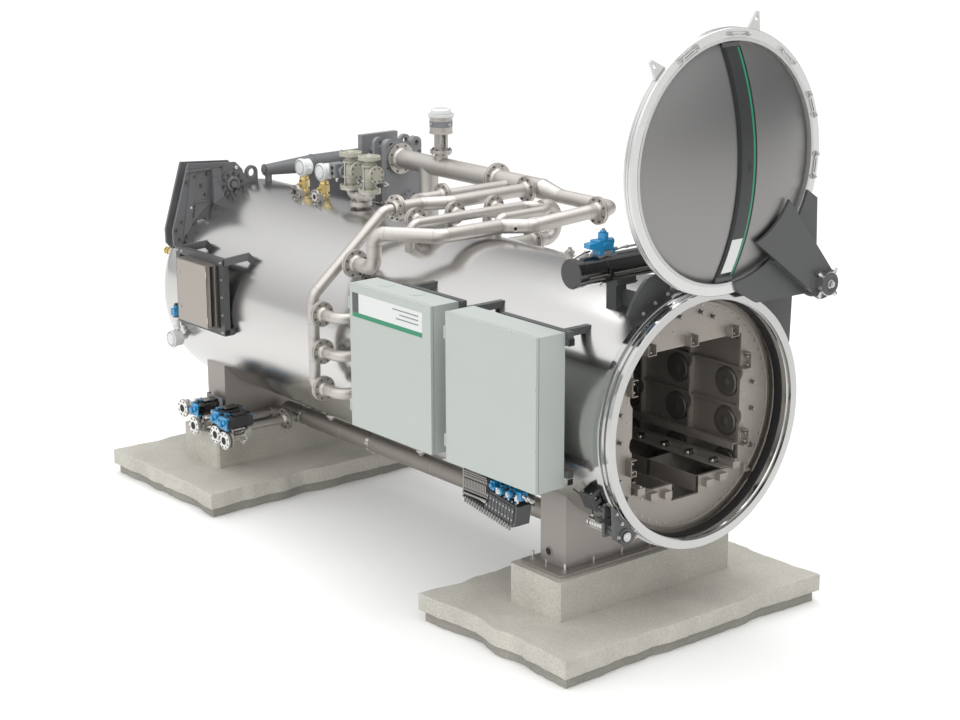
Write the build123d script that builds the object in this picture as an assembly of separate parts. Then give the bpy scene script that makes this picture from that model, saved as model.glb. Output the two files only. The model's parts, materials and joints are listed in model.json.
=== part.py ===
from build123d import *
import math
import os

# Retort sterilizer: a horizontal pressure vessel on two concrete foundations, with a door that
# swings in its own plane over the mouth, pipework on top and two control cabinets at its side.
# Millimetres. +X points out of the mouth, -Y is the side with the cabinets, +Z is up.
# The origin is the middle of the front foundation's underside.

# Clearances
SEAT = 0.3                      # rest gap between curved or separate pieces
RUNNING = 0.1                   # radial clearance of a shaft in its bearing

# Foundations
SLAB_LENGTH = 1602              # along the vessel
SLAB_WIDTH = 2520               # across the vessel
SLAB_FOOT_HEIGHT = 85           # inset lower course
SLAB_FOOT_INSET = 36
SLAB_TOP_HEIGHT = 127           # upper course with broken edges
PLINTH_LENGTH = 536
PLINTH_WIDTH = 1698
PLINTH_HEIGHT = 298
PLINTH_CHAMFER = 18
FOUNDATION_SPACING = 4397       # front foundation to rear foundation
BASE_PLATE_LENGTH = 450
BASE_PLATE_WIDTH = 1590
BASE_PLATE_THICKNESS = 22
ANCHOR_PITCH_X = 340
ANCHOR_PITCH_Y = 1420
ANCHOR_HOLE_RADIUS = 15
LEG_LENGTH = 269                # along the vessel
LEG_WIDTH = 1342                # across the vessel

# Vessel
AXIS_Z = 1650                   # height of the vessel's axis
VESSEL_RADIUS = 885             # outside of the polished cladding
BORE_RADIUS = 830               # inside of the pressure shell
FLANGE_FACE_X = 813             # front face of the mouth flange
FLANGE_LENGTH = 145
FLANGE_RADIUS = 911             # front lip
FLANGE_COLLAR_RADIUS = 920      # rear rim
FLANGE_GROOVE_RADIUS = 898
FLANGE_BORE_RADIUS = 838
FLANGE_LIP_BORE_RADIUS = 848
SHELL_LENGTH = 5400
HEAD_RIM_LENGTH = 60            # straight rim of the dished rear head
HEAD_CROWN_RADIUS = 1600
HEAD_KNUCKLE_RADIUS = 180

# Inner carriage: a bulkhead at the mouth, frames behind it, rails and guides
BULKHEAD_SETBACK = 188          # flange face to bulkhead face
BULKHEAD_THICKNESS = 25
BULKHEAD_RADIUS = 800
BULKHEAD_RING_LENGTH = 40
BULKHEAD_RING_BORE = 770
FRAME_PITCH = 495
FRAME_THICKNESS = 20
FRAME_COUNT = 9
CHANNEL_HALF_WIDTH = 520
CHANNEL_TOP = 500               # above the axis
CHANNEL_FLOOR = 475             # below the axis
RECESS_HALF_WIDTH = 130
RECESS_DEPTH = 125
NOTCH_RADIUS = 75
NOTCH_DEPTH = 25
NOTCH_HEIGHTS = (205, -118)
RAIL_WIDTH = 70
RAIL_HEIGHT = 50
RAIL_OUTER_Y = 500
ROLLER_RADIUS = 28
ROLLER_LENGTH = 46
ROLLER_PITCH = 247.5
GUIDE_BLOCK_SIZE = 76
GUIDE_BLOCK_LENGTH = 62
GUIDE_BLOCK_PITCH = 400
SIDE_GUIDE_HEIGHTS = (300, -262)
SIDE_GUIDE_HEIGHT = 120
SIDE_GUIDE_LENGTH = 58
SIDE_GUIDE_WIDTH = 56
SIDE_PANEL_THICKNESS = 6
SIDE_PANEL_OFFSET = 18          # outside the channel's edge

# Door
DOOR_GAP = 25                   # flange face to the back of the door ring
DOOR_RADIUS = 891
DOOR_RING_LENGTH = 65
DOOR_RING_BORE = 805
DOOR_GROOVE_DEPTH = 10
DOOR_GROOVE_WIDTH = 9
DOME_HEIGHT = 205
DOME_THICKNESS = 16
DOME_SKIRT = 30
BAND_WIDTH = 172
BAND_THICKNESS = 8
BAND_END_GAP = 26
PIVOT_Y = 915                   # the swing shaft, parallel to the vessel
PIVOT_Z = 2520
SHAFT_RADIUS = 48
SHAFT_BACK_X = 440
HUB_RADIUS = 84
HUB_LENGTH = 62
ARM_PLATE_THICKNESS = 20
ARM_RAISE = 62                  # base plate's face to the back of the raised plate
ARM_TOP_THICKNESS = 24
ARM_HUB_RADIUS = 116
ARM_INNER_RADIUS = 572          # raised plate's edge on the dome side
ARM_SPAN = 41                   # degrees of that edge
ARM_SPAN_CENTRE = -50.5
CRESCENT_SPAN_LOW = -84.5       # degrees of the base plate's edge along the ring
CRESCENT_SPAN_HIGH = -19
CLIP_ANGLES = (118, 86, 52, 22, -7)
CLIP_LENGTH = 190
CLIP_WIDTH = 26
CLIP_THICKNESS = 12
CLIP_END = 34
LUG_ANGLES = (75, 134)
LUG_HEIGHT = 120
LUG_WIDTH = 116
LUG_THICKNESS = 18

# Door drive on top of the vessel
CYLINDER_X = 320
CYLINDER_Z = 2712
CYLINDER_RADIUS = 102
CYLINDER_NEAR_Y = -812
CYLINDER_LENGTH = 1010
CYLINDER_CAP_LENGTH = 60
POST_SIZE = 96
POST_Y = -400
POST_FOOT = 180                 # reach of its foot towards the mouth
POST_FOOT_Z = 2400
CYLINDER_VALVE_Y = -520
BRACKET_X = 590                 # curved bracket behind the mouth flange
BRACKET_THICKNESS = 26
BRACKET_ANGLES = (104, 128)
BRACKET_INNER = (-182, 2582)    # points of its outline across the vessel and up
BRACKET_INNER_BULGE = (-275, 2680)
BRACKET_CREST = (-397, 2669)
BRACKET_OUTER_BULGE = (-500, 2560)
BRACKET_OUTER = (-566, 2443)
BEARING_RADIUS = 92
BEARING_LENGTH = 250
BRACKET_PLATE_THICKNESS = 25

# Cabinets
CABINET_WIDTH = 958
CABINET_HEIGHT = 1082
CABINET_DEPTH = 252
CABINET_WALL = 6
CABINET_LEFT_X = -1656
CABINET_RIGHT_X = -534
CABINET_FRONT_Y = -1206
CABINET_BOTTOM_Z = 1276
CABINET_DOOR_THICKNESS = 22
CABINET_DOOR_GAP = 5
HINGE_RADIUS = 11
HINGE_PIN_RADIUS = 5
HINGE_KNUCKLE = 44
HINGE_OFFSET = 16
HINGE_HEIGHTS = (0.14, 0.86)
FRAME_TUBE = 50
CABINET_RAIL_RISE = 120         # cabinet's bottom to the top of the lower rail

# Pipework
FLANGE_FLARE = 53               # how far a pipe flange stands past its pipe
FLANGE_THICKNESS = 18
HEADER_RADIUS = 84
HEADER_Y = 1150
HEADER_Z = 2680
HEADER_PAIR_X = -2801           # its middle flange pair
HEADER_REDUCER_X = -2217
HEADER_REDUCER_LENGTH = 233
HEADER_SMALL_RADIUS = 57        # past the reducer, whose underside is level
HEADER_END_X = -1370
HEADER_TURN = 150               # header axis to the crossover's flange
HEADER_TURN_BEND = 95
HEADER_BRANCH_X = -3727         # branch that enters the vessel's far side
HEADER_BRANCH_BEND = 130
CROSSOVER_RADIUS = 57
CROSSOVER_Z = 2606
CROSSOVER_X = -1572             # its run over the near side of the vessel's top
CROSSOVER_FAR_X = -1425         # its run on the far side of the jog
CROSSOVER_JOG_FAR_Y = 350
CROSSOVER_JOG_NEAR_Y = 170
CROSSOVER_TURN_Y = -420
CROSSOVER_DROP_X = -1985
CROSSOVER_DROP_Y = -735
CROSSOVER_DROP_Z = 2330
CROSSOVER_END = 250             # drop to its end flange
CROSSOVER_BEND = 90
PORT_RADIUS = 20
PORT_LENGTH = 105
RISER_RUN_RADIUS = 54           # from the header to its flange pair
RISER_RUN_X = -2300
RISER_JOG_FAR_Y = 250
RISER_JOG_NEAR_Y = 50
RISER_PAIR_Y = -200
RISER_RADIUS = 44.5
RISER_BRANCH_RADIUS = 42
RISER_X = -2410
RISER_Y = -1010
RISER_SHOULDER_Y = -330
RISER_TOP_Z = 2655
RISER_ELBOW_Z = 2090
RISER_BRANCH_X = -2050
RISER_BRANCH_PAIR = 112         # riser axis to a branch's flange pair
RISER_BRANCH_BEND = 100
RISER_FOOT_BEND = 65
RISER_BRANCH_HEIGHTS = (315, 20, -275)
BYPASS_X = -2600
BYPASS_PAIR_Y = 415
BYPASS_JOG_Y = 150
RETURN_RADIUS = 38
RETURN_X = -1980
RETURN_BACK_X = -1725
RETURN_Z = 2630
RETURN_NEAR_Y = -400
RETURN_FAR_Y = 830
RETURN_BACK_END_Y = 250
RETURN_ELBOW = 80
RETURN_LOOP_BEND = 120
STUB_YS = (-242, 145, 542)
STUB_PAIR_X = -2110
STUB_NOZZLE_X = -2193
STUB_BEND = 60
OUTLET_Y = 960
OUTLET_Z = 2370
OUTLET_PAIR_Y = 740
DRAIN_RADIUS = 75
DRAIN_Y = -100
DRAIN_Z = 600
DRAIN_BACK_X = -4160
DRAIN_FRONT_X = -300
DRAIN_STUB_RADIUS = 40
DRAIN_STUB_XS = (-3480, -2230, -980)

# Plate heat exchanger on the far side of the rear foundation
EXCHANGER_FACE_X = -4150        # front face of its fixed plate
EXCHANGER_PLATE = 60
EXCHANGER_MOVING_X = -4350      # back of its moving plate
EXCHANGER_MOVING_PLATE = 40
EXCHANGER_COLUMN_X = -4560      # back of its rear column
EXCHANGER_NEAR_Y = 1000
EXCHANGER_FAR_Y = 1400
EXCHANGER_BOTTOM_Z = 1500
EXCHANGER_TOP_Z = 2740          # between the ears
EXCHANGER_EAR_RISE = 56         # plate's top to the middle of an ear
EXCHANGER_EAR_RADIUS = 58
EXCHANGER_EAR_HOLE = 26
EXCHANGER_BAR_RADIUS = 24
EXCHANGER_BAR_SPREAD = 90       # middle to a bar
EXCHANGER_TIE_RADIUS = 11
EXCHANGER_TIE_HEIGHTS = (2465, 2291, 1700)
STAND_TUBE = 80
STAND_NEAR_Y = 1005
STAND_FAR_Y = 1245
STAND_FOOT = 12

# Control valve on the header
CONTROL_X = -3550
CONTROL_BODY_RADIUS = 58
CONTROL_FLANGE_RADIUS = 95
CONTROL_FLANGE_Z = 2820
CONTROL_YOKE_Z = 2845
CONTROL_ACTUATOR_Z = 2982
CONTROL_CAP_Z = 3121
CONTROL_TOP_Z = 3190
CONTROL_ACTUATOR_RADIUS = 98
CONTROL_CAP_RADIUS = 112
CONTROL_YOKE_SPREAD = 52
CONTROL_YOKE_BAR = 26

# Relief valves on the vessel's top
RELIEF_X = -3156
RELIEF_ARM_XS = (-3287, -3031)
RELIEF_BASE_Z = 2552
RELIEF_SEAT_RISE = 136          # nozzle's flange to the valves' seat
RELIEF_HEIGHT = 257             # seat to the top of the body
RELIEF_ARM_RADIUS = 42
RELIEF_ARM_BEND = 47
RELIEF_BODY_RADIUS = 46
RELIEF_FLANGE_RADIUS = 92
RELIEF_OUTLET_RISE = 142
SWITCH_BOX_X = (-3520, -3425)
SWITCH_BOX_RISE = 52            # relief valves' seat to the box's bottom
SWITCH_BOX_HEIGHT = 120
SWITCH_BOX_HALF_Y = 52

# Instruments
TRANSMITTER_XS = (-3960, -3670)
TRANSMITTER_BODY_RADIUS = 45
TRANSMITTER_BODY_Z = 2700
TRANSMITTER_HEAD_RADIUS = 74
TRANSMITTER_HEAD_RISE = 57      # body's top to the head's axis
TRANSMITTER_HEAD_LENGTH = 92
BLIND_NOZZLE_RADIUS = 26
BLIND_FLANGE_RADIUS = 60
BLIND_NOZZLE_Y = -136
BLIND_NOZZLE_OFFSET = 52
BLIND_NOZZLE_RISE = 45
TOP_NOZZLE_XS = (-600, -430)
TOP_NOZZLE_RADIUS = 30
TOP_NOZZLE_Z = 2580

# Rear machinery: bracket plates, a cross tube and fittings on the head
REAR_PLATE_XS = (-4850, -4728)
REAR_PLATE_THICKNESS = 24
REAR_PLATE_OUTLINE = (          # across the vessel and up
    (-678, 2760), (-203, 2723), (-140, 2657), (-78, 2500),
    (-400, 2300), (-780, 2000), (-850, 2080), (-852, 2200),
)
REAR_PLATE_SLOT = ((-672, 2456), (-725, 2268), (-640, 2290), (-628, 2360))
REAR_PLATE_HOLE = (-205, 2676)
REAR_PLATE_HOLE_RADIUS = 18
REAR_SPACER = (-560, 2700)      # middle of the spacer between the plates
REAR_SPACER_SIZE = (90, 30)
REAR_BLOCK_Y = (-462, -375)
REAR_BLOCK_Z = (2400, 2690)
REAR_BLOCK_REACH = 60
REAR_BOSS = (-252, 2540)
REAR_BOSS_RADIUS = 118
REAR_BOSS_LENGTH = 44
REAR_LUG_Y = -42
REAR_LUG_Z = 2614
REAR_LUG_RADIUS = 62
REAR_LUG_HOLE = 34
REAR_LUG_FOOT = 100             # lug's middle to the near end of its foot
CROSS_TUBE_X = -4658
CROSS_TUBE_RADIUS = 80
CROSS_TUBE_SMALL_RADIUS = 46
CROSS_TUBE_Z = 2630
CROSS_TUBE_START_Y = 60
CROSS_TUBE_CONE_Y = 560
CROSS_TUBE_END_Y = 1240
SAMPLE_VALVE_Y = -640
SAMPLE_VALVE_Z = 1926
SAMPLE_VALVE_RADIUS = 34
SAMPLE_VALVE_BACK_X = -5110
GAUGE_X = -4659
GAUGE_Z = 1276
GAUGE_Y = -905

# Operator panel
PANEL_X = (-4320, -3866)
PANEL_Z = (1540, 2071)
PANEL_FRONT_Y = -1057
PANEL_DEPTH = 105
PANEL_TUBE = 57
PANEL_FRAME_X = (-4509, -3782)
PANEL_FRAME_Z = (1475, 2120)
PANEL_ARM_RISE = 60
PANEL_ARM_KNEE_Y = -790
PANEL_ARM_XS = (-4286, -3646)

# Service valves in front of the rear leg
SERVICE_FACE_REACH = 279        # rear leg's near side to the valves' faces
SERVICE_VALVES = ((-4512, 690), (-4343, 574), (-3996, 576), (-3861, 554))
SERVICE_FLANGE_RADIUS = 78
SERVICE_PIPE_RADIUS = 34
SERVICE_ACTUATORS = ((-4338, 716), (-4012, 722), (-3884, 697))
SERVICE_ACTUATOR_RADIUS = 60
SERVICE_ACTUATOR_LENGTH = 250
SERVICE_RUN_REACH = 59          # rear leg's near side to the runs behind the valves
SERVICE_UPPER_X = -4205
SERVICE_UPPER_Z = 590
SERVICE_LOWER_X = -3960
SERVICE_LOWER_Z = 592
SERVICE_RUN_RADIUS = 38
SERVICE_PAIR_OFFSET = 160       # drain header's axis to a run's flange pair

# Valve island under the right cabinet
ISLAND_FRONT_Y = -1080
ISLAND_BLOCK_X = (-481, -212)
ISLAND_BLOCK_Z = (1038, 1202)
ISLAND_BANK_LENGTH = 330
ISLAND_BANK_HEIGHT = 150
ISLAND_BANK_TILT = 9
ISLAND_VALVE_RADIUS = 30
ISLAND_VALVE_XS = (-67, 23)
ISLAND_PLATE = 8                # back plate's thickness

# Door lock beside the mouth
LOCK_X = 775                    # back of its wedge plate
LOCK_THICKNESS = 30
LOCK_PIN_Y = -740
LOCK_PIN_Z = 985
LOCK_PIN_RADIUS = 34
LOCK_HOUSING_X = (528, 655)
LOCK_HOUSING_ANGLE = 207
LOCK_FOOT_Y = -500
LOCK_CYLINDER_RADIUS = 28
LOCK_CYLINDER_X = 450
LOCK_OUTLINE = ((-848, 1216), (-745, 1100), (-629, 1052), (-605, 980), (-721, 905), (-831, 975))

SLAB_TOP_Z = SLAB_FOOT_HEIGHT + SLAB_TOP_HEIGHT
TRANSMITTER_HEAD_Z = TRANSMITTER_BODY_Z + TRANSMITTER_HEAD_RISE
SERVICE_FACE_Y = -LEG_WIDTH / 2 - SERVICE_FACE_REACH
SERVICE_RUN_Y = -LEG_WIDTH / 2 - SERVICE_RUN_REACH
EXCHANGER_EAR_Z = EXCHANGER_TOP_Z + EXCHANGER_EAR_RISE
RELIEF_SEAT_Z = RELIEF_BASE_Z + RELIEF_SEAT_RISE
RELIEF_TOP_Z = RELIEF_SEAT_Z + RELIEF_HEIGHT
RELIEF_OUTLET_Z = RELIEF_SEAT_Z + RELIEF_OUTLET_RISE
SWITCH_BOX_Z = (RELIEF_SEAT_Z + SWITCH_BOX_RISE, RELIEF_SEAT_Z + SWITCH_BOX_RISE + SWITCH_BOX_HEIGHT)
PLINTH_TOP_Z = SLAB_TOP_Z + PLINTH_HEIGHT
LEG_FOOT_Z = PLINTH_TOP_Z + BASE_PLATE_THICKNESS
FLANGE_BACK_X = FLANGE_FACE_X - FLANGE_LENGTH
SHELL_BACK_X = FLANGE_BACK_X - SHELL_LENGTH
REAR_X = -FOUNDATION_SPACING
BULKHEAD_X = FLANGE_FACE_X - BULKHEAD_SETBACK
DOOR_BACK_X = FLANGE_FACE_X + DOOR_GAP
DOOR_FACE_X = DOOR_BACK_X + DOOR_RING_LENGTH
DOOR_Y = PIVOT_Y - (PIVOT_Z - AXIS_Z)
DOOR_Z = PIVOT_Z + PIVOT_Y
ARM_TOP_X = DOOR_FACE_X + ARM_PLATE_THICKNESS + ARM_RAISE


def block(x, y, z):
    """A box from its low and high values on each axis."""
    size = (x[1] - x[0], y[1] - y[0], z[1] - z[0])
    middle = ((x[0] + x[1]) / 2, (y[0] + y[1]) / 2, (z[0] + z[1]) / 2)
    return Pos(*middle) * Box(*size)


def rod_x(x, y, z, radius):
    return Pos((x[0] + x[1]) / 2, y, z) * Rot(0, 90, 0) * Cylinder(radius, x[1] - x[0])


def rod_y(x, y, z, radius):
    return Pos(x, (y[0] + y[1]) / 2, z) * Rot(90, 0, 0) * Cylinder(radius, y[1] - y[0])


def rod_z(x, y, z, radius):
    return Pos(x, y, (z[0] + z[1]) / 2) * Cylinder(radius, z[1] - z[0])


def turned(points, y=0, z=AXIS_Z):
    """A solid turned about a line along X, from points of (x, radius)."""
    profile = Plane.XZ * make_face(Polyline(*points, close=True))
    return Pos(0, y, z) * revolve(profile, Axis.X)


def plate_x(outline, x, thickness):
    """A plate square to X from x forward, with an outline drawn in Y and Z."""
    face = Plane.YZ * make_face(outline)
    return Pos(x, 0, 0) * extrude(face, thickness)


def pipe(points, radius, bend):
    """A round pipe along straight runs joined by bends."""
    path = Polyline(*points) if len(points) == 2 else FilletPolyline(*points, radius=bend)
    return sweep(Plane(path @ 0, z_dir=path % 0) * Circle(radius), path=path)


def disc(centre, direction, radius, thickness):
    """A disc whose back face stands at the centre point and faces along the direction."""
    face = Plane(centre, z_dir=direction) * Circle(radius)
    return extrude(face, thickness)


def clear_of_vessel(body):
    """The body with the vessel and its rest gap taken out, so that it ends on the cladding."""
    return body - rod_x((SHELL_BACK_X, FLANGE_BACK_X), 0, AXIS_Z, VESSEL_RADIUS + SEAT)


def flange_pair(centre, direction, radius):
    """Two bolted pipe flanges, face to face about the centre point."""
    spread = Vector(*direction).normalized() * FLANGE_THICKNESS
    return disc(Vector(*centre) - spread, direction, radius + FLANGE_FLARE, 2 * FLANGE_THICKNESS)


def at_angle(radius, degrees, y=0, z=0):
    angle = math.radians(degrees)
    return (y + radius * math.cos(angle), z + radius * math.sin(angle))


# Foundations and legs

def foundation_slab(x):
    half_x = SLAB_LENGTH / 2
    half_y = SLAB_WIDTH / 2
    foot_x = half_x - SLAB_FOOT_INSET
    foot_y = half_y - SLAB_FOOT_INSET
    foot = block((x - foot_x, x + foot_x), (-foot_y, foot_y), (0, SLAB_FOOT_HEIGHT))
    top = block((x - half_x, x + half_x), (-half_y, half_y), (SLAB_FOOT_HEIGHT, SLAB_TOP_Z))
    return foot + top


def plinth(x):
    half_x = PLINTH_LENGTH / 2
    half_y = PLINTH_WIDTH / 2
    body = block((x - half_x, x + half_x), (-half_y, half_y), (SLAB_TOP_Z, PLINTH_TOP_Z))
    return chamfer(body.edges().filter_by(Axis.Z), PLINTH_CHAMFER)


def base_plate(x):
    middle = PLINTH_TOP_Z + BASE_PLATE_THICKNESS / 2
    plate = Pos(x, 0, middle) * Box(BASE_PLATE_LENGTH, BASE_PLATE_WIDTH, BASE_PLATE_THICKNESS)
    plate = fillet(plate.edges().filter_by(Axis.Z), 40)
    holes = [
        Pos(x + sx * ANCHOR_PITCH_X / 2, sy * ANCHOR_PITCH_Y / 2, middle)
        * Cylinder(ANCHOR_HOLE_RADIUS, 2 * BASE_PLATE_THICKNESS)
        for sx in (-1, 1)
        for sy in (-1, 1)
    ]
    return plate - holes


def saddle_leg(x):
    half_x = LEG_LENGTH / 2
    half_y = LEG_WIDTH / 2
    body = block((x - half_x, x + half_x), (-half_y, half_y), (LEG_FOOT_Z, AXIS_Z))
    vessel = rod_x((x - LEG_LENGTH, x + LEG_LENGTH), 0, AXIS_Z, VESSEL_RADIUS + SEAT)
    return body - vessel


# Vessel

def vessel_shell():
    return turned([
        (SHELL_BACK_X, BORE_RADIUS),
        (SHELL_BACK_X, VESSEL_RADIUS),
        (FLANGE_BACK_X, VESSEL_RADIUS),
        (FLANGE_BACK_X, BORE_RADIUS),
    ])


def dished_profile(rim_x, radius, crown, knuckle):
    """A knuckle arc and a crown arc from the rim to the axis, bulging backwards."""
    centre = math.sqrt((crown - knuckle) ** 2 - (radius - knuckle) ** 2)
    turn = math.degrees(math.atan2(radius - knuckle, centre))
    knuckle_at = (rim_x, radius - knuckle)
    crown_at = rim_x + centre
    meet = at_angle(knuckle, 180 - turn, *knuckle_at)
    half_knuckle = at_angle(knuckle, 90 + (90 - turn) / 2, *knuckle_at)
    half_crown = at_angle(crown, 180 - turn / 2, crown_at, 0)
    return [
        ThreePointArc((rim_x, radius), half_knuckle, meet),
        ThreePointArc(meet, half_crown, (crown_at - crown, 0)),
    ]


def rear_head():
    rim_x = SHELL_BACK_X - HEAD_RIM_LENGTH
    wall = VESSEL_RADIUS - BORE_RADIUS
    outside = dished_profile(rim_x, VESSEL_RADIUS, HEAD_CROWN_RADIUS, HEAD_KNUCKLE_RADIUS)
    inside = dished_profile(
        rim_x, BORE_RADIUS, HEAD_CROWN_RADIUS - wall, HEAD_KNUCKLE_RADIUS - wall
    )
    edges = outside + inside + [
        Line((rim_x, VESSEL_RADIUS), (SHELL_BACK_X, VESSEL_RADIUS)),
        Line((SHELL_BACK_X, VESSEL_RADIUS), (SHELL_BACK_X, BORE_RADIUS)),
        Line((SHELL_BACK_X, BORE_RADIUS), (rim_x, BORE_RADIUS)),
        Line(inside[1] @ 1, outside[1] @ 1),
    ]
    profile = Plane.XZ * make_face(Curve() + edges)
    return Pos(0, 0, AXIS_Z) * revolve(profile, Axis.X)


def mouth_flange():
    face = FLANGE_FACE_X
    back = FLANGE_BACK_X
    return turned([
        (back, FLANGE_BORE_RADIUS),
        (back, FLANGE_COLLAR_RADIUS),
        (back + 48, FLANGE_COLLAR_RADIUS),
        (back + 56, FLANGE_GROOVE_RADIUS),
        (back + 72, FLANGE_GROOVE_RADIUS),
        (back + 76, FLANGE_RADIUS),
        (face - 48, FLANGE_RADIUS),
        (face - 44, FLANGE_GROOVE_RADIUS),
        (face - 32, FLANGE_GROOVE_RADIUS),
        (face - 28, FLANGE_RADIUS),
        (face - 4, FLANGE_RADIUS),
        (face, FLANGE_RADIUS - 4),
        (face, FLANGE_LIP_BORE_RADIUS),
        (face - 26, FLANGE_LIP_BORE_RADIUS),
        (face - 26, FLANGE_BORE_RADIUS + 4),
        (face - 34, FLANGE_BORE_RADIUS),
    ])


# Inner carriage

def channel_cut(x, thickness):
    """The outline of the basket channel, cut through a frame."""
    floor = AXIS_Z - CHANNEL_FLOOR
    top = AXIS_Z + CHANNEL_TOP
    span = (x - thickness, x + 2 * thickness)
    cut = block(span, (-CHANNEL_HALF_WIDTH, CHANNEL_HALF_WIDTH), (floor, top))
    cut += block(span, (-RECESS_HALF_WIDTH, RECESS_HALF_WIDTH), (floor - RECESS_DEPTH, floor + 1))
    offset = CHANNEL_HALF_WIDTH + NOTCH_DEPTH - NOTCH_RADIUS
    for side in (-1, 1):
        for height in NOTCH_HEIGHTS:
            cut += rod_x(span, side * offset, AXIS_Z + height, NOTCH_RADIUS)
    return cut


def bulkhead():
    back = BULKHEAD_X - BULKHEAD_THICKNESS
    plate = rod_x((back, BULKHEAD_X), 0, AXIS_Z, BULKHEAD_RADIUS)
    ring = turned([
        (back - BULKHEAD_RING_LENGTH, BULKHEAD_RING_BORE),
        (back - BULKHEAD_RING_LENGTH, BORE_RADIUS - SEAT),
        (back, BORE_RADIUS - SEAT),
        (back, BULKHEAD_RING_BORE),
    ])
    return plate + ring - channel_cut(back, BULKHEAD_THICKNESS)


def frame_xs():
    first = BULKHEAD_X - FRAME_PITCH
    return [first - i * FRAME_PITCH for i in range(FRAME_COUNT)]


def inner_frames():
    frames = []
    for x in frame_xs():
        back = x - FRAME_THICKNESS
        plate = rod_x((back, x), 0, AXIS_Z, BORE_RADIUS - SEAT)
        frames.append(plate - channel_cut(back, FRAME_THICKNESS))
    return Compound(children=frames)


def rail_span():
    return (frame_xs()[-1] - FRAME_THICKNESS, BULKHEAD_X)


def basket_rails():
    floor = AXIS_Z - CHANNEL_FLOOR
    rails = []
    for side in (-1, 1):
        ys = sorted((side * RAIL_OUTER_Y, side * (RAIL_OUTER_Y - RAIL_WIDTH)))
        rails.append(block(rail_span(), ys, (floor + SEAT, floor + RAIL_HEIGHT)))
    return Compound(children=rails)


def rail_rollers():
    back, front = rail_span()
    count = int((front - back - ROLLER_PITCH / 2) / ROLLER_PITCH)
    z = AXIS_Z - CHANNEL_FLOOR + RAIL_HEIGHT / 2
    inner = RAIL_OUTER_Y - RAIL_WIDTH - SEAT
    rollers = []
    for side in (-1, 1):
        ys = sorted((side * inner, side * (inner - ROLLER_LENGTH)))
        for i in range(count):
            x = front - ROLLER_PITCH * (i + 0.5)
            rollers.append(rod_y(x, ys, z, ROLLER_RADIUS))
    return Compound(children=rollers)


def guide_blocks():
    span = (BULKHEAD_X, BULKHEAD_X + GUIDE_BLOCK_LENGTH)
    low = AXIS_Z + CHANNEL_TOP
    half = GUIDE_BLOCK_SIZE / 2
    blocks = []
    for i in (-1, 0, 1):
        y = i * GUIDE_BLOCK_PITCH
        blocks.append(block(span, (y - half, y + half), (low, low + GUIDE_BLOCK_SIZE)))
    side_span = (BULKHEAD_X, BULKHEAD_X + SIDE_GUIDE_LENGTH)
    for side in (-1, 1):
        ys = sorted((side * CHANNEL_HALF_WIDTH, side * (CHANNEL_HALF_WIDTH + SIDE_GUIDE_WIDTH)))
        for height in SIDE_GUIDE_HEIGHTS:
            z = AXIS_Z + height
            blocks.append(block(side_span, ys, (z - SIDE_GUIDE_HEIGHT / 2, z + SIDE_GUIDE_HEIGHT / 2)))
    return Compound(children=blocks)


def side_panels():
    offset = CHANNEL_HALF_WIDTH + NOTCH_DEPTH + SIDE_PANEL_OFFSET
    zs = (AXIS_Z - CHANNEL_FLOOR, AXIS_Z + CHANNEL_TOP)
    fronts = [BULKHEAD_X - BULKHEAD_THICKNESS] + [x - FRAME_THICKNESS for x in frame_xs()]
    panels = []
    for front, back in zip(fronts, frame_xs()):
        for side in (-1, 1):
            ys = sorted((side * offset, side * (offset + SIDE_PANEL_THICKNESS)))
            panels.append(block((back, front), ys, zs))
    return Compound(children=panels)


# Door

def door_ring():
    back = DOOR_BACK_X
    face = DOOR_FACE_X
    points = [(back, DOOR_RING_BORE), (back, DOOR_RADIUS - 4), (back + 4, DOOR_RADIUS)]
    for middle in (back + DOOR_RING_LENGTH / 3, back + 2 * DOOR_RING_LENGTH / 3):
        points.append((middle - DOOR_GROOVE_WIDTH / 2, DOOR_RADIUS))
        points.append((middle, DOOR_RADIUS - DOOR_GROOVE_DEPTH))
        points.append((middle + DOOR_GROOVE_WIDTH / 2, DOOR_RADIUS))
    points += [(face - 4, DOOR_RADIUS), (face, DOOR_RADIUS - 4), (face, DOOR_RING_BORE)]
    return turned(points, DOOR_Y, DOOR_Z)


def dome_profile(grow, radius):
    """The dome's outer face grown by an amount, down to the ring's front, closed to its axis."""
    base = DOOR_RING_BORE - SEAT
    start = DOOR_BACK_X + DOME_SKIRT
    ball = (base ** 2 + DOME_HEIGHT ** 2) / (2 * DOME_HEIGHT)
    centre = start + DOME_HEIGHT - ball
    outer = ball + grow
    reach = math.sqrt(outer ** 2 - radius ** 2)
    return centre, outer, centre + reach


def cap_solid(grow, radius, back):
    """A round cap of the dome's curve grown by an amount, out to a radius, with a flat back."""
    centre, ball, edge_x = dome_profile(grow, radius)
    middle = math.degrees(math.asin(radius / ball)) / 2
    on_arc = at_angle(ball, middle, centre, 0)
    edges = [
        ThreePointArc((centre + ball, 0), on_arc, (edge_x, radius)),
        Line((edge_x, radius), (back, radius)),
        Line((back, radius), (back, 0)),
        Line((back, 0), (centre + ball, 0)),
    ]
    profile = Plane.XZ * make_face(Curve() + edges)
    return Pos(0, DOOR_Y, DOOR_Z) * revolve(profile, Axis.X)


def door_dome():
    radius = DOOR_RING_BORE - SEAT
    outside = cap_solid(0, radius, DOOR_BACK_X)
    inside = cap_solid(-DOME_THICKNESS, radius - DOME_THICKNESS, DOOR_BACK_X - 1)
    return outside - inside


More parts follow.
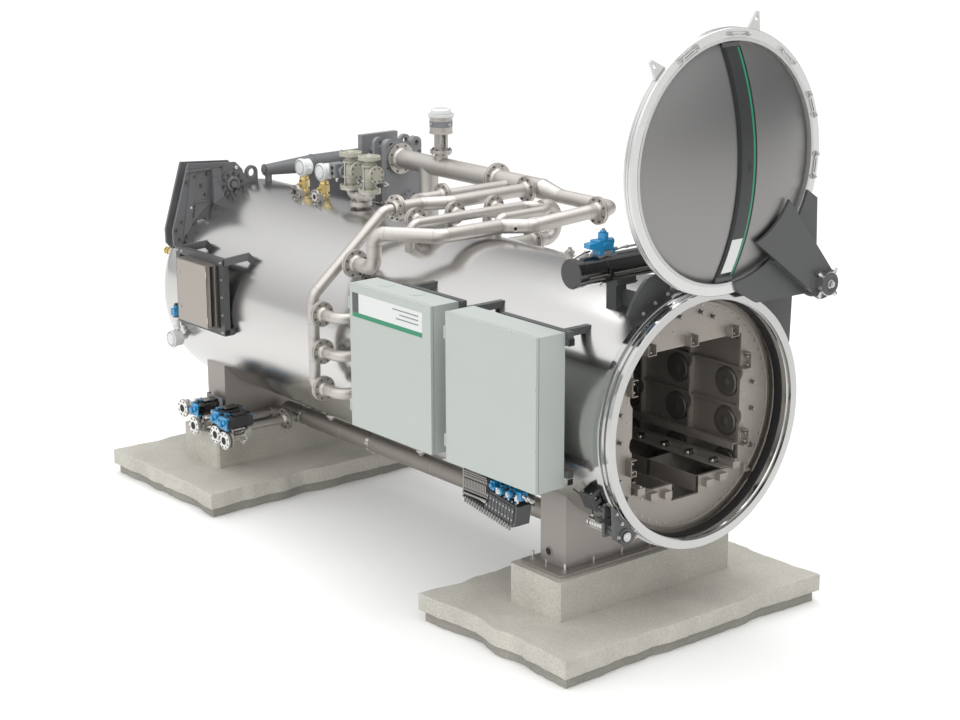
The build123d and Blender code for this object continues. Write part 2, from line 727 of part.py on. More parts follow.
def door_band():
    radius = DOOR_RING_BORE - BAND_END_GAP
    outside = cap_solid(BAND_THICKNESS, radius, DOOR_BACK_X)
    inside = cap_solid(SEAT, DOOR_RADIUS, DOOR_BACK_X - 1)
    half = BAND_WIDTH / 2
    strip = block(
        (DOOR_BACK_X, DOOR_FACE_X + DOME_HEIGHT + 50),
        (DOOR_Y - half, DOOR_Y + half),
        (DOOR_Z - DOOR_RADIUS, DOOR_Z + DOOR_RADIUS),
    )
    return (outside - inside) & strip


def door_clips():
    """Slotted clamp bars on the ring's face, each with a block at either end."""
    radius = (DOOR_RADIUS + DOOR_RING_BORE) / 2
    bar = Box(CLIP_THICKNESS, CLIP_WIDTH, CLIP_LENGTH)
    slot = Box(CLIP_THICKNESS + 2, CLIP_WIDTH / 3, CLIP_LENGTH / 2)
    end = Box(CLIP_THICKNESS * 1.8, CLIP_WIDTH, CLIP_END)
    reach = (CLIP_LENGTH - CLIP_END) / 2
    clip = bar - slot
    for side in (-1, 1):
        clip += Pos(CLIP_THICKNESS * 0.4, 0, side * reach) * end
    clips = []
    for angle in CLIP_ANGLES:
        y, z = at_angle(radius, angle, DOOR_Y, DOOR_Z)
        clips.append(Pos(DOOR_FACE_X + CLIP_THICKNESS / 2, y, z) * Rot(angle, 0, 0) * clip)
    return Compound(children=clips)


def lifting_lugs():
    lugs = []
    for angle in LUG_ANGLES:
        low = DOOR_RADIUS + SEAT
        half = LUG_WIDTH / 2
        corners = [
            (low - 3, -half),
            (low + LUG_HEIGHT, -half / 5),
            (low + LUG_HEIGHT, half / 5),
            (low - 3, half),
        ]
        plate = plate_x(Polyline(*corners, close=True), 0, LUG_THICKNESS)
        plate -= rod_x((-1, LUG_THICKNESS + 1), low + LUG_HEIGHT * 0.62, 0, 15)
        plate -= rod_x((-1, LUG_THICKNESS + 1), 0, 0, low)
        x = DOOR_BACK_X + (DOOR_RING_LENGTH - LUG_THICKNESS) / 2
        lugs.append(Pos(x, DOOR_Y, DOOR_Z) * Rot(angle, 0, 0) * plate)
    return Compound(children=lugs)


def arm_base_plate():
    """The crescent on the ring's face that runs out to the hub."""
    inner = DOOR_RING_BORE + 10
    low = at_angle(inner, CRESCENT_SPAN_LOW, DOOR_Y, DOOR_Z)
    high = at_angle(inner, CRESCENT_SPAN_HIGH, DOOR_Y, DOOR_Z)
    mid = at_angle(inner, (CRESCENT_SPAN_LOW + CRESCENT_SPAN_HIGH) / 2, DOOR_Y, DOOR_Z)
    low_out = at_angle(DOOR_RADIUS - 4, CRESCENT_SPAN_LOW + 1.4, DOOR_Y, DOOR_Z)
    high_out = at_angle(DOOR_RADIUS + 40, CRESCENT_SPAN_HIGH - 1.8, DOOR_Y, DOOR_Z)
    hub_low = at_angle(ARM_HUB_RADIUS, -135, PIVOT_Y, PIVOT_Z)
    hub_out = at_angle(ARM_HUB_RADIUS, -40, PIVOT_Y, PIVOT_Z)
    hub_high = at_angle(ARM_HUB_RADIUS, 20, PIVOT_Y, PIVOT_Z)
    edges = [
        ThreePointArc(low, mid, high),
        Line(high, high_out),
        Line(high_out, (PIVOT_Y + 15, PIVOT_Z + 190)),
        Line((PIVOT_Y + 15, PIVOT_Z + 190), hub_high),
        ThreePointArc(hub_high, hub_out, hub_low),
        Line(hub_low, (low_out[0] + 190, low_out[1] - 105)),
        Line((low_out[0] + 190, low_out[1] - 105), low_out),
        Line(low_out, low),
    ]
    return plate_x(Curve() + edges, DOOR_FACE_X, ARM_PLATE_THICKNESS)


def arm_top_outline(shrink=0):
    start = ARM_SPAN_CENTRE - ARM_SPAN / 2
    end = ARM_SPAN_CENTRE + ARM_SPAN / 2
    radius = ARM_INNER_RADIUS
    low = at_angle(radius, start, DOOR_Y, DOOR_Z)
    mid = at_angle(radius, ARM_SPAN_CENTRE, DOOR_Y, DOOR_Z)
    high = at_angle(radius, end, DOOR_Y, DOOR_Z)
    hub_low = at_angle(ARM_HUB_RADIUS - shrink, -150, PIVOT_Y, PIVOT_Z)
    hub_out = at_angle(ARM_HUB_RADIUS - shrink, -50, PIVOT_Y, PIVOT_Z)
    hub_high = at_angle(ARM_HUB_RADIUS - shrink, 45, PIVOT_Y, PIVOT_Z)
    return low, mid, high, hub_low, hub_out, hub_high


def arm_top_plate():
    """The raised plate that reaches over the dome's edge."""
    low, mid, high, hub_low, hub_out, hub_high = arm_top_outline()
    edges = [
        ThreePointArc(low, mid, high),
        Line(high, hub_high),
        ThreePointArc(hub_high, hub_out, hub_low),
        Line(hub_low, low),
    ]
    return plate_x(Curve() + edges, ARM_TOP_X, ARM_TOP_THICKNESS)


def arm_web(inner, outer):
    """A web under one straight edge of the raised plate, from the ring out to the hub."""
    thickness = ARM_PLATE_THICKNESS
    angle = math.degrees(math.atan2(outer[1] - inner[1], outer[0] - inner[0]))
    length = math.dist(inner, outer)
    back = DOOR_FACE_X + ARM_PLATE_THICKNESS
    web = block((back, ARM_TOP_X), (0, length), (-thickness / 2, thickness / 2))
    return Pos(0, inner[0], inner[1]) * Rot(angle, 0, 0) * web


def door_arm():
    low, mid, high, hub_low, hub_out, hub_high = arm_top_outline(ARM_PLATE_THICKNESS)
    reach = (DOOR_RING_BORE + 30 - ARM_INNER_RADIUS) / math.dist(low, hub_low)
    arm = arm_base_plate() + arm_top_plate()
    for inner, outer in ((low, hub_low), (high, hub_high)):
        start = tuple(a + (b - a) * reach for a, b in zip(inner, outer))
        arm += arm_web(start, outer)
    hub = rod_x((DOOR_FACE_X, ARM_TOP_X + ARM_TOP_THICKNESS), PIVOT_Y, PIVOT_Z, HUB_RADIUS)
    bore = rod_x((DOOR_FACE_X - 1, ARM_TOP_X + 100), PIVOT_Y, PIVOT_Z, SHAFT_RADIUS)
    return arm + hub - bore


def pivot_shaft():
    front = ARM_TOP_X + ARM_TOP_THICKNESS
    shaft = rod_x((SHAFT_BACK_X, front), PIVOT_Y, PIVOT_Z, SHAFT_RADIUS)
    cap = rod_x((front, front + HUB_LENGTH), PIVOT_Y, PIVOT_Z, HUB_RADIUS)
    return shaft + cap


# Door drive

def bearing_xs():
    front = FLANGE_FACE_X - 20
    return (front - BEARING_LENGTH, front)


def pivot_bracket():
    """The bearing tube on two plates that stand on the vessel's far shoulder."""
    back, front = bearing_xs()
    tube = rod_x((back, front), PIVOT_Y, PIVOT_Z, BEARING_RADIUS)
    plates = []
    foot = VESSEL_RADIUS + SEAT
    for x in (FLANGE_BACK_X - 105, FLANGE_BACK_X - 40):
        corners = [
            at_angle(foot - 60, 72, 0, AXIS_Z),
            at_angle(foot + 130, 74, 0, AXIS_Z),
            (PIVOT_Y - 20, PIVOT_Z + BEARING_RADIUS - 4),
            (PIVOT_Y + BEARING_RADIUS - 4, PIVOT_Z - 20),
            at_angle(foot + 130, 14, 0, AXIS_Z),
            at_angle(foot - 60, 16, 0, AXIS_Z),
        ]
        plates.append(plate_x(Polyline(*corners, close=True), x, BRACKET_PLATE_THICKNESS))
    body = tube + plates
    body -= rod_x((back - 400, FLANGE_BACK_X), 0, AXIS_Z, foot)
    body -= rod_x((back - 1, front + 1), PIVOT_Y, PIVOT_Z, SHAFT_RADIUS + RUNNING)
    return body


def drive_cylinder():
    near = CYLINDER_NEAR_Y
    far = near + CYLINDER_LENGTH
    body = rod_y(CYLINDER_X, (near + CYLINDER_CAP_LENGTH, far), CYLINDER_Z, CYLINDER_RADIUS - 6)
    cap = rod_y(CYLINDER_X, (near, near + CYLINDER_CAP_LENGTH), CYLINDER_Z, CYLINDER_RADIUS)
    nose = rod_y(CYLINDER_X, (far, far + 90), CYLINDER_Z, CYLINDER_RADIUS * 0.7)
    return body + cap + nose


def cylinder_post():
    """A post with a foot and a saddle that the drive cylinder lies in."""
    half = POST_SIZE / 2
    x = CYLINDER_X
    ys = (POST_Y - half, POST_Y + half)
    top = CYLINDER_Z - CYLINDER_RADIUS + 20
    body = block((x - half, x + half), ys, (AXIS_Z + VESSEL_RADIUS / 2, top))
    body += block((x + half - 1, x + POST_FOOT), (ys[0] + 30, ys[1] - 30), (AXIS_Z, POST_FOOT_Z))
    body += block((x - 80, x + 80), (ys[0] - 20, ys[1] + 60), (CYLINDER_Z - 120, CYLINDER_Z - 60))
    bed = (CYLINDER_NEAR_Y, CYLINDER_NEAR_Y + CYLINDER_LENGTH)
    body -= rod_y(x, bed, CYLINDER_Z, CYLINDER_RADIUS - 6 + SEAT)
    return clear_of_vessel(body)


def cylinder_valve():
    """The valve block on the drive cylinder, with its coil and a flat base."""
    x = CYLINDER_X
    y = CYLINDER_VALVE_Y
    low = CYLINDER_Z + CYLINDER_RADIUS - 14
    base = block((x - 38, x + 38), (y - 70, y + 70), (low, low + 46))
    body = block((x - 42, x + 42), (y - 88, y + 52), (low + 45, low + 112))
    body += block((x - 34, x + 34), (y - 128, y - 80), (low + 56, low + 100))
    coil = rod_z(x, y - 8, (low + 110, low + 158), 36)
    whole = base + body + coil
    return whole - rod_y(x, (y - 200, y + 200), CYLINDER_Z, CYLINDER_RADIUS - 6 + SEAT)


def flange_bracket():
    """A curved bracket behind the mouth flange, at the top of the vessel."""
    foot = VESSEL_RADIUS + SEAT - 30
    low = at_angle(foot, BRACKET_ANGLES[0], 0, AXIS_Z)
    high = at_angle(foot, BRACKET_ANGLES[1], 0, AXIS_Z)
    edges = [
        Line(low, BRACKET_INNER),
        ThreePointArc(BRACKET_INNER, BRACKET_INNER_BULGE, BRACKET_CREST),
        ThreePointArc(BRACKET_CREST, BRACKET_OUTER_BULGE, BRACKET_OUTER),
        Line(BRACKET_OUTER, high),
        Line(high, low),
    ]
    return clear_of_vessel(plate_x(Curve() + edges, BRACKET_X, BRACKET_THICKNESS))


# Cabinets

def cabinet_body(x):
    """A wall cabinet, open at the front, with its two hinges' fixed knuckles and pins."""
    xs = (x, x + CABINET_WIDTH)
    front = CABINET_FRONT_Y + CABINET_DOOR_THICKNESS + CABINET_DOOR_GAP
    back = CABINET_FRONT_Y + CABINET_DEPTH
    zs = (CABINET_BOTTOM_Z, CABINET_BOTTOM_Z + CABINET_HEIGHT)
    w = CABINET_WALL
    body = block(xs, (front, back), zs)
    body -= block((xs[0] + w, xs[1] - w), (front - 1, back - w), (zs[0] + w, zs[1] - w))
    hx = x - HINGE_OFFSET
    hy = CABINET_FRONT_Y + CABINET_DOOR_THICKNESS / 2
    for share in HINGE_HEIGHTS:
        z = CABINET_BOTTOM_Z + CABINET_HEIGHT * share
        low = (z - HINGE_KNUCKLE, z)
        leaf = block((hx - 4, x), (hy, front + 60), low)
        leaf -= block((hx + 4, x + 1), (hy - 20, front - CABINET_DOOR_GAP), (z - 200, z + 200))
        body += leaf
        body += rod_z(hx, hy, low, HINGE_RADIUS)
        body += rod_z(hx, hy, (z, z + HINGE_KNUCKLE - 2), HINGE_PIN_RADIUS)
    return body


def cabinet_door(x):
    """The cabinet's front, hung on the pins at its left edge."""
    ys = (CABINET_FRONT_Y, CABINET_FRONT_Y + CABINET_DOOR_THICKNESS)
    door = block((x, x + CABINET_WIDTH), ys, (CABINET_BOTTOM_Z, CABINET_BOTTOM_Z + CABINET_HEIGHT))
    hx = x - HINGE_OFFSET
    hy = CABINET_FRONT_Y + CABINET_DOOR_THICKNESS / 2
    for share in HINGE_HEIGHTS:
        z = CABINET_BOTTOM_Z + CABINET_HEIGHT * share
        span = (z + SEAT, z + HINGE_KNUCKLE)
        knuckle = rod_z(hx, hy, span, HINGE_RADIUS) + block((hx, x), (hy - 4, hy + 4), span)
        bore = rod_z(hx, hy, (z - 1, z + HINGE_KNUCKLE - 1.5), HINGE_PIN_RADIUS + RUNNING)
        door += knuckle - bore
    return door


def cabinet_frame():
    """Square tubes from the vessel that carry both cabinets at their backs."""
    back = CABINET_FRONT_Y + CABINET_DEPTH
    t = FRAME_TUBE
    body = None
    for z in (CABINET_BOTTOM_Z + CABINET_RAIL_RISE, CABINET_BOTTOM_Z + CABINET_HEIGHT - 40):
        rail = block(
            (CABINET_LEFT_X + 100, CABINET_RIGHT_X + CABINET_WIDTH + 40), (back, back + t), (z - t, z)
        )
        body = rail if body is None else body + rail
        for x in (CABINET_LEFT_X + 200, CABINET_RIGHT_X - 150, CABINET_RIGHT_X + CABINET_WIDTH - 200):
            body += block((x, x + t), (back, 0), (z - t, z))
    return clear_of_vessel(body)


# Pipework

def reducer():
    """The header's step down, level underneath."""
    small_z = HEADER_Z - HEADER_RADIUS + HEADER_SMALL_RADIUS
    large = Plane((HEADER_REDUCER_X, HEADER_Y, HEADER_Z), z_dir=(1, 0, 0)) * Circle(HEADER_RADIUS)
    end_x = HEADER_REDUCER_X + HEADER_REDUCER_LENGTH
    small = Plane((end_x, HEADER_Y, small_z), z_dir=(1, 0, 0)) * Circle(HEADER_SMALL_RADIUS)
    return loft([large, small]), (end_x, HEADER_Y, small_z)


def pipe_header():
    """The main pipe beside the vessel, with a branch down and its end bend to the crossover."""
    back = EXCHANGER_FACE_X + SEAT
    y = HEADER_Y
    z = HEADER_Z
    step, (end_x, end_y, end_z) = reducer()
    body = rod_x((back, HEADER_REDUCER_X), y, z, HEADER_RADIUS) + step
    run = [
        (end_x, end_y, end_z),
        (HEADER_END_X, end_y, end_z),
        (HEADER_END_X, y - HEADER_TURN, end_z),
    ]
    body += pipe(run, HEADER_SMALL_RADIUS, HEADER_TURN_BEND)
    body += flange_pair((back + FLANGE_THICKNESS, y, z), (1, 0, 0), HEADER_RADIUS)
    body += flange_pair((HEADER_PAIR_X, y, z), (1, 0, 0), HEADER_RADIUS)
    branch = [
        (HEADER_BRANCH_X, y, z),
        (HEADER_BRANCH_X, y, AXIS_Z),
        (HEADER_BRANCH_X, BORE_RADIUS, AXIS_Z),
    ]
    body += pipe(branch, HEADER_RADIUS, HEADER_BRANCH_BEND)
    return clear_of_vessel(body)


def crossover_pipe():
    """From the header's end over the vessel's top, with a sideways jog, down to a blind flange."""
    start_z = HEADER_Z - HEADER_RADIUS + HEADER_SMALL_RADIUS
    start_y = HEADER_Y - HEADER_TURN
    points = [
        (HEADER_END_X, start_y, start_z),
        (HEADER_END_X, start_y - 120, start_z),
        (CROSSOVER_FAR_X, CROSSOVER_JOG_FAR_Y, CROSSOVER_Z),
        (CROSSOVER_X, CROSSOVER_JOG_NEAR_Y, CROSSOVER_Z),
        (CROSSOVER_X, CROSSOVER_TURN_Y, CROSSOVER_Z),
        (CROSSOVER_DROP_X, CROSSOVER_DROP_Y, CROSSOVER_Z),
        (CROSSOVER_DROP_X, CROSSOVER_DROP_Y, CROSSOVER_DROP_Z),
        (CROSSOVER_DROP_X - CROSSOVER_END, CROSSOVER_DROP_Y, CROSSOVER_DROP_Z),
    ]
    body = pipe(points, CROSSOVER_RADIUS, CROSSOVER_BEND)
    flange_y = start_y - FLANGE_THICKNESS
    body += flange_pair((HEADER_END_X, flange_y, start_z), (0, 1, 0), CROSSOVER_RADIUS)
    end_x = CROSSOVER_DROP_X - CROSSOVER_END
    body += flange_pair((end_x, CROSSOVER_DROP_Y, CROSSOVER_DROP_Z), (1, 0, 0), CROSSOVER_RADIUS)
    port_x = (CROSSOVER_X + CROSSOVER_FAR_X) / 2
    port_y = (CROSSOVER_JOG_FAR_Y + CROSSOVER_JOG_NEAR_Y) / 2
    return body + disc((port_x, port_y, CROSSOVER_Z), (1, -1, 0), PORT_RADIUS, PORT_LENGTH)


def riser_run():
    """The larger pipe from the header over the vessel to the riser's first flange pair."""
    z = HEADER_Z
    start = HEADER_Y - HEADER_RADIUS + 10
    points = [
        (RISER_RUN_X, start, z),
        (RISER_RUN_X, RISER_JOG_FAR_Y, z - 8),
        (RISER_X, RISER_JOG_NEAR_Y, z - 12),
        (RISER_X, RISER_PAIR_Y, z - 15),
    ]
    body = pipe(points, RISER_RUN_RADIUS, 120)
    body += flange_pair((RISER_RUN_X, start - 30, z), (0, 1, 0), RISER_RUN_RADIUS)
    body += flange_pair((RISER_X, RISER_PAIR_Y, z - 15), (0, 1, 0), RISER_RUN_RADIUS)
    bypass = [
        (BYPASS_X, start, z - 15),
        (BYPASS_X, BYPASS_JOG_Y, z - 15),
        (RISER_X, RISER_JOG_NEAR_Y - 100, z - 14),
    ]
    body += pipe(bypass, RISER_RADIUS, 110)
    body += flange_pair((BYPASS_X, BYPASS_PAIR_Y, z - 15), (0, 1, 0), RISER_RADIUS)
    return body


def riser_branch(z):
    """A branch from the riser into the vessel's side, with a flange pair."""
    points = [
        (RISER_X, RISER_Y, z),
        (RISER_BRANCH_X, RISER_Y, z),
        (RISER_BRANCH_X, -BORE_RADIUS * 0.8, z),
    ]
    body = pipe(points, RISER_BRANCH_RADIUS, RISER_BRANCH_BEND)
    return body + flange_pair((RISER_X + RISER_BRANCH_PAIR, RISER_Y, z), (1, 0, 0), RISER_RADIUS)


def riser_pipe():
    """The run over the top, and the pipe down the near side with its branches into the vessel."""
    branch_zs = [AXIS_Z + height for height in RISER_BRANCH_HEIGHTS]
    low = branch_zs[-1]
    points = [
        (RISER_X, RISER_PAIR_Y, HEADER_Z - 15),
        (RISER_X, RISER_SHOULDER_Y, RISER_TOP_Z),
        (RISER_X, RISER_Y, RISER_ELBOW_Z),
        (RISER_X, RISER_Y, low),
        (RISER_BRANCH_X, RISER_Y, low),
        (RISER_BRANCH_X, -BORE_RADIUS * 0.8, low),
    ]
    bend = RISER_BRANCH_BEND
    body = riser_run() + pipe(points, RISER_RADIUS, [bend, bend, RISER_FOOT_BEND, bend])
    body += flange_pair((RISER_X + RISER_BRANCH_PAIR, RISER_Y, low), (1, 0, 0), RISER_RADIUS)
    for z in branch_zs[:-1]:
        body += riser_branch(z)
    clear = clear_of_vessel(body)
    return clear - rod_x((EXCHANGER_FACE_X, 0), HEADER_Y, HEADER_Z, HEADER_RADIUS + SEAT)


def return_pipe():
    """A loop on the vessel's top with three short stubs and an outlet down the far side."""
    crown = AXIS_Z + VESSEL_RADIUS / 2
    loop = [
        (RETURN_X, RETURN_NEAR_Y, crown),
        (RETURN_X, RETURN_NEAR_Y, RETURN_Z),
        (RETURN_X, RETURN_FAR_Y, RETURN_Z),
        (RETURN_BACK_X, RETURN_FAR_Y, RETURN_Z),
        (RETURN_BACK_X, RETURN_BACK_END_Y, RETURN_Z),
        (RETURN_BACK_X, RETURN_BACK_END_Y, crown),
    ]
    bends = [RETURN_ELBOW, RETURN_LOOP_BEND, RETURN_LOOP_BEND, RETURN_ELBOW]
    body = pipe(loop, RETURN_RADIUS, bends)
    for y in STUB_YS:
        stub = [(STUB_NOZZLE_X, y, crown), (STUB_NOZZLE_X, y, RETURN_Z), (RETURN_X, y, RETURN_Z)]
        body += pipe(stub, RETURN_RADIUS, STUB_BEND)
        body += flange_pair((STUB_PAIR_X, y, RETURN_Z), (1, 0, 0), RETURN_RADIUS)
    middle = (RETURN_X + RETURN_BACK_X) / 2
    outlet = [
        (middle, RETURN_FAR_Y - RETURN_RADIUS / 2, RETURN_Z),
        (middle, OUTLET_Y, RETURN_Z),
        (middle, OUTLET_Y, OUTLET_Z),
        (middle, 0, OUTLET_Z),
    ]
    body += pipe(outlet, CROSSOVER_RADIUS, RISER_BRANCH_BEND)
    body += flange_pair((middle, OUTLET_PAIR_Y, OUTLET_Z), (0, 1, 0), CROSSOVER_RADIUS)
    return clear_of_vessel(body)


def drain_header():
    """The pipe under the vessel that gathers its three bottom outlets."""
    body = rod_x((DRAIN_BACK_X, DRAIN_FRONT_X), DRAIN_Y, DRAIN_Z, DRAIN_RADIUS)
    for x in DRAIN_STUB_XS:
        body += rod_z(x, DRAIN_Y, (DRAIN_Z, AXIS_Z - BORE_RADIUS), DRAIN_STUB_RADIUS)
    return clear_of_vessel(body)


# Plate heat exchanger

def exchanger_plate(x, thickness):
    """A plate with two eared corners, each with a hole."""
    near = EXCHANGER_NEAR_Y
    far = EXCHANGER_FAR_Y
    ear = EXCHANGER_EAR_RADIUS
    plate = block((x, x + thickness), (near, far), (EXCHANGER_BOTTOM_Z, EXCHANGER_TOP_Z))
    for y in (near + ear, far - ear):
        plate += block((x, x + thickness), (y - ear, y + ear), (EXCHANGER_TOP_Z - 1, EXCHANGER_EAR_Z))
        plate += rod_x((x, x + thickness), y, EXCHANGER_EAR_Z, ear)
        plate -= rod_x((x - 1, x + thickness + 1), y, EXCHANGER_EAR_Z, EXCHANGER_EAR_HOLE)
    return plate


def exchanger_frame():
    """The fixed and moving plates, the rear column, the bars that join them and the tie rods."""
    fixed_x = EXCHANGER_FACE_X - EXCHANGER_PLATE
    body = exchanger_plate(fixed_x, EXCHANGER_PLATE)
    body += exchanger_plate(EXCHANGER_MOVING_X, EXCHANGER_MOVING_PLATE)
    column_x = (EXCHANGER_COLUMN_X, EXCHANGER_COLUMN_X + EXCHANGER_PLATE)
    column_top = EXCHANGER_EAR_Z + EXCHANGER_EAR_RADIUS
    body += block(column_x, (EXCHANGER_NEAR_Y, EXCHANGER_FAR_Y), (EXCHANGER_BOTTOM_Z, column_top))
    middle = (EXCHANGER_NEAR_Y + EXCHANGER_FAR_Y) / 2
    bar_x = (column_x[0], fixed_x + 1)
    low = EXCHANGER_BOTTOM_Z + 2 * EXCHANGER_BAR_RADIUS
    for z in (low, EXCHANGER_TOP_Z - EXCHANGER_BAR_RADIUS):
        for y in (middle - EXCHANGER_BAR_SPREAD, middle + EXCHANGER_BAR_SPREAD):
            body += rod_x(bar_x, y, z, EXCHANGER_BAR_RADIUS)
    tie_x = (EXCHANGER_MOVING_X - 30, EXCHANGER_FACE_X - EXCHANGER_PLATE / 2)
    reach = EXCHANGER_TIE_RADIUS * 0.7
    for y in (EXCHANGER_NEAR_Y - reach, EXCHANGER_FAR_Y + reach):
        for z in EXCHANGER_TIE_HEIGHTS:
            body += rod_x(tie_x, y, z, EXCHANGER_TIE_RADIUS)
    return body


def exchanger_plates():
    """The pack of thin plates clamped between the fixed and the moving plate."""
    xs = (EXCHANGER_MOVING_X + EXCHANGER_MOVING_PLATE, EXCHANGER_FACE_X - EXCHANGER_PLATE)
    ys = (EXCHANGER_NEAR_Y + 30, EXCHANGER_FAR_Y - 30)
    zs = (EXCHANGER_BOTTOM_Z + 40, EXCHANGER_TOP_Z - 40)
    pack = block(xs, ys, zs)
    middle = (EXCHANGER_NEAR_Y + EXCHANGER_FAR_Y) / 2
    for z in (EXCHANGER_BOTTOM_Z + 2 * EXCHANGER_BAR_RADIUS, EXCHANGER_TOP_Z - EXCHANGER_BAR_RADIUS):
        for y in (middle - EXCHANGER_BAR_SPREAD, middle + EXCHANGER_BAR_SPREAD):
            pack -= rod_x((xs[0] - 1, xs[1] + 1), y, z, EXCHANGER_BAR_RADIUS + SEAT)
    return pack


def exchanger_stand():
    """A welded stand of square tubes from the rear foundation up to the exchanger."""
    t = STAND_TUBE
    xs = (EXCHANGER_COLUMN_X, EXCHANGER_FACE_X - t)
    ys = (STAND_NEAR_Y, STAND_FAR_Y - t)
    top = EXCHANGER_BOTTOM_Z - SEAT
    body = block((xs[0], xs[1] + t), (ys[0], ys[1] + t), (top - t, top))
    body -= block((xs[0] + t, xs[1]), (ys[0] + t, ys[1]), (top - t - 1, top + 1))
    for x in xs:
        for y in ys:
            body += block((x, x + t), (y, y + t), (SLAB_TOP_Z, top))
            foot = (SLAB_TOP_Z, SLAB_TOP_Z + STAND_FOOT)
            body += block((x - 20, x + t + 20), (y, y + t), foot)
    for y in ys:
        body += block((xs[0], xs[1] + t), (y, y + t), (SLAB_TOP_Z + 400, SLAB_TOP_Z + 400 + t))
    return body


# Valves and instruments on top

def control_valve():
    """A globe valve on the header with a two legged yoke under its actuator."""
    x = CONTROL_X
    y = HEADER_Y
    body = rod_z(x, y, (HEADER_Z, CONTROL_YOKE_Z), CONTROL_BODY_RADIUS)
    body += rod_z(x, y, (CONTROL_FLANGE_Z - 14, CONTROL_FLANGE_Z + 14), CONTROL_FLANGE_RADIUS)
    body += rod_z(x, y, (CONTROL_YOKE_Z, CONTROL_ACTUATOR_Z), 14)
    for side in (-1, 1):
        leg = sorted((y + side * CONTROL_YOKE_SPREAD, y + side * (CONTROL_YOKE_SPREAD - CONTROL_YOKE_BAR)))
        body += block((x - 30, x + 30), leg, (CONTROL_YOKE_Z - 10, CONTROL_ACTUATOR_Z + 1))
    body += rod_z(x, y, (CONTROL_ACTUATOR_Z, CONTROL_CAP_Z), CONTROL_ACTUATOR_RADIUS)
    return body - rod_x((x - 200, x + 200), y, HEADER_Z, HEADER_RADIUS + SEAT)


def control_valve_cap():
    """The round cap over the control valve's actuator, with a wider brim."""
    brim = rod_z(CONTROL_X, HEADER_Y, (CONTROL_CAP_Z, CONTROL_CAP_Z + 24), CONTROL_CAP_RADIUS)
    crown = rod_z(
        CONTROL_X, HEADER_Y, (CONTROL_CAP_Z + 24, CONTROL_TOP_Z), CONTROL_CAP_RADIUS * 0.78
    )
    crown = fillet(crown.edges().group_by(Axis.Z)[-1], 20)
    return brim + crown


def relief_nozzle():
    """The nozzle on the vessel's top and the two arms that carry the relief valves."""
    x = RELIEF_X
    body = rod_z(x, 0, (AXIS_Z + BORE_RADIUS, RELIEF_BASE_Z + 70), RELIEF_ARM_RADIUS)
    body += rod_z(x, 0, (RELIEF_BASE_Z, RELIEF_BASE_Z + 2 * FLANGE_THICKNESS), RELIEF_FLANGE_RADIUS)
    for arm_x in RELIEF_ARM_XS:
        arm = [(x, 0, RELIEF_BASE_Z + 60), (arm_x, 0, RELIEF_BASE_Z + 85), (arm_x, 0, RELIEF_SEAT_Z)]
        body += pipe(arm, RELIEF_ARM_RADIUS, RELIEF_ARM_BEND)
        body += rod_z(arm_x, 0, (RELIEF_SEAT_Z - FLANGE_THICKNESS, RELIEF_SEAT_Z), RELIEF_FLANGE_RADIUS)
    return clear_of_vessel(body)


def relief_valves():
    """Two angle valves, each with a flanged foot, a side outlet and a round hand disc on top."""
    valves = []
    for x in RELIEF_ARM_XS:
        low = RELIEF_SEAT_Z + SEAT
        valve = rod_z(x, 0, (low, low + FLANGE_THICKNESS), RELIEF_FLANGE_RADIUS)
        valve += rod_z(x, 0, (low, RELIEF_TOP_Z), RELIEF_BODY_RADIUS)
        valve += rod_z(x, 0, (RELIEF_TOP_Z - 55, RELIEF_TOP_Z - 40), RELIEF_FLANGE_RADIUS * 0.7)
        valve += rod_z(x, 0, (RELIEF_TOP_Z, RELIEF_TOP_Z + 22), RELIEF_FLANGE_RADIUS)
        valve += rod_x((x, x + 100), 0, RELIEF_OUTLET_Z, RELIEF_BODY_RADIUS)
        valve += rod_x((x + 84, x + 102), 0, RELIEF_OUTLET_Z, RELIEF_FLANGE_RADIUS * 0.78)
        valves.append(valve)
    return Compound(children=valves)


def switch_box():
    """The box on the rear relief valve, held on a short neck."""
    ys = (-SWITCH_BOX_HALF_Y, SWITCH_BOX_HALF_Y)
    box = block(SWITCH_BOX_X, ys, SWITCH_BOX_Z)
    box = fillet(box.edges(), 8)
    rear_valve = min(RELIEF_ARM_XS)
    middle = sum(SWITCH_BOX_Z) / 2
    box += rod_x((SWITCH_BOX_X[1] - 1, rear_valve), 0, middle, 32)
    box += rod_x((rear_valve - 84, rear_valve - 66), 0, middle, 56)
    return box - rod_z(rear_valve, 0, (RELIEF_SEAT_Z, RELIEF_TOP_Z), RELIEF_BODY_RADIUS + SEAT)


def transmitter_bodies():
    """The threaded brass bodies that carry the transmitters."""
    bodies = []
    for x in TRANSMITTER_XS:
        low = AXIS_Z + BORE_RADIUS
        body = rod_z(x, 0, (low, TRANSMITTER_BODY_Z - 40), TRANSMITTER_BODY_RADIUS * 0.7)
        hexagon = Plane((x, 0, TRANSMITTER_BODY_Z - 110)) * RegularPolygon(TRANSMITTER_BODY_RADIUS, 6)
        body += extrude(hexagon, 60)
        collar = (TRANSMITTER_BODY_Z - 45, TRANSMITTER_BODY_Z - 20)
        body += rod_z(x, 0, collar, TRANSMITTER_BODY_RADIUS * 0.8)
        body += rod_z(x, 0, (TRANSMITTER_BODY_Z - 21, TRANSMITTER_HEAD_Z), 20)
        body -= rod_y(x, (-300, 300), TRANSMITTER_HEAD_Z, TRANSMITTER_HEAD_RADIUS + SEAT)
        bodies.append(clear_of_vessel(body))
    return Compound(children=bodies)


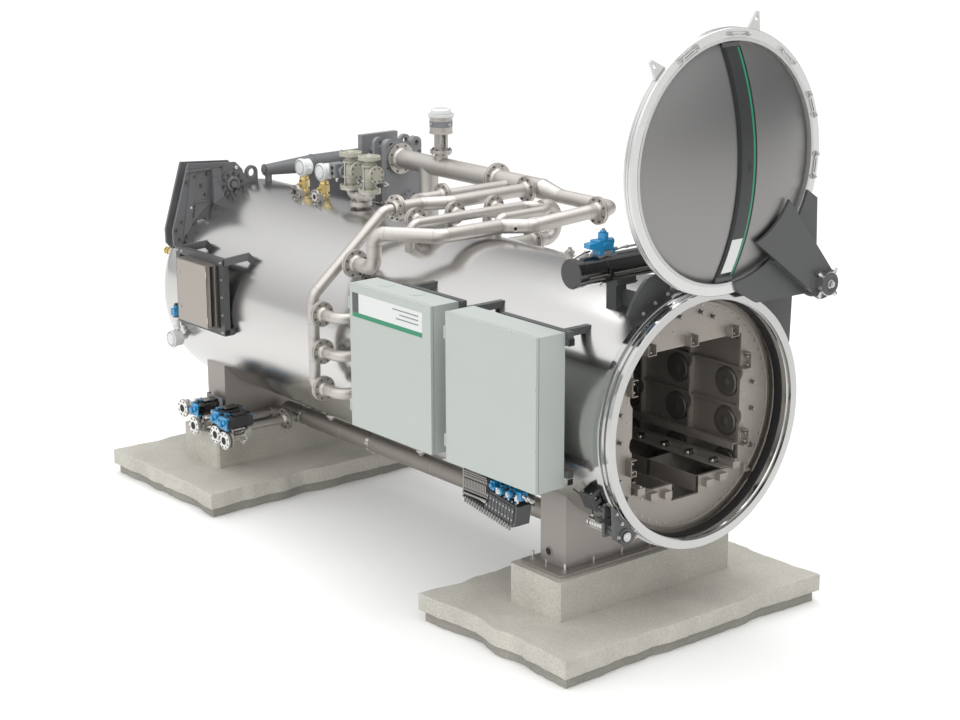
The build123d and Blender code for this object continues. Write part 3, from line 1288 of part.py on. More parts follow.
def instrument_head(x, y, z):
    """A round housing with a screwed cover, facing the near side."""
    half = TRANSMITTER_HEAD_LENGTH / 2
    head = rod_y(x, (y - half, y + half), z, TRANSMITTER_HEAD_RADIUS * 0.92)
    head += rod_y(x, (y - half, y - half + 26), z, TRANSMITTER_HEAD_RADIUS)
    head = chamfer(head.edges().group_by(Axis.Y)[0], 6)
    return head + rod_y(x, (y, y + half + 14), z, TRANSMITTER_HEAD_RADIUS * 0.7)


def transmitter_heads():
    return Compound(children=[instrument_head(x, 0, TRANSMITTER_HEAD_Z) for x in TRANSMITTER_XS])


def blind_nozzle(x):
    """A small flanged nozzle beside a transmitter, facing the near side."""
    z = AXIS_Z + math.sqrt(VESSEL_RADIUS ** 2 - BLIND_NOZZLE_Y ** 2) + BLIND_NOZZLE_RISE
    foot_y = BLIND_NOZZLE_Y / 2
    path = [(x, foot_y, AXIS_Z + BORE_RADIUS), (x, foot_y, z), (x, BLIND_NOZZLE_Y, z)]
    nozzle = pipe(path, BLIND_NOZZLE_RADIUS, BLIND_NOZZLE_RADIUS + 2)
    nozzle += rod_y(x, (BLIND_NOZZLE_Y, BLIND_NOZZLE_Y + 16), z, BLIND_FLANGE_RADIUS)
    return clear_of_vessel(nozzle)


def top_nozzles():
    """Two plugged nozzles near the mouth and two flanged ones beside the transmitters."""
    nozzles = [blind_nozzle(x + BLIND_NOZZLE_OFFSET) for x in TRANSMITTER_XS]
    for x in TOP_NOZZLE_XS:
        nozzle = rod_z(x, 0, (AXIS_Z + BORE_RADIUS, TOP_NOZZLE_Z), TOP_NOZZLE_RADIUS)
        hexagon = Plane((x, 0, TOP_NOZZLE_Z)) * RegularPolygon(TOP_NOZZLE_RADIUS * 1.25, 6)
        nozzles.append(clear_of_vessel(nozzle + extrude(hexagon, 22)))
    return Compound(children=nozzles)


# Rear machinery

def rear_plate(x):
    """A tall plate on the vessel's near shoulder, with a tail down its side and a slot."""
    plate = plate_x(Polyline(*REAR_PLATE_OUTLINE, close=True), x, REAR_PLATE_THICKNESS)
    through = REAR_PLATE_THICKNESS + 2
    slot = plate_x(Polyline(*REAR_PLATE_SLOT, close=True), x - 1, through)
    return plate - slot - rod_x((x - 1, x + through), *REAR_PLATE_HOLE, REAR_PLATE_HOLE_RADIUS)


def rear_arm_plates():
    """Two plates with a spacer between, a round boss and a lug on the vessel's top."""
    back, front = REAR_PLATE_XS
    body = rear_plate(back) + rear_plate(front)
    between = (back + front + REAR_PLATE_THICKNESS) / 2
    body += Pos(between, *REAR_SPACER) * Box(front - back, *REAR_SPACER_SIZE)
    body += block((back, front + REAR_BLOCK_REACH), REAR_BLOCK_Y, REAR_BLOCK_Z)
    body += rod_x((front, front + REAR_BOSS_LENGTH), *REAR_BOSS, REAR_BOSS_RADIUS)
    thick = (front, front + REAR_PLATE_THICKNESS)
    across = (REAR_LUG_Y - REAR_LUG_FOOT, REAR_LUG_Y + REAR_LUG_RADIUS)
    body += block(thick, across, (AXIS_Z + BORE_RADIUS, REAR_LUG_Z))
    body += rod_x(thick, REAR_LUG_Y, REAR_LUG_Z, REAR_LUG_RADIUS)
    body -= rod_x((front - 1, thick[1] + 1), REAR_LUG_Y, REAR_LUG_Z, REAR_LUG_HOLE)
    return body - rod_x((back - SEAT, FLANGE_BACK_X), 0, AXIS_Z, VESSEL_RADIUS + SEAT)


def rear_cross_tube():
    """A tapered tube across the vessel's top to a bracket on the far shoulder."""
    x = CROSS_TUBE_X
    profile = [
        (CROSS_TUBE_START_Y, 0),
        (CROSS_TUBE_START_Y, CROSS_TUBE_SMALL_RADIUS),
        (CROSS_TUBE_CONE_Y, CROSS_TUBE_RADIUS),
        (CROSS_TUBE_END_Y, CROSS_TUBE_RADIUS),
        (CROSS_TUBE_END_Y, 0),
    ]
    flat = Plane.XY * make_face(Polyline(*[(radius, y) for y, radius in profile], close=True))
    tube = Pos(x, 0, CROSS_TUBE_Z) * revolve(flat, Axis.Y)
    corners = [
        at_angle(BORE_RADIUS, 58, 0, AXIS_Z),
        (CROSS_TUBE_CONE_Y, CROSS_TUBE_Z),
        (CROSS_TUBE_END_Y - 60, CROSS_TUBE_Z),
        at_angle(BORE_RADIUS, 18, 0, AXIS_Z),
    ]
    plate = plate_x(Polyline(*corners, close=True), x - 12, 24)
    seat = rod_z(x, CROSS_TUBE_START_Y + 40, (AXIS_Z + BORE_RADIUS, CROSS_TUBE_Z), 30)
    return clear_of_vessel(tube + plate + seat)


def sample_valve():
    """A bronze valve that stands out of the rear head."""
    y = SAMPLE_VALVE_Y
    z = SAMPLE_VALVE_Z
    back = SAMPLE_VALVE_BACK_X
    body = rod_x((back, SHELL_BACK_X), y, z, SAMPLE_VALVE_RADIUS * 0.6)
    body += rod_x((back, back + 30), y, z, SAMPLE_VALVE_RADIUS)
    body += rod_x((back + 60, back + 130), y, z, SAMPLE_VALVE_RADIUS)
    return body - head_solid()


def head_solid():
    """The space inside and under the rear head, with its rest gap."""
    outside = dished_profile(
        SHELL_BACK_X - HEAD_RIM_LENGTH,
        VESSEL_RADIUS + SEAT,
        HEAD_CROWN_RADIUS + SEAT,
        HEAD_KNUCKLE_RADIUS + SEAT,
    )
    edges = outside + [
        Line(outside[1] @ 1, (SHELL_BACK_X, 0)),
        Line((SHELL_BACK_X, 0), (SHELL_BACK_X, VESSEL_RADIUS + SEAT)),
        Line((SHELL_BACK_X, VESSEL_RADIUS + SEAT), (SHELL_BACK_X - HEAD_RIM_LENGTH, VESSEL_RADIUS + SEAT)),
    ]
    profile = Plane.XZ * make_face(Curve() + edges)
    return Pos(0, 0, AXIS_Z) * revolve(profile, Axis.X)


def side_transmitter():
    """An instrument on the vessel's near side at the rear, on a pipe from the shell."""
    x = GAUGE_X
    neck = rod_y(x, (GAUGE_Y, -BORE_RADIUS * 0.8), GAUGE_Z, 22)
    neck += rod_z(x, GAUGE_Y + 20, (GAUGE_Z, GAUGE_Z + 190), 26)
    neck = clear_of_vessel(neck)
    return neck + instrument_head(x, GAUGE_Y, GAUGE_Z)


# Operator panel

def operator_panel():
    """A shallow box with a recessed side, on the front of its frame."""
    front = PANEL_FRONT_Y
    side = PANEL_X[1]
    box = block(PANEL_X, (front, front + PANEL_DEPTH - SEAT), PANEL_Z)
    recess = block((side - 12, side + 1), (front + 8, front + 67), (PANEL_Z[0] + 10, PANEL_Z[1] - 10))
    return box - recess


def panel_frame():
    """A square of tubes behind the panel, with arms that bend back to the vessel."""
    t = PANEL_TUBE
    x0, x1 = PANEL_FRAME_X
    z0, z1 = PANEL_FRAME_Z
    front = PANEL_FRONT_Y + PANEL_DEPTH
    ys = (front, front + t)
    body = block((x0, x1), ys, (z1 - t, z1)) + block((x0, x1), ys, (z0, z0 + t))
    for x in (x0, PANEL_X[1] - t, x1 - t):
        body += block((x, x + t), ys, (z0, z1))
    arms = (
        (x0 + t / 2, PANEL_ARM_XS[0], z1 - t / 2),
        (x1 - t / 2, PANEL_ARM_XS[1], z1 - t / 2),
    )
    for start_x, knee_x, z in arms:
        knee_z = z + PANEL_ARM_RISE
        path = Polyline(
            (start_x, front + t / 2, z),
            (knee_x, PANEL_ARM_KNEE_Y, knee_z),
            (knee_x, PANEL_ARM_KNEE_Y + 190, knee_z - 190),
        )
        section = Plane(path @ 0, z_dir=path % 0) * Rectangle(t, t)
        body += sweep(section, path=path, transition=Transition.RIGHT)
    for x in (x0, x1 - t):
        body += block((x, x + t), (front, -BORE_RADIUS * 0.8), (z0, z0 + t))
    return clear_of_vessel(body)


# Service valves in front of the rear leg

def service_valve(x, z, run_z):
    """A flanged valve on a short pipe that joins a run behind it."""
    y = SERVICE_FACE_Y
    path = [(x, y, z), (x, SERVICE_RUN_Y, z)]
    if abs(z - run_z) > 2 * SERVICE_PIPE_RADIUS:
        path.append((x, SERVICE_RUN_Y, run_z))
    body = pipe(path, SERVICE_PIPE_RADIUS, SERVICE_PIPE_RADIUS + 2)
    return body + rod_y(x, (y, y + 16), z, SERVICE_FLANGE_RADIUS)


def service_rear_run():
    """The rear pair of valves, on a run that turns back into the drain header's end."""
    y = SERVICE_RUN_Y
    z = SERVICE_UPPER_Z
    r = SERVICE_RUN_RADIUS
    run = [
        (SERVICE_VALVES[0][0] - r, y, z),
        (SERVICE_UPPER_X, y, z),
        (SERVICE_UPPER_X, DRAIN_Y, z),
        (DRAIN_BACK_X + r, DRAIN_Y, z),
    ]
    body = pipe(run, r, r + 2)
    collar_y = DRAIN_Y - SERVICE_PAIR_OFFSET
    body += disc((SERVICE_UPPER_X, collar_y, z), (0, 1, 0), r + 14, 2 * FLANGE_THICKNESS)
    for x, height in SERVICE_VALVES[:2]:
        body += service_valve(x, height, z)
    return body


def service_front_run():
    """The front pair of valves, on a run with a pipe back to the drain header."""
    y = SERVICE_RUN_Y
    z = SERVICE_LOWER_Z
    r = SERVICE_RUN_RADIUS
    body = rod_x((SERVICE_VALVES[2][0] - r, SERVICE_VALVES[3][0] + r), y, z, r)
    body += rod_y(SERVICE_LOWER_X, (y, DRAIN_Y), z, SERVICE_PIPE_RADIUS)
    body += flange_pair((SERVICE_LOWER_X, DRAIN_Y - SERVICE_PAIR_OFFSET, z), (0, 1, 0), r)
    for x, height in SERVICE_VALVES[2:]:
        body += service_valve(x, height, z)
        body += rod_y(x, (SERVICE_FACE_Y + 36, SERVICE_FACE_Y + 52), height, SERVICE_FLANGE_RADIUS)
    return body


def service_valves():
    drain = rod_x((DRAIN_BACK_X - SEAT, DRAIN_FRONT_X), DRAIN_Y, DRAIN_Z, DRAIN_RADIUS + SEAT)
    return Compound(children=[service_rear_run() - drain, service_front_run() - drain])


def service_actuators():
    """The motor housings that stand over the service valves."""
    y0 = SERVICE_FACE_Y + 20
    length = SERVICE_ACTUATOR_LENGTH
    r = SERVICE_ACTUATOR_RADIUS
    bodies = []
    for (x, z), (vx, vz) in zip(SERVICE_ACTUATORS, SERVICE_VALVES[1:]):
        body = block((x - r, x + r), (y0, y0 + length), (z - r, z + r))
        body = chamfer(body.edges().filter_by(Axis.Y), r * 0.42)
        body += rod_z((x + vx) / 2, y0 + 70, (vz, z), 18)
        body -= rod_y(vx, (y0 - 1, y0 + length + 1), vz, SERVICE_PIPE_RADIUS + SEAT)
        bodies.append(body)
    return Compound(children=bodies)


# Valve island

def valve_island():
    """A terminal block and a tilted bank of valves on a plate under the right cabinet."""
    front = ISLAND_FRONT_Y
    plate_y = CABINET_FRONT_Y + CABINET_DEPTH + SEAT
    back = plate_y + ISLAND_PLATE / 2
    hang = CABINET_BOTTOM_Z + CABINET_RAIL_RISE - FRAME_TUBE - SEAT
    left, right = ISLAND_BLOCK_X
    low, high = ISLAND_BLOCK_Z
    body = block(ISLAND_BLOCK_X, (front, back), ISLAND_BLOCK_Z)
    bank_x = right + ISLAND_BANK_LENGTH / 2 - 40
    bank_z = (low + high) / 2 - 100
    tilt = Rot(0, ISLAND_BANK_TILT, 0)
    bank = Box(ISLAND_BANK_LENGTH, back - front, ISLAND_BANK_HEIGHT)
    body += Pos(bank_x, (front + back) / 2, bank_z) * tilt * bank
    rail = Box(2 * ISLAND_BANK_LENGTH - 120, 36, 26)
    body += Pos(right - 20, front + 16, bank_z - ISLAND_BANK_HEIGHT / 2 + 18) * tilt * rail
    plate_x_span = (left + 40, right + ISLAND_BANK_LENGTH)
    body += block(plate_x_span, (plate_y, plate_y + ISLAND_PLATE), (low + 20, hang))
    for x in ISLAND_VALVE_XS:
        body += rod_y(x, (front - 4, back), high - 50, ISLAND_VALVE_RADIUS)
    return body


# Door lock

def door_lock():
    """A wedge plate on a pin, with its housing and cylinder on the vessel's near side."""
    x = LOCK_X
    plate = plate_x(Polyline(*LOCK_OUTLINE, close=True), x, LOCK_THICKNESS)
    plate -= rod_x((x - 1, x + LOCK_THICKNESS + 1), 0, AXIS_Z, FLANGE_COLLAR_RADIUS + SEAT)
    pin = rod_x(
        (LOCK_HOUSING_X[1], x + LOCK_THICKNESS + 22), LOCK_PIN_Y, LOCK_PIN_Z, LOCK_PIN_RADIUS
    )
    back, front = LOCK_HOUSING_X
    y, z = at_angle(VESSEL_RADIUS + 10, LOCK_HOUSING_ANGLE, 0, AXIS_Z)
    tilt = LOCK_HOUSING_ANGLE - 180
    housing = Pos((back + front) / 2, y, z) * Rot(tilt, 0, 0) * Box(front - back, 190, 130)
    arm_y = (LOCK_PIN_Y - 50, LOCK_PIN_Y + 140)
    arm = block((front - 24, front), arm_y, (LOCK_PIN_Z - 40, z))
    cylinder_y = LOCK_PIN_Y + 12
    cylinder_z = LOCK_PIN_Z + 12
    cylinder = rod_x((LOCK_CYLINDER_X, front + 40), cylinder_y, cylinder_z, LOCK_CYLINDER_RADIUS)
    foot = block(LOCK_HOUSING_X, (LOCK_PIN_Y - 20, LOCK_FOOT_Y), (LOCK_PIN_Z, LOCK_PIN_Z + 60))
    body = plate + pin + housing + arm + cylinder + foot
    body -= rod_x((LOCK_CYLINDER_X - 50, FLANGE_BACK_X - SEAT), 0, AXIS_Z, VESSEL_RADIUS + SEAT)
    collar = (FLANGE_BACK_X - SEAT, FLANGE_FACE_X + 60)
    return body - rod_x(collar, 0, AXIS_Z, FLANGE_COLLAR_RADIUS + SEAT)


PARTS = {
    "front_foundation_slab": lambda: foundation_slab(0),
    "rear_foundation_slab": lambda: foundation_slab(REAR_X),
    "front_plinth": lambda: plinth(0),
    "rear_plinth": lambda: plinth(REAR_X),
    "front_base_plate": lambda: base_plate(0),
    "rear_base_plate": lambda: base_plate(REAR_X),
    "front_saddle_leg": lambda: saddle_leg(0),
    "rear_saddle_leg": lambda: saddle_leg(REAR_X),
    "vessel_shell": vessel_shell,
    "rear_head": rear_head,
    "mouth_flange": mouth_flange,
    "bulkhead": bulkhead,
    "inner_frames": inner_frames,
    "basket_rails": basket_rails,
    "rail_rollers": rail_rollers,
    "guide_blocks": guide_blocks,
    "side_panels": side_panels,
    "door_ring": door_ring,
    "door_dome": door_dome,
    "door_band": door_band,
    "door_clips": door_clips,
    "lifting_lugs": lifting_lugs,
    "door_arm": door_arm,
    "pivot_shaft": pivot_shaft,
    "pivot_bracket": pivot_bracket,
    "drive_cylinder": drive_cylinder,
    "cylinder_post": cylinder_post,
    "cylinder_valve": cylinder_valve,
    "flange_bracket": flange_bracket,
    "left_cabinet_body": lambda: cabinet_body(CABINET_LEFT_X),
    "right_cabinet_body": lambda: cabinet_body(CABINET_RIGHT_X),
    "left_cabinet_door": lambda: cabinet_door(CABINET_LEFT_X),
    "right_cabinet_door": lambda: cabinet_door(CABINET_RIGHT_X),
    "cabinet_frame": cabinet_frame,
    "pipe_header": pipe_header,
    "crossover_pipe": crossover_pipe,
    "riser_pipe": riser_pipe,
    "return_pipe": return_pipe,
    "drain_header": drain_header,
    "exchanger_frame": exchanger_frame,
    "exchanger_plates": exchanger_plates,
    "exchanger_stand": exchanger_stand,
    "control_valve": control_valve,
    "control_valve_cap": control_valve_cap,
    "relief_nozzle": relief_nozzle,
    "relief_valves": relief_valves,
    "switch_box": switch_box,
    "transmitter_bodies": transmitter_bodies,
    "transmitter_heads": transmitter_heads,
    "top_nozzles": top_nozzles,
    "rear_arm_plates": rear_arm_plates,
    "rear_cross_tube": rear_cross_tube,
    "sample_valve": sample_valve,
    "side_transmitter": side_transmitter,
    "operator_panel": operator_panel,
    "panel_frame": panel_frame,
    "service_valves": service_valves,
    "service_actuators": service_actuators,
    "valve_island": valve_island,
    "door_lock": door_lock,
}

os.makedirs("parts", exist_ok=True)
for name, make in PARTS.items():
    export_step(make(), f"parts/{name}.step")
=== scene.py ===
"""Retort sterilizer: its finishes and small fittings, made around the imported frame."""
import json
import math

import bmesh
import bpy
from mathutils import Matrix, Vector, noise


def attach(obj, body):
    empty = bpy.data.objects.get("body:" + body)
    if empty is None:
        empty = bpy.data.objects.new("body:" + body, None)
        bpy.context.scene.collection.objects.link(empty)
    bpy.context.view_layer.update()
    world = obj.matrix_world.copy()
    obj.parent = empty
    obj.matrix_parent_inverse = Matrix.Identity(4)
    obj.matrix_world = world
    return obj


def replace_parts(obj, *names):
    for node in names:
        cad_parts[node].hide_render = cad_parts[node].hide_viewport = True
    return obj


bl_info = {
    "name": "Retort sterilizer",
    "version": (1, 0, 0),
    "blender": (4, 5, 0),
    "location": "View3D > Sidebar > Retort",
    "description": "Finishes and fittings of a horizontal retort with a swinging door",
    "category": "Object",
}

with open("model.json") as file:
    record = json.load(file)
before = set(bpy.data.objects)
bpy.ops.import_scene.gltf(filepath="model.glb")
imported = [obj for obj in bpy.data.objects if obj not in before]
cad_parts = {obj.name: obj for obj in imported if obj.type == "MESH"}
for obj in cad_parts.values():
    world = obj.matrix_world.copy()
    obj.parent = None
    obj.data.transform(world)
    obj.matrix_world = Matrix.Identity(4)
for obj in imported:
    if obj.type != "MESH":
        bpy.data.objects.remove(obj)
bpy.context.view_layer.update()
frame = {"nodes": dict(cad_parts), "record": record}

MM = 0.001
X = Vector((1, 0, 0))
Y = Vector((0, 1, 0))
Z = Vector((0, 0, 1))
SIDES = (-1, 1)

# Places of the frame that many pieces share, in millimetres
AXIS_Z = 1650
DOOR_Y = 45
DOOR_Z = 3435
DOOR_FACE_X = 903
DOOR_BACK_X = 838
BULKHEAD_X = 625
CABINET_FRONT_Y = -1206
CABINET_LEFT_X = -1656
CABINET_RIGHT_X = -534
CABINET_WIDTH = 958
CABINET_Z = (1276, 2358)


# Colour and node helpers

def linear(hex_value):
    """An sRGB hex value as a linear colour with full alpha."""
    channels = [int(hex_value[i:i + 2], 16) / 255 for i in (0, 2, 4)]
    curve = [c / 12.92 if c <= 0.04045 else ((c + 0.055) / 1.055) ** 2.4 for c in channels]
    return (*curve, 1.0)


def toned(colour, share):
    """The colour made darker or lighter by a share."""
    return [min(1, c * share) for c in colour[:3]] + [1]


def add(tree, kind, settings=None, feeds=None):
    """A node with its settings, which are attributes or input values, and the sockets that feed it."""
    made = tree.nodes.new(kind)
    for key, value in (settings or {}).items():
        if isinstance(key, int) or key in made.inputs:
            made.inputs[key].default_value = value
        else:
            setattr(made, key, value)
    for key, socket in (feeds or {}).items():
        tree.links.new(socket, made.inputs[key])
    return made


def colour_property(label, words, hex_value):
    return bpy.props.FloatVectorProperty(
        name=label, description=words, subtype="COLOR", size=4, min=0, max=1, default=linear(hex_value)
    )


def length_property(label, words, millimetres):
    return bpy.props.FloatProperty(
        name=label, description=words, subtype="DISTANCE", unit="LENGTH", default=millimetres * MM
    )


class RetortColours(bpy.types.PropertyGroup):
    cladding: colour_property("Cladding", "Polished stainless sheet on the vessel", "C9C8C6")
    machined: colour_property("Machined steel", "Mouth flange and door ring", "BDBDBC")
    pipe: colour_property("Pipe", "Pickled stainless pipe", "BEBAB5")
    carriage: colour_property("Carriage", "Blasted stainless inside the vessel", "9F9992")
    leg: colour_property("Leg", "Brushed stainless of the saddle legs", "9B9691")
    dome: colour_property("Dome", "Satin stainless of the door's dome", "8E8D8C")
    dark_paint: colour_property("Dark paint", "Arm, brackets and frames", "494A4B")
    grey_paint: colour_property("Grey paint", "Exchanger and stand", "7A7B7D")
    black_paint: colour_property("Black paint", "Drive cylinder", "121213")
    cabinet: colour_property("Cabinet", "Powder coat of the cabinets", "AAB0AB")
    blue: colour_property("Blue", "Enamelled valve parts", "1C82B4")
    green: colour_property("Green", "Line on the door's band and on the label", "1F7F5C")
    brass: colour_property("Brass", "Turned instrument bodies", "D8C48C")
    enamel: colour_property("White enamel", "Instrument housings", "CDCFCE")
    valve: colour_property("Valve paint", "Relief valves", "A5A496")
    concrete: colour_property("Concrete", "Foundations", "CFCCC2")


class RetortSizes(bpy.types.PropertyGroup):
    bolt_radius: length_property("Bolt head", "Across the corners of a flange bolt, half", 13)
    bolt_height: length_property("Bolt height", "Height of a flange bolt's head", 10)
    screw_radius: length_property("Screw head", "Half the width of a panel screw", 7)
    bead_height: length_property("Weld bead", "How far a pipe weld stands out", 1.3)
    dish_radius: length_property("Dish", "Radius of a pressed dish in the side panels", 112)
    edge_break: length_property("Broken edge", "How far the slab's edge breaks inwards", 42)


def colours():
    """The colours that the panel shows."""
    return bpy.context.scene.retort_colours


def sizes():
    """The sizes that the panel shows."""
    return bpy.context.scene.retort_sizes


# Materials

def surface(name, colour, metallic, roughness, **extra):
    """A material with a principled shader, its tree and its shader, ready for detail nodes."""
    material = bpy.data.materials.new(name)
    material.use_nodes = True
    tree = material.node_tree
    shader = tree.nodes["Principled BSDF"]
    shader.inputs["Base Color"].default_value = colour
    shader.inputs["Metallic"].default_value = metallic
    shader.inputs["Roughness"].default_value = roughness
    for key, value in extra.items():
        shader.inputs[key.replace("_", " ")].default_value = value
    return material, tree, shader


def object_space(tree, scale):
    """Object coordinates stretched on each axis, from pattern sizes in millimetres."""
    place = add(tree, "ShaderNodeTexCoord")
    factor = tuple(1 / (size * MM) for size in scale)
    return add(tree, "ShaderNodeMapping", {"Scale": factor}, {"Vector": place.outputs["Object"]})


def vary(tree, shader, colour, pattern, low, high, roughness):
    """Colour and roughness that wander between two bounds with a pattern."""
    shade = add(
        tree, "ShaderNodeMix",
        {"data_type": "RGBA", 6: toned(colour, low), 7: toned(colour, high)},
        {0: pattern},
    )
    tree.links.new(shade.outputs[2], shader.inputs["Base Color"])
    rough = add(
        tree, "ShaderNodeMapRange", {"To Min": roughness[0], "To Max": roughness[1]}, {"Value": pattern}
    )
    tree.links.new(rough.outputs["Result"], shader.inputs["Roughness"])


def emboss(tree, shader, height, strength, distance):
    """Relief of a height in millimetres on the shader's normal."""
    relief = add(
        tree, "ShaderNodeBump", {"Strength": strength, "Distance": distance * MM}, {"Height": height}
    )
    tree.links.new(relief.outputs["Normal"], shader.inputs["Normal"])


def brushed(name, colour, roughness, grain, spread=0.06, tone=0.06, relief=0.05, metallic=1.0):
    """Steel with a grain, given as the pattern's size along each axis in millimetres.

    Real brush and turning marks are a few tenths wide and are drawn as coarse as they need to show.
    """
    material, tree, shader = surface(name, colour, metallic, roughness)
    place = object_space(tree, grain)
    pattern = add(
        tree, "ShaderNodeTexNoise", {"Scale": 1.0, "Detail": 4.0}, {"Vector": place.outputs[0]}
    )
    value = pattern.outputs["Fac"]
    vary(tree, shader, colour, value, 1 - tone, 1 + tone, (roughness - spread, roughness + spread))
    emboss(tree, shader, value, relief, 0.4)
    return material


def painted(name, colour, roughness, peel=2.2, relief=0.12, tone=0.05, coat=0.0):
    """Sprayed paint: an orange peel of about two millimetres and a slow change of tone."""
    material, tree, shader = surface(name, colour, 0.0, roughness, Coat_Weight=coat)
    slow = add(
        tree, "ShaderNodeTexNoise", {"Scale": 1.0, "Detail": 2.0},
        {"Vector": object_space(tree, (260, 260, 260)).outputs[0]},
    )
    fine = add(
        tree, "ShaderNodeTexNoise", {"Scale": 1.0, "Detail": 2.0},
        {"Vector": object_space(tree, (peel, peel, peel)).outputs[0]},
    )
    gloss = (roughness - 0.04, roughness + 0.04)
    vary(tree, shader, colour, slow.outputs["Fac"], 1 - tone, 1 + tone, gloss)
    emboss(tree, shader, fine.outputs["Fac"], relief, 0.5)
    return material


def concrete(name, tone_down=1.0):
    """Cast concrete: slow patches and grit of about 4 mm, drawn three times as coarse to show."""
    # tone_down darkens the whole colour, as painted shade for a course that lies in shadow
    colour = toned(colours().concrete, tone_down)
    material, tree, shader = surface(name, colour, 0.0, 0.9)
    patches = add(
        tree, "ShaderNodeTexNoise", {"Scale": 1.0, "Detail": 5.0},
        {"Vector": object_space(tree, (320, 320, 320)).outputs[0]},
    )
    grit = add(
        tree, "ShaderNodeTexNoise", {"Scale": 1.0, "Detail": 6.0, "Roughness": 0.75},
        {"Vector": object_space(tree, (14, 14, 14)).outputs[0]},
    )
    speck = add(tree, "ShaderNodeValToRGB", {}, {"Fac": grit.outputs["Fac"]})
    ramp = speck.color_ramp
    for stop, position, share in zip(ramp.elements, (0.34, 0.62), (0.74, 1.05)):
        stop.position, stop.color = position, toned(colour, share)
    tone = add(
        tree, "ShaderNodeMix", {"data_type": "RGBA", "blend_type": "MULTIPLY", 0: 0.35},
        {6: speck.outputs["Color"], 7: patches.outputs["Fac"]},
    )
    tree.links.new(tone.outputs[2], shader.inputs["Base Color"])
    emboss(tree, shader, grit.outputs["Fac"], 0.35, 3.0)
    return material


def cladding():
    """Mirror-polished stainless sheet: faint polishing haze round the vessel and slow waves."""
    colour = tuple(colours().cladding)
    material, tree, shader = surface("polished_cladding", colour, 1.0, 0.14)
    haze = add(
        tree, "ShaderNodeTexNoise", {"Scale": 1.0, "Detail": 3.0},
        {"Vector": object_space(tree, (3, 220, 220)).outputs[0]},
    )
    vary(tree, shader, colour, haze.outputs["Fac"], 0.97, 1.03, (0.16, 0.25))
    wave = add(
        tree, "ShaderNodeTexNoise", {"Scale": 1.0, "Detail": 1.0},
        {"Vector": object_space(tree, (520, 700, 700)).outputs[0]},
    )
    emboss(tree, shader, wave.outputs["Fac"], 0.10, 18.0)
    return material


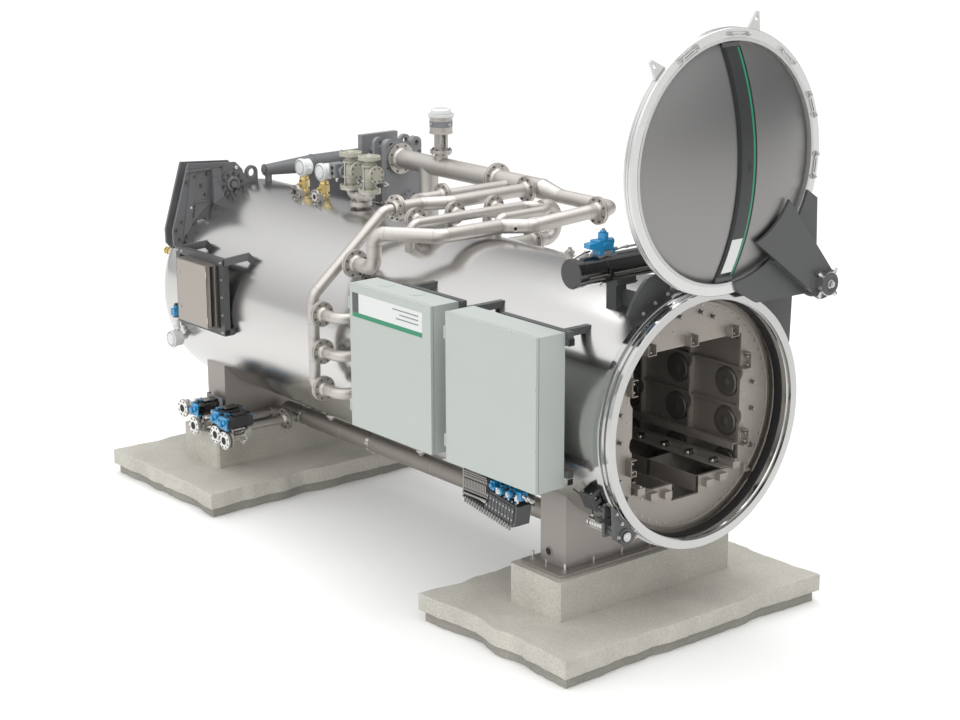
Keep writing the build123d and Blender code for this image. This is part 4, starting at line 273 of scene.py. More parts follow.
def build_materials():
    tint = colours()
    return {
        "cladding": cladding(),
        "concrete": concrete("cast_concrete"),
        # the slabs' lower course, a darker copy of the concrete: painted shade under the upper course's
        # overhang
        "foot_concrete": concrete("foot_concrete", 0.62),
        # turned and polished stainless: fine rings along the turning axis, near mirror
        "mouth_steel": brushed("turned_stainless", tint.machined, 0.10, (1.2, 60, 60), 0.03, 0.02, 0.02),
        # bead-blasted stainless, dull and a little brown inside the vessel
        "carriage_steel": brushed(
            "blasted_stainless", tint.carriage, 0.5, (5, 5, 5), 0.08, 0.12, 0.10, 0.6
        ),
        # turned rollers and cast terminals, darker and half dull
        "roller_steel": brushed(
            "turned_roller_steel", linear("8B8986"), 0.25, (8, 1, 8), 0.05, 0.08, 0.04
        ),
        # satin stainless, brushed across the dome
        "door_steel": brushed("satin_stainless", tint.dome, 0.42, (200, 3, 200), 0.04, 0.03, 0.03),
        # hairline brushed stainless of the legs, grain upright
        "leg_steel": brushed("hairline_stainless", tint.leg, 0.42, (4, 4, 160), 0.06, 0.05, 0.05, 0.5),
        # pickled pipe: matt, warm, slightly blotched
        "pipe_steel": brushed("pickled_pipe", tint.pipe, 0.50, (60, 60, 60), 0.05, 0.04, 0.04),
        # turned and polished bar: clamp bars, shafts and fittings with sharp highlights
        "bright_steel": brushed(
            "turned_bright_steel", linear("C9C8C6"), 0.20, (2, 2, 40), 0.04, 0.04, 0.03
        ),
        # brushed stainless sheet of the operator panel, grain level
        "panel_steel": brushed("brushed_panel", linear("A8A29B"), 0.36, (180, 2, 2), 0.05, 0.06, 0.05),
        # zinc-plated screws, even and half bright
        "zinc": brushed("zinc_plated_screws", linear("C4C3C0"), 0.28, (3, 3, 3), 0.05, 0.08, 0.05),
        # satin two-part paint on the arm, the brackets and the frames
        "dark_paint": painted("dark_grey_paint", tint.dark_paint, 0.38),
        # matt dark paint of the door's band
        "band_paint": painted("dark_band_paint", linear("2A2C2D"), 0.42),
        # satin paint on the exchanger and its stand
        "grey_paint": painted("mid_grey_paint", tint.grey_paint, 0.42),
        # the rear plates and tube: a lighter copy of the dark paint, painted light on faces turned to
        # the light
        "rear_lit_paint": painted("faded_grey_paint", linear("5E5F61"), 0.42),
        # gloss paint under a clear coat, with a sharp highlight along the cylinder
        "black_paint": painted("gloss_black_paint", tint.black_paint, 0.16, coat=0.6),
        # fine powder coat, nearly without a change of tone
        "cabinet_paint": painted("cabinet_powder_coat", tint.cabinet, 0.44, 1.6, 0.08, 0.02),
        # stoved enamel, glossy
        "blue_enamel": painted("blue_enamel", tint.blue, 0.26, coat=0.4),
        # printed line, satin
        "green_paint": painted("green_line_paint", tint.green, 0.40),
        # stoved enamel on die-cast housings
        "white_enamel": painted("white_enamel", tint.enamel, 0.26, 3.0, 0.05, 0.02, 0.3),
        # thick paint over cast iron, uneven under the light
        "valve_paint": painted("valve_paint", tint.valve, 0.40, 3.0, 0.2, 0.05),
        # turned brass, warm and half bright
        "brass": brushed("turned_brass", tint.brass, 0.24, (4, 4, 2), 0.05, 0.08, 0.04),
        # bare bolts of high-tensile steel, dull
        "dark_steel": brushed("plain_bolt_steel", linear("7B7772"), 0.40, (3, 3, 3), 0.05, 0.10, 0.05),
        # lathe-faced flange discs, pale and matt
        "white_steel": brushed("faced_steel", linear("E2E1DE"), 0.42, (2, 2, 2), 0.05, 0.04, 0.03),
        # weld beads left as laid, a little darker than the pipe
        "weld_steel": brushed("weld_bead", linear("ACA7A2"), 0.45, (2, 2, 2), 0.06, 0.12, 0.2),
        # recesses of the pressed dishes, darker than the carriage: painted shade
        "shade_steel": brushed("dish_steel", linear("6E6963"), 0.5, (5, 5, 5), 0.08, 0.12, 0.10, 0.6),
        # the pipe under the vessel, a darker and slightly rougher copy of the pipe: painted shade from
        # the vessel above
        "dull_pipe": brushed("dull_pipe", linear("9A958F"), 0.55, (60, 60, 60), 0.05, 0.06, 0.04),
        # turned face of the door's ring, brighter than its dome
        "ring_steel": brushed(
            "turned_ring", linear("D3D3D2"), 0.26, (1.2, 60, 60), 0.03, 0.02, 0.02, 0.85
        ),
        # moulded rubber of seals and gaskets, matt; its black also stands in bores and holes as painted
        # shade
        "rubber": painted("black_rubber", linear("0C0D0E"), 0.60, 1.5, 0.2, 0.05),
    }


finishes = {}


# Mesh helpers, all in millimetres

def circle(centre, side, up, radius, count, start=0.0):
    """Points on a circle that lies in two square directions."""
    points = []
    for i in range(count):
        turn = math.radians(start) + 2 * math.pi * i / count
        points.append(centre + (side * math.cos(turn) + up * math.sin(turn)) * radius)
    return points


class Shape:
    """Solids gathered in one mesh."""

    def __init__(self):
        self.mesh = bmesh.new()

    def loop(self, points):
        return [self.mesh.verts.new(Vector(p)) for p in points]

    def skin(self, rings, closed=False):
        """Faces between rings of points, closed on themselves or with a face on each end."""
        loops = [self.loop(ring) for ring in rings]
        count = len(loops[0])
        pairs = list(zip(loops, loops[1:]))
        if closed:
            pairs.append((loops[-1], loops[0]))
        for low, high in pairs:
            for i in range(count):
                j = (i + 1) % count
                self.mesh.faces.new((low[i], low[j], high[j], high[i]))
        if not closed:
            self.mesh.faces.new(tuple(reversed(loops[0])))
            self.mesh.faces.new(tuple(loops[-1]))
        return self

    def lathe(self, origin, axis, profile, sides=48, closed=False):
        """A turned solid: profile gives (distance along the axis, radius)."""
        axis = Vector(axis).normalized()
        side = axis.orthogonal().normalized()
        up = axis.cross(side)
        origin = Vector(origin)
        rings = [circle(origin + axis * along, side, up, radius, sides) for along, radius in profile]
        return self.skin(rings, closed)

    def rod(self, start, end, radius, sides=24, end_radius=None, chamfer=0.0):
        """A round or six-sided bar between two points."""
        start = Vector(start)
        run = Vector(end) - start
        length = run.length
        last = radius if end_radius is None else end_radius
        profile = [(0, radius), (length, last)]
        if chamfer:
            profile = [(0, radius - chamfer), (chamfer, radius)]
            profile += [(length - chamfer, last), (length, last - chamfer)]
        return self.lathe(start, run, profile, sides)

    def bar(self, start, way, radius, sides=24, **more):
        """A rod from a place, as far as the way is long."""
        return self.rod(start, Vector(start) + way, radius, sides, **more)

    def tube(self, origin, axis, length, outer, inner, sides=32):
        """A ring with a bore."""
        profile = [(0, inner), (0, outer), (length, outer), (length, inner)]
        return self.lathe(origin, axis, profile, sides, closed=True)

    def box(self, low, high, turn=None):
        """A block between two opposite corners, turned about its middle by a matrix."""
        (x0, x1), (y0, y1), (z0, z1) = (sorted(ends) for ends in zip(low, high))
        base = [(x0, y0, z0), (x1, y0, z0), (x1, y1, z0), (x0, y1, z0)]
        top = [(x, y, z1) for x, y, _ in base]
        if turn is not None:
            middle = (Vector(low) + Vector(high)) / 2
            base = [middle + turn @ (Vector(p) - middle) for p in base]
            top = [middle + turn @ (Vector(p) - middle) for p in top]
        return self.skin([base, top])

    def block(self, middle, half, turn=None):
        """A block about its middle, from half of each side."""
        half = Vector(half)
        return self.box(middle - half, middle + half, turn)

    def prism(self, outline, origin, across, up, depth):
        """An outline drawn on two directions from the origin, given a depth square to them."""
        across, up = Vector(across), Vector(up)
        out = across.cross(up).normalized()
        flat = [Vector(origin) + across * a + up * b for a, b in outline]
        return self.skin([flat, [p + out * depth for p in flat]])

    def pipe(self, points, radius, sides=20, bend=0.0):
        """A round bar along points, with its corners rounded."""
        path = rounded(points, bend) if bend else [Vector(p) for p in points]
        rings = []
        side = None
        for i, point in enumerate(path):
            before = path[max(i - 1, 0)]
            after = path[min(i + 1, len(path) - 1)]
            along = (after - before).normalized()
            side = along.orthogonal() if side is None else side - along * side.dot(along)
            side.normalize()
            rings.append(circle(point, side, along.cross(side), radius, sides))
        return self.skin(rings)


def rounded(points, bend, steps=6):
    """The path with an arc in place of each inner corner."""
    points = [Vector(p) for p in points]
    path = [points[0]]
    for before, corner, after in zip(points, points[1:], points[2:]):
        a = (before - corner).normalized()
        b = (after - corner).normalized()
        half = a.angle(b) / 2
        cut = min(bend / math.tan(half), 0.49 * min((before - corner).length, (after - corner).length))
        radius = cut * math.tan(half)
        centre = corner + (a + b).normalized() * (radius / math.sin(half))
        start, end = corner + a * cut - centre, corner + b * cut - centre
        turn = start.angle(end)
        for i in range(steps + 1):
            share = i / steps
            mix = start * math.sin((1 - share) * turn) + end * math.sin(share * turn)
            path.append(centre + mix / math.sin(turn))
    return path + [points[-1]]


def place(name, shape, finish, body="root", slot=None, smooth=32, bevel=0.0):
    """Turns a shape in millimetres into a finished piece that rides on a body."""
    bmesh.ops.remove_doubles(shape.mesh, verts=shape.mesh.verts, dist=0.001)
    bmesh.ops.recalc_face_normals(shape.mesh, faces=shape.mesh.faces)
    bmesh.ops.transform(shape.mesh, matrix=Matrix.Scale(MM, 4), verts=shape.mesh.verts)
    mesh = bpy.data.meshes.new(name)
    shape.mesh.to_mesh(mesh)
    shape.mesh.free()
    return dress(name, mesh, finish, body, smooth, bevel)


def dress(name, mesh, finish, body, smooth=32, bevel=0.0):
    """A piece from a mesh, with its finish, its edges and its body."""
    mesh.materials.clear()
    mesh.materials.append(finishes[finish])
    mesh.polygons.foreach_set("use_smooth", [True] * len(mesh.polygons))
    mesh.set_sharp_from_angle(angle=math.radians(smooth))
    piece = bpy.data.objects.new(name, mesh)
    bpy.context.scene.collection.objects.link(piece)
    if bevel:
        edge = piece.modifiers.new("edge", "BEVEL")
        edge.width = bevel * MM
        edge.segments = 2
        edge.limit_method = "ANGLE"
        edge.angle_limit = math.radians(40)
    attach(piece, body)
    return piece


def merged_copy(node, name, finish):
    """A copy of a frame node with its doubles merged and the slivers at its pole left out."""
    source = frame["nodes"][node]
    work = bmesh.new()
    work.from_mesh(source.data)
    bmesh.ops.transform(work, matrix=source.matrix_world, verts=work.verts)
    bmesh.ops.remove_doubles(work, verts=work.verts, dist=0.1 * MM)
    work.verts.index_update()
    faces = [[v.index for v in face.verts] for face in work.faces if face.calc_area() > 0]
    mesh = bpy.data.meshes.new(name)
    mesh.from_pydata([v.co[:] for v in work.verts], [], faces)
    work.free()
    return dress(name, mesh, finish, "root")


def stack_tree(name, layers):
    """Geometry Nodes that stand a stack of layers on every point, along its stored axis.

    Each layer is (label, sides). Its radius, top radius and height are inputs of the tree.
    """
    tree = bpy.data.node_groups.new(name, "GeometryNodeTree")
    tree.interface.new_socket("Geometry", in_out="INPUT", socket_type="NodeSocketGeometry")
    tree.interface.new_socket("Material", in_out="INPUT", socket_type="NodeSocketMaterial")
    for label, _ in layers:
        for part in ("radius", "top radius", "height"):
            tree.interface.new_socket(f"{label} {part}", in_out="INPUT", socket_type="NodeSocketFloat")
    tree.interface.new_socket("Geometry", in_out="OUTPUT", socket_type="NodeSocketGeometry")
    source = add(tree, "NodeGroupInput")
    join = add(tree, "GeometryNodeJoinGeometry")
    lift = None
    for label, sides in layers:
        height = source.outputs[f"{label} height"]
        cone = add(
            tree, "GeometryNodeMeshCone", {"Vertices": sides},
            {
                "Radius Bottom": source.outputs[f"{label} radius"],
                "Radius Top": source.outputs[f"{label} top radius"],
                "Depth": height,
            },
        )
        layer = cone.outputs["Mesh"]
        if lift is not None:
            offset = add(tree, "ShaderNodeCombineXYZ", {}, {"Z": lift})
            moved = add(
                tree, "GeometryNodeTransform", {}, {"Geometry": layer, "Translation": offset.outputs[0]}
            )
            layer = moved.outputs["Geometry"]
            lift = add(tree, "ShaderNodeMath", {"operation": "ADD"}, {0: lift, 1: height}).outputs[0]
        else:
            lift = height
        tree.links.new(layer, join.inputs["Geometry"])
    axis = add(tree, "GeometryNodeInputNamedAttribute", {"data_type": "FLOAT_VECTOR", "Name": "axis"})
    scale = add(tree, "GeometryNodeInputNamedAttribute", {"data_type": "FLOAT", "Name": "scale"})
    turn = add(
        tree, "FunctionNodeAlignRotationToVector", {"axis": "Z"}, {"Vector": axis.outputs["Attribute"]}
    )
    copies = add(
        tree, "GeometryNodeInstanceOnPoints", {},
        {
            "Points": source.outputs["Geometry"],
            "Instance": join.outputs["Geometry"],
            "Rotation": turn.outputs["Rotation"],
            "Scale": scale.outputs["Attribute"],
        },
    )
    real = add(tree, "GeometryNodeRealizeInstances", {}, {"Geometry": copies.outputs["Instances"]})
    coat = add(
        tree, "GeometryNodeSetMaterial", {},
        {"Geometry": real.outputs["Geometry"], "Material": source.outputs["Material"]},
    )
    add(tree, "NodeGroupOutput", {}, {"Geometry": coat.outputs["Geometry"]})
    return tree


trees = {}


def scatter(name, tree, points, lengths, finish, body="root", smooth=32):
    """Stands the tree's stack on each (place, axis) or (place, axis, scale), as one plain mesh."""
    mesh = bpy.data.meshes.new(name)
    mesh.from_pydata([Vector(p[0]) * MM for p in points], [], [])
    axis = mesh.attributes.new("axis", "FLOAT_VECTOR", "POINT")
    axis.data.foreach_set("vector", [c for p in points for c in Vector(p[1]).normalized()])
    scale = mesh.attributes.new("scale", "FLOAT", "POINT")
    scale.data.foreach_set("value", [p[2] if len(p) > 2 else 1.0 for p in points])
    carrier = bpy.data.objects.new(name, mesh)
    bpy.context.scene.collection.objects.link(carrier)
    modifier = carrier.modifiers.new("stack", "NODES")
    modifier.node_group = tree
    for socket in tree.interface.items_tree:
        if socket.in_out != "INPUT" or socket.name == "Geometry":
            continue
        if socket.name == "Material":
            modifier[socket.identifier] = finishes[finish]
        else:
            modifier[socket.identifier] = lengths.get(socket.name, 0.0)
    graph = bpy.context.evaluated_depsgraph_get()
    solid = bpy.data.meshes.new_from_object(carrier.evaluated_get(graph))
    carrier.modifiers.remove(modifier)
    bpy.data.objects.remove(carrier)
    for extra in ("axis", "scale"):
        if extra in solid.attributes:
            solid.attributes.remove(solid.attributes[extra])
    solid.name = name
    return dress(name, solid, finish, body, smooth)


def fasten(name, places, scale, stud, finish, body="root"):
    """Bolts on their washers, at a share of the full size, with a thread that stands out by stud."""
    head = sizes().bolt_radius * scale
    lengths = {
        "Washer radius": head * 1.25,
        "Washer top radius": head * 1.25,
        "Washer height": 2 * MM * scale,
        "Head radius": head,
        "Head top radius": head,
        "Head height": sizes().bolt_height * scale,
        "Stud radius": head * 0.55,
        "Stud top radius": head * 0.5,
        "Stud height": stud * MM,
    }
    return scatter(name, trees["bolt"], places, lengths, finish, body)


# What stands for a disc that a stack does without
NO_LAYER = (0, 0, 0.05)


def discs(name, places, layers, finish, body="root"):
    """Up to three discs on each other, given as (radius, top radius, height) in millimetres."""
    lengths = {}
    for label, layer in zip(("Base", "Rim", "Crown"), (*layers, NO_LAYER, NO_LAYER)):
        for part, value in zip(("radius", "top radius", "height"), layer):
            lengths[f"{label} {part}"] = value * MM
    return scatter(name, trees["disc"], places, lengths, finish, body)


def ring_places(centre, axis, radius, count, start=0.0):
    """Places on a circle about an axis."""
    axis = Vector(axis).normalized()
    side = axis.orthogonal().normalized()
    return circle(Vector(centre), side, axis.cross(side), radius, count, start)


def bolt_circle(centre, out, radius, count=8, start=22.5):
    """Places on a circle about one of the frame's axes, each with its way out."""
    about = [abs(c) for c in out]
    return [(spot, out) for spot in ring_places(centre, about, radius, count, start)]


def on_circle(radius, degrees, y, z):
    """The (y, z) of a place on an upright circle."""
    angle = math.radians(degrees)
    return (y + radius * math.cos(angle), z + radius * math.sin(angle))


# Stage

CAMERA_PLACE = (10.199, -9.699, 5.797)
CAMERA_HEADING = (-0.7744, 0.6327)
CAMERA_PITCH = 15.61
CAMERA_ROLL = -0.169
CAMERA_LENS = 76.907
CAMERA_SHIFT = (0.0038, 0.0053)
FLOOR_REACH = 160
# Name, place, aim, size and power of each lamp
LAMPS = (
    ("key", (4.0, -7.5, 9.5), (-1.5, 0, 1.2), (7, 5), 60),
    ("top", (-2.0, 1.5, 9.0), (-2.0, 0, 1.5), (9, 5), 300),
)
# Where the studio light comes from, and its grey steps between the dark side and the bright one
SKY_UP = (0.06, -0.45, 0.90)
SKY_STEPS = ((0.40, 0.26), (0.68, 0.52))


def area_light(name, spot, target, size, power):
    """A soft rectangular lamp that faces its target."""
    lamp = bpy.data.lights.new(name, "AREA")
    lamp.shape = "RECTANGLE"
    lamp.size, lamp.size_y = size
    lamp.energy = power
    holder = bpy.data.objects.new(name, lamp)
    holder.location = spot
    holder.rotation_euler = (Vector(target) - Vector(spot)).to_track_quat("-Z", "Y").to_euler()
    bpy.context.scene.collection.objects.link(holder)


class RETORT_OT_stage(bpy.types.Operator):
    """Sets up the pale floor, the soft studio light and the camera"""
    bl_idname = "retort.stage"
    bl_label = "Stage"

    def execute(self, context):
        scene = context.scene
        camera = bpy.data.cameras.new("camera")
        camera.lens = CAMERA_LENS
        camera.sensor_width = 36
        camera.shift_x, camera.shift_y = CAMERA_SHIFT
        camera.clip_end = 400
        holder = bpy.data.objects.new("camera", camera)
        holder.location = CAMERA_PLACE
        pitch = math.radians(CAMERA_PITCH)
        forward = Vector((*CAMERA_HEADING, 0)).normalized() * math.cos(pitch) - Z * math.sin(pitch)
        roll = Matrix.Rotation(math.radians(CAMERA_ROLL), 3, "Z")
        holder.rotation_euler = (forward.to_track_quat("-Z", "Y").to_matrix() @ roll).to_euler()
        scene.collection.objects.link(holder)
        scene.camera = holder
        scene.view_settings.view_transform = "Standard"

        floor = bpy.data.meshes.new("floor")
        corners = [(-1, -1, 0), (1, -1, 0), (1, 1, 0), (-1, 1, 0)]
        floor.from_pydata([Vector(c) * FLOOR_REACH for c in corners], [], [(0, 1, 2, 3)])
        floor.materials.append(surface("pale_floor", linear("F6F6F5"), 0.0, 0.7)[0])
        ground = bpy.data.objects.new("floor", floor)
        ground.location.z = -0.002
        scene.collection.objects.link(ground)

        world = bpy.data.worlds.new("studio")
        scene.world = world
        world.use_nodes = True
        tree = world.node_tree
        tree.nodes.clear()
        direction = add(tree, "ShaderNodeTexCoord")
        # brightest above and behind the camera, grey low behind the vessel, so its top falls off
        toward = add(
            tree, "ShaderNodeVectorMath", {"operation": "DOT_PRODUCT", 1: SKY_UP},
            {0: direction.outputs["Generated"]},
        )
        span = {"From Min": -0.5, "From Max": 0.9}
        share = add(tree, "ShaderNodeMapRange", span, {0: toward.outputs["Value"]})
        sky = add(tree, "ShaderNodeValToRGB", {}, {"Fac": share.outputs["Result"]})
        ramp = sky.color_ramp
        ramp.elements[0].position, ramp.elements[0].color = 0.0, (0.12, 0.12, 0.13, 1)
        ramp.elements[1].position, ramp.elements[1].color = 1.0, (1.0, 1.0, 1.0, 1)
        for position, tone in SKY_STEPS:
            ramp.elements.new(position).color = (tone, tone, tone * 1.01, 1)
        glow = add(tree, "ShaderNodeBackground", {"Strength": 1.75}, {"Color": sky.outputs["Color"]})
        add(tree, "ShaderNodeOutputWorld", {}, {"Surface": glow.outputs["Background"]})

        for lamp in LAMPS:
            area_light(*lamp)
        return {"FINISHED"}


# Frame finishes

# Solids whose own finish differs from the rest of their slot
# the drain header takes a darker pipe finish, as painted shade
# the rear plates and tube take a lighter paint, as painted light
NODE_FINISH = {"door_ring": "ring_steel", "drain_header": "dull_pipe",
               "rear_arm_plates": "rear_lit_paint", "rear_cross_tube": "rear_lit_paint"}


class RETORT_OT_frame_finishes(bpy.types.Operator):
    """Gives every solid of the frame the finish of its material slot"""
    bl_idname = "retort.frame_finishes"
    bl_label = "Frame finishes"

    def execute(self, context):
        finishes.update(build_materials())
        trees["bolt"] = stack_tree("bolt", [("Washer", 16), ("Head", 6), ("Stud", 10)])
        trees["disc"] = stack_tree("disc", [("Base", 28), ("Rim", 28), ("Crown", 28)])
        for row in frame["record"]["subparts"]:
            mesh = frame["nodes"][row["node"]].data
            mesh.materials.clear()
            mesh.materials.append(finishes[NODE_FINISH.get(row["node"], row["material_slot"])])
        return {"FINISHED"}


# Foundations

FOUNDATION_XS = (0, -4397)
SLAB_HALF = (801, 1260)
SLAB_STEP = 85
SLAB_TOP = 212
FOOT_INSET = 36
BASE_PLATE_TOP = 532
ANCHOR_REACH = (170, 710)
LEG_NEAR_Y = -671
LEG_HALF = (134, 671)
SEAM_Z = 536
# Pins along each side of a leg, and beyond its ends
PIN_YS = (-437, -164, 109, 382)
PIN_END_Y = 735
PORT_PLACE = (-44, 614)


def slab_outline(x, inset, seed):
    """A rectangle whose edge wanders inwards, as a loop of (x, y)."""
    half_x = SLAB_HALF[0] - inset
    half_y = SLAB_HALF[1] - inset
    corners = [(-half_x, -half_y), (half_x, -half_y), (half_x, half_y), (-half_x, half_y)]
    wave = sizes().edge_break / MM
    loop = []
    for (ax, ay), (bx, by) in zip(corners, corners[1:] + corners[:1]):
        length = math.dist((ax, ay), (bx, by))
        count = SLAB_HALF[0 if ay == by else 1] // 12
        inward = Vector((-(by - ay), bx - ax)) / length
        for i in range(count):
            share = i / count
            px, py = ax + (bx - ax) * share, ay + (by - ay) * share
            slow = noise.noise(Vector((px / 270, py / 270, seed))) + 0.3 * noise.noise(
                Vector((px / 90, py / 90, seed + 5))
            )
            fine = noise.noise(Vector((px / 26, py / 26, seed)))
            depth = max(0.0, 0.35 + 1.1 * slow) * wave + (0.5 + 0.5 * fine) * 3
            fade = min(1.0, 6 * share, 6 * (1 - share))
            loop.append((x + px + inward.x * depth * fade, py + inward.y * depth * fade))
    return loop


def course(x, seed, levels):
    """One course of a cast slab: levels gives (height, inset)."""
    rings = []
    for z, inset in levels:
        rings.append([(a, b, z) for a, b in slab_outline(x, inset, seed)])
    return Shape().skin(rings)


class RETORT_OT_foundations(bpy.types.Operator):
    """Casts the slabs with broken edges and sets the studs, pins, leg seams and leg port"""
    bl_idname = "retort.foundations"
    bl_label = "Foundations"

    def execute(self, context):
        for x, name, seed in zip(FOUNDATION_XS, ("front", "rear"), (3.1, 9.7)):
            upper = course(x, seed, ((SLAB_STEP, 0), (SLAB_TOP - 4, 0), (SLAB_TOP, 4)))
            piece = place(f"{name}_slab_cast", upper, "concrete", smooth=30)
            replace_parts(piece, f"{name}_foundation_slab")
            # the lower course takes a darker concrete, as painted shade under the upper course
            foot = course(x, seed, ((0, FOOT_INSET), (SLAB_STEP + 1, FOOT_INSET)))
            place(f"{name}_slab_foot", foot, "foot_concrete", slot="concrete", smooth=30)
        reach_x, reach_y = ANCHOR_REACH
        studs, pins = [], []
        for x in FOUNDATION_XS:
            for side in SIDES:
                studs += [((x + side * reach_x, end * reach_y, BASE_PLATE_TOP), Z) for end in SIDES]
                pins.append(((x, side * PIN_END_Y, BASE_PLATE_TOP), Z))
                pins += [((x + side * reach_x, y, BASE_PLATE_TOP), Z) for y in PIN_YS]
        fasten("anchor_studs", studs, 1.4, 44, "zinc")
        fasten("levelling_pins", pins, 0.8, 42, "zinc")
        half_x, half_y = LEG_HALF
        seams = Shape()
        for x in FOUNDATION_XS:
            for side in SIDES:
                across, along = side * (half_y + 1), x + side * (half_x + 1)
                seams.rod((x - half_x, across, SEAM_Z), (x + half_x, across, SEAM_Z), 5, 8)
                seams.rod((along, -half_y, SEAM_Z), (along, half_y, SEAM_Z), 5, 8)
        place("leg_weld_seams", seams, "leg_steel")
        x, z = PORT_PLACE
        port = Shape().tube((x, LEG_NEAR_Y + 6, z), -Y, 12, 37, 28)
        place("leg_port_collar", port, "leg_steel", bevel=1.5)
        # a black plug in the collar's bore: painted shade inside the port
        bore = Shape().bar((x, LEG_NEAR_Y + 2, z), -Y * 4, 29, 28)
        place("leg_port_bore", bore, "rubber")
        return {"FINISHED"}


# Inside the mouth

BAY_FRONTS = [BULKHEAD_X - 25] + [110 - 495 * i for i in range(9)]
DISH_HEIGHTS = (1751, 1458, 1155)
RIB_HEIGHTS = (2090, 1890, 1600, 1310)
UPPER_GUIDE = (2188, 2172)
SIDE_GUIDE_ZS = (1950, 1388)
PANEL_Y = 563
CHANNEL_HALF = 520
BULKHEAD_SCREW_RADIUS = 772
ROLLER_PITCH = 247.5
# Spans across and up of the strips along each rail, and of the blocks at its end
RAIL_STRIPS = (
    (470, 522, 1336, 1342), (468, 474, 1296, 1341), (350, 428, 1182, 1188), (130, 136, 1052, 1174)
)
RAIL_ENDS = ((430, 500, 1176, 1226), (300, 372, 1112, 1164), (168, 236, 1096, 1146))
MOUTH_SEAL_X = 674


def folded_bracket(shape, middle, across, up, out, width, height, depth, wall=5):
    """A channel folded from sheet: a back, two sides and lips, open to the front."""
    w, h = width / 2, height / 2
    outline = [
        (-w, h), (-w, -h), (w, -h), (w, h), (w - wall, h), (w - wall, -h + wall),
        (-w + wall, -h + wall), (-w + wall, h),
    ]
    shape.prism(outline, middle, across, up, depth)
    back = [(-w + 1, -h + 1), (w - 1, -h + 1), (w - 1, h * 0.6), (-w + 1, h * 0.6)]
    shape.prism(back, Vector(middle) + Vector(out) * 0.5, across, up, wall)


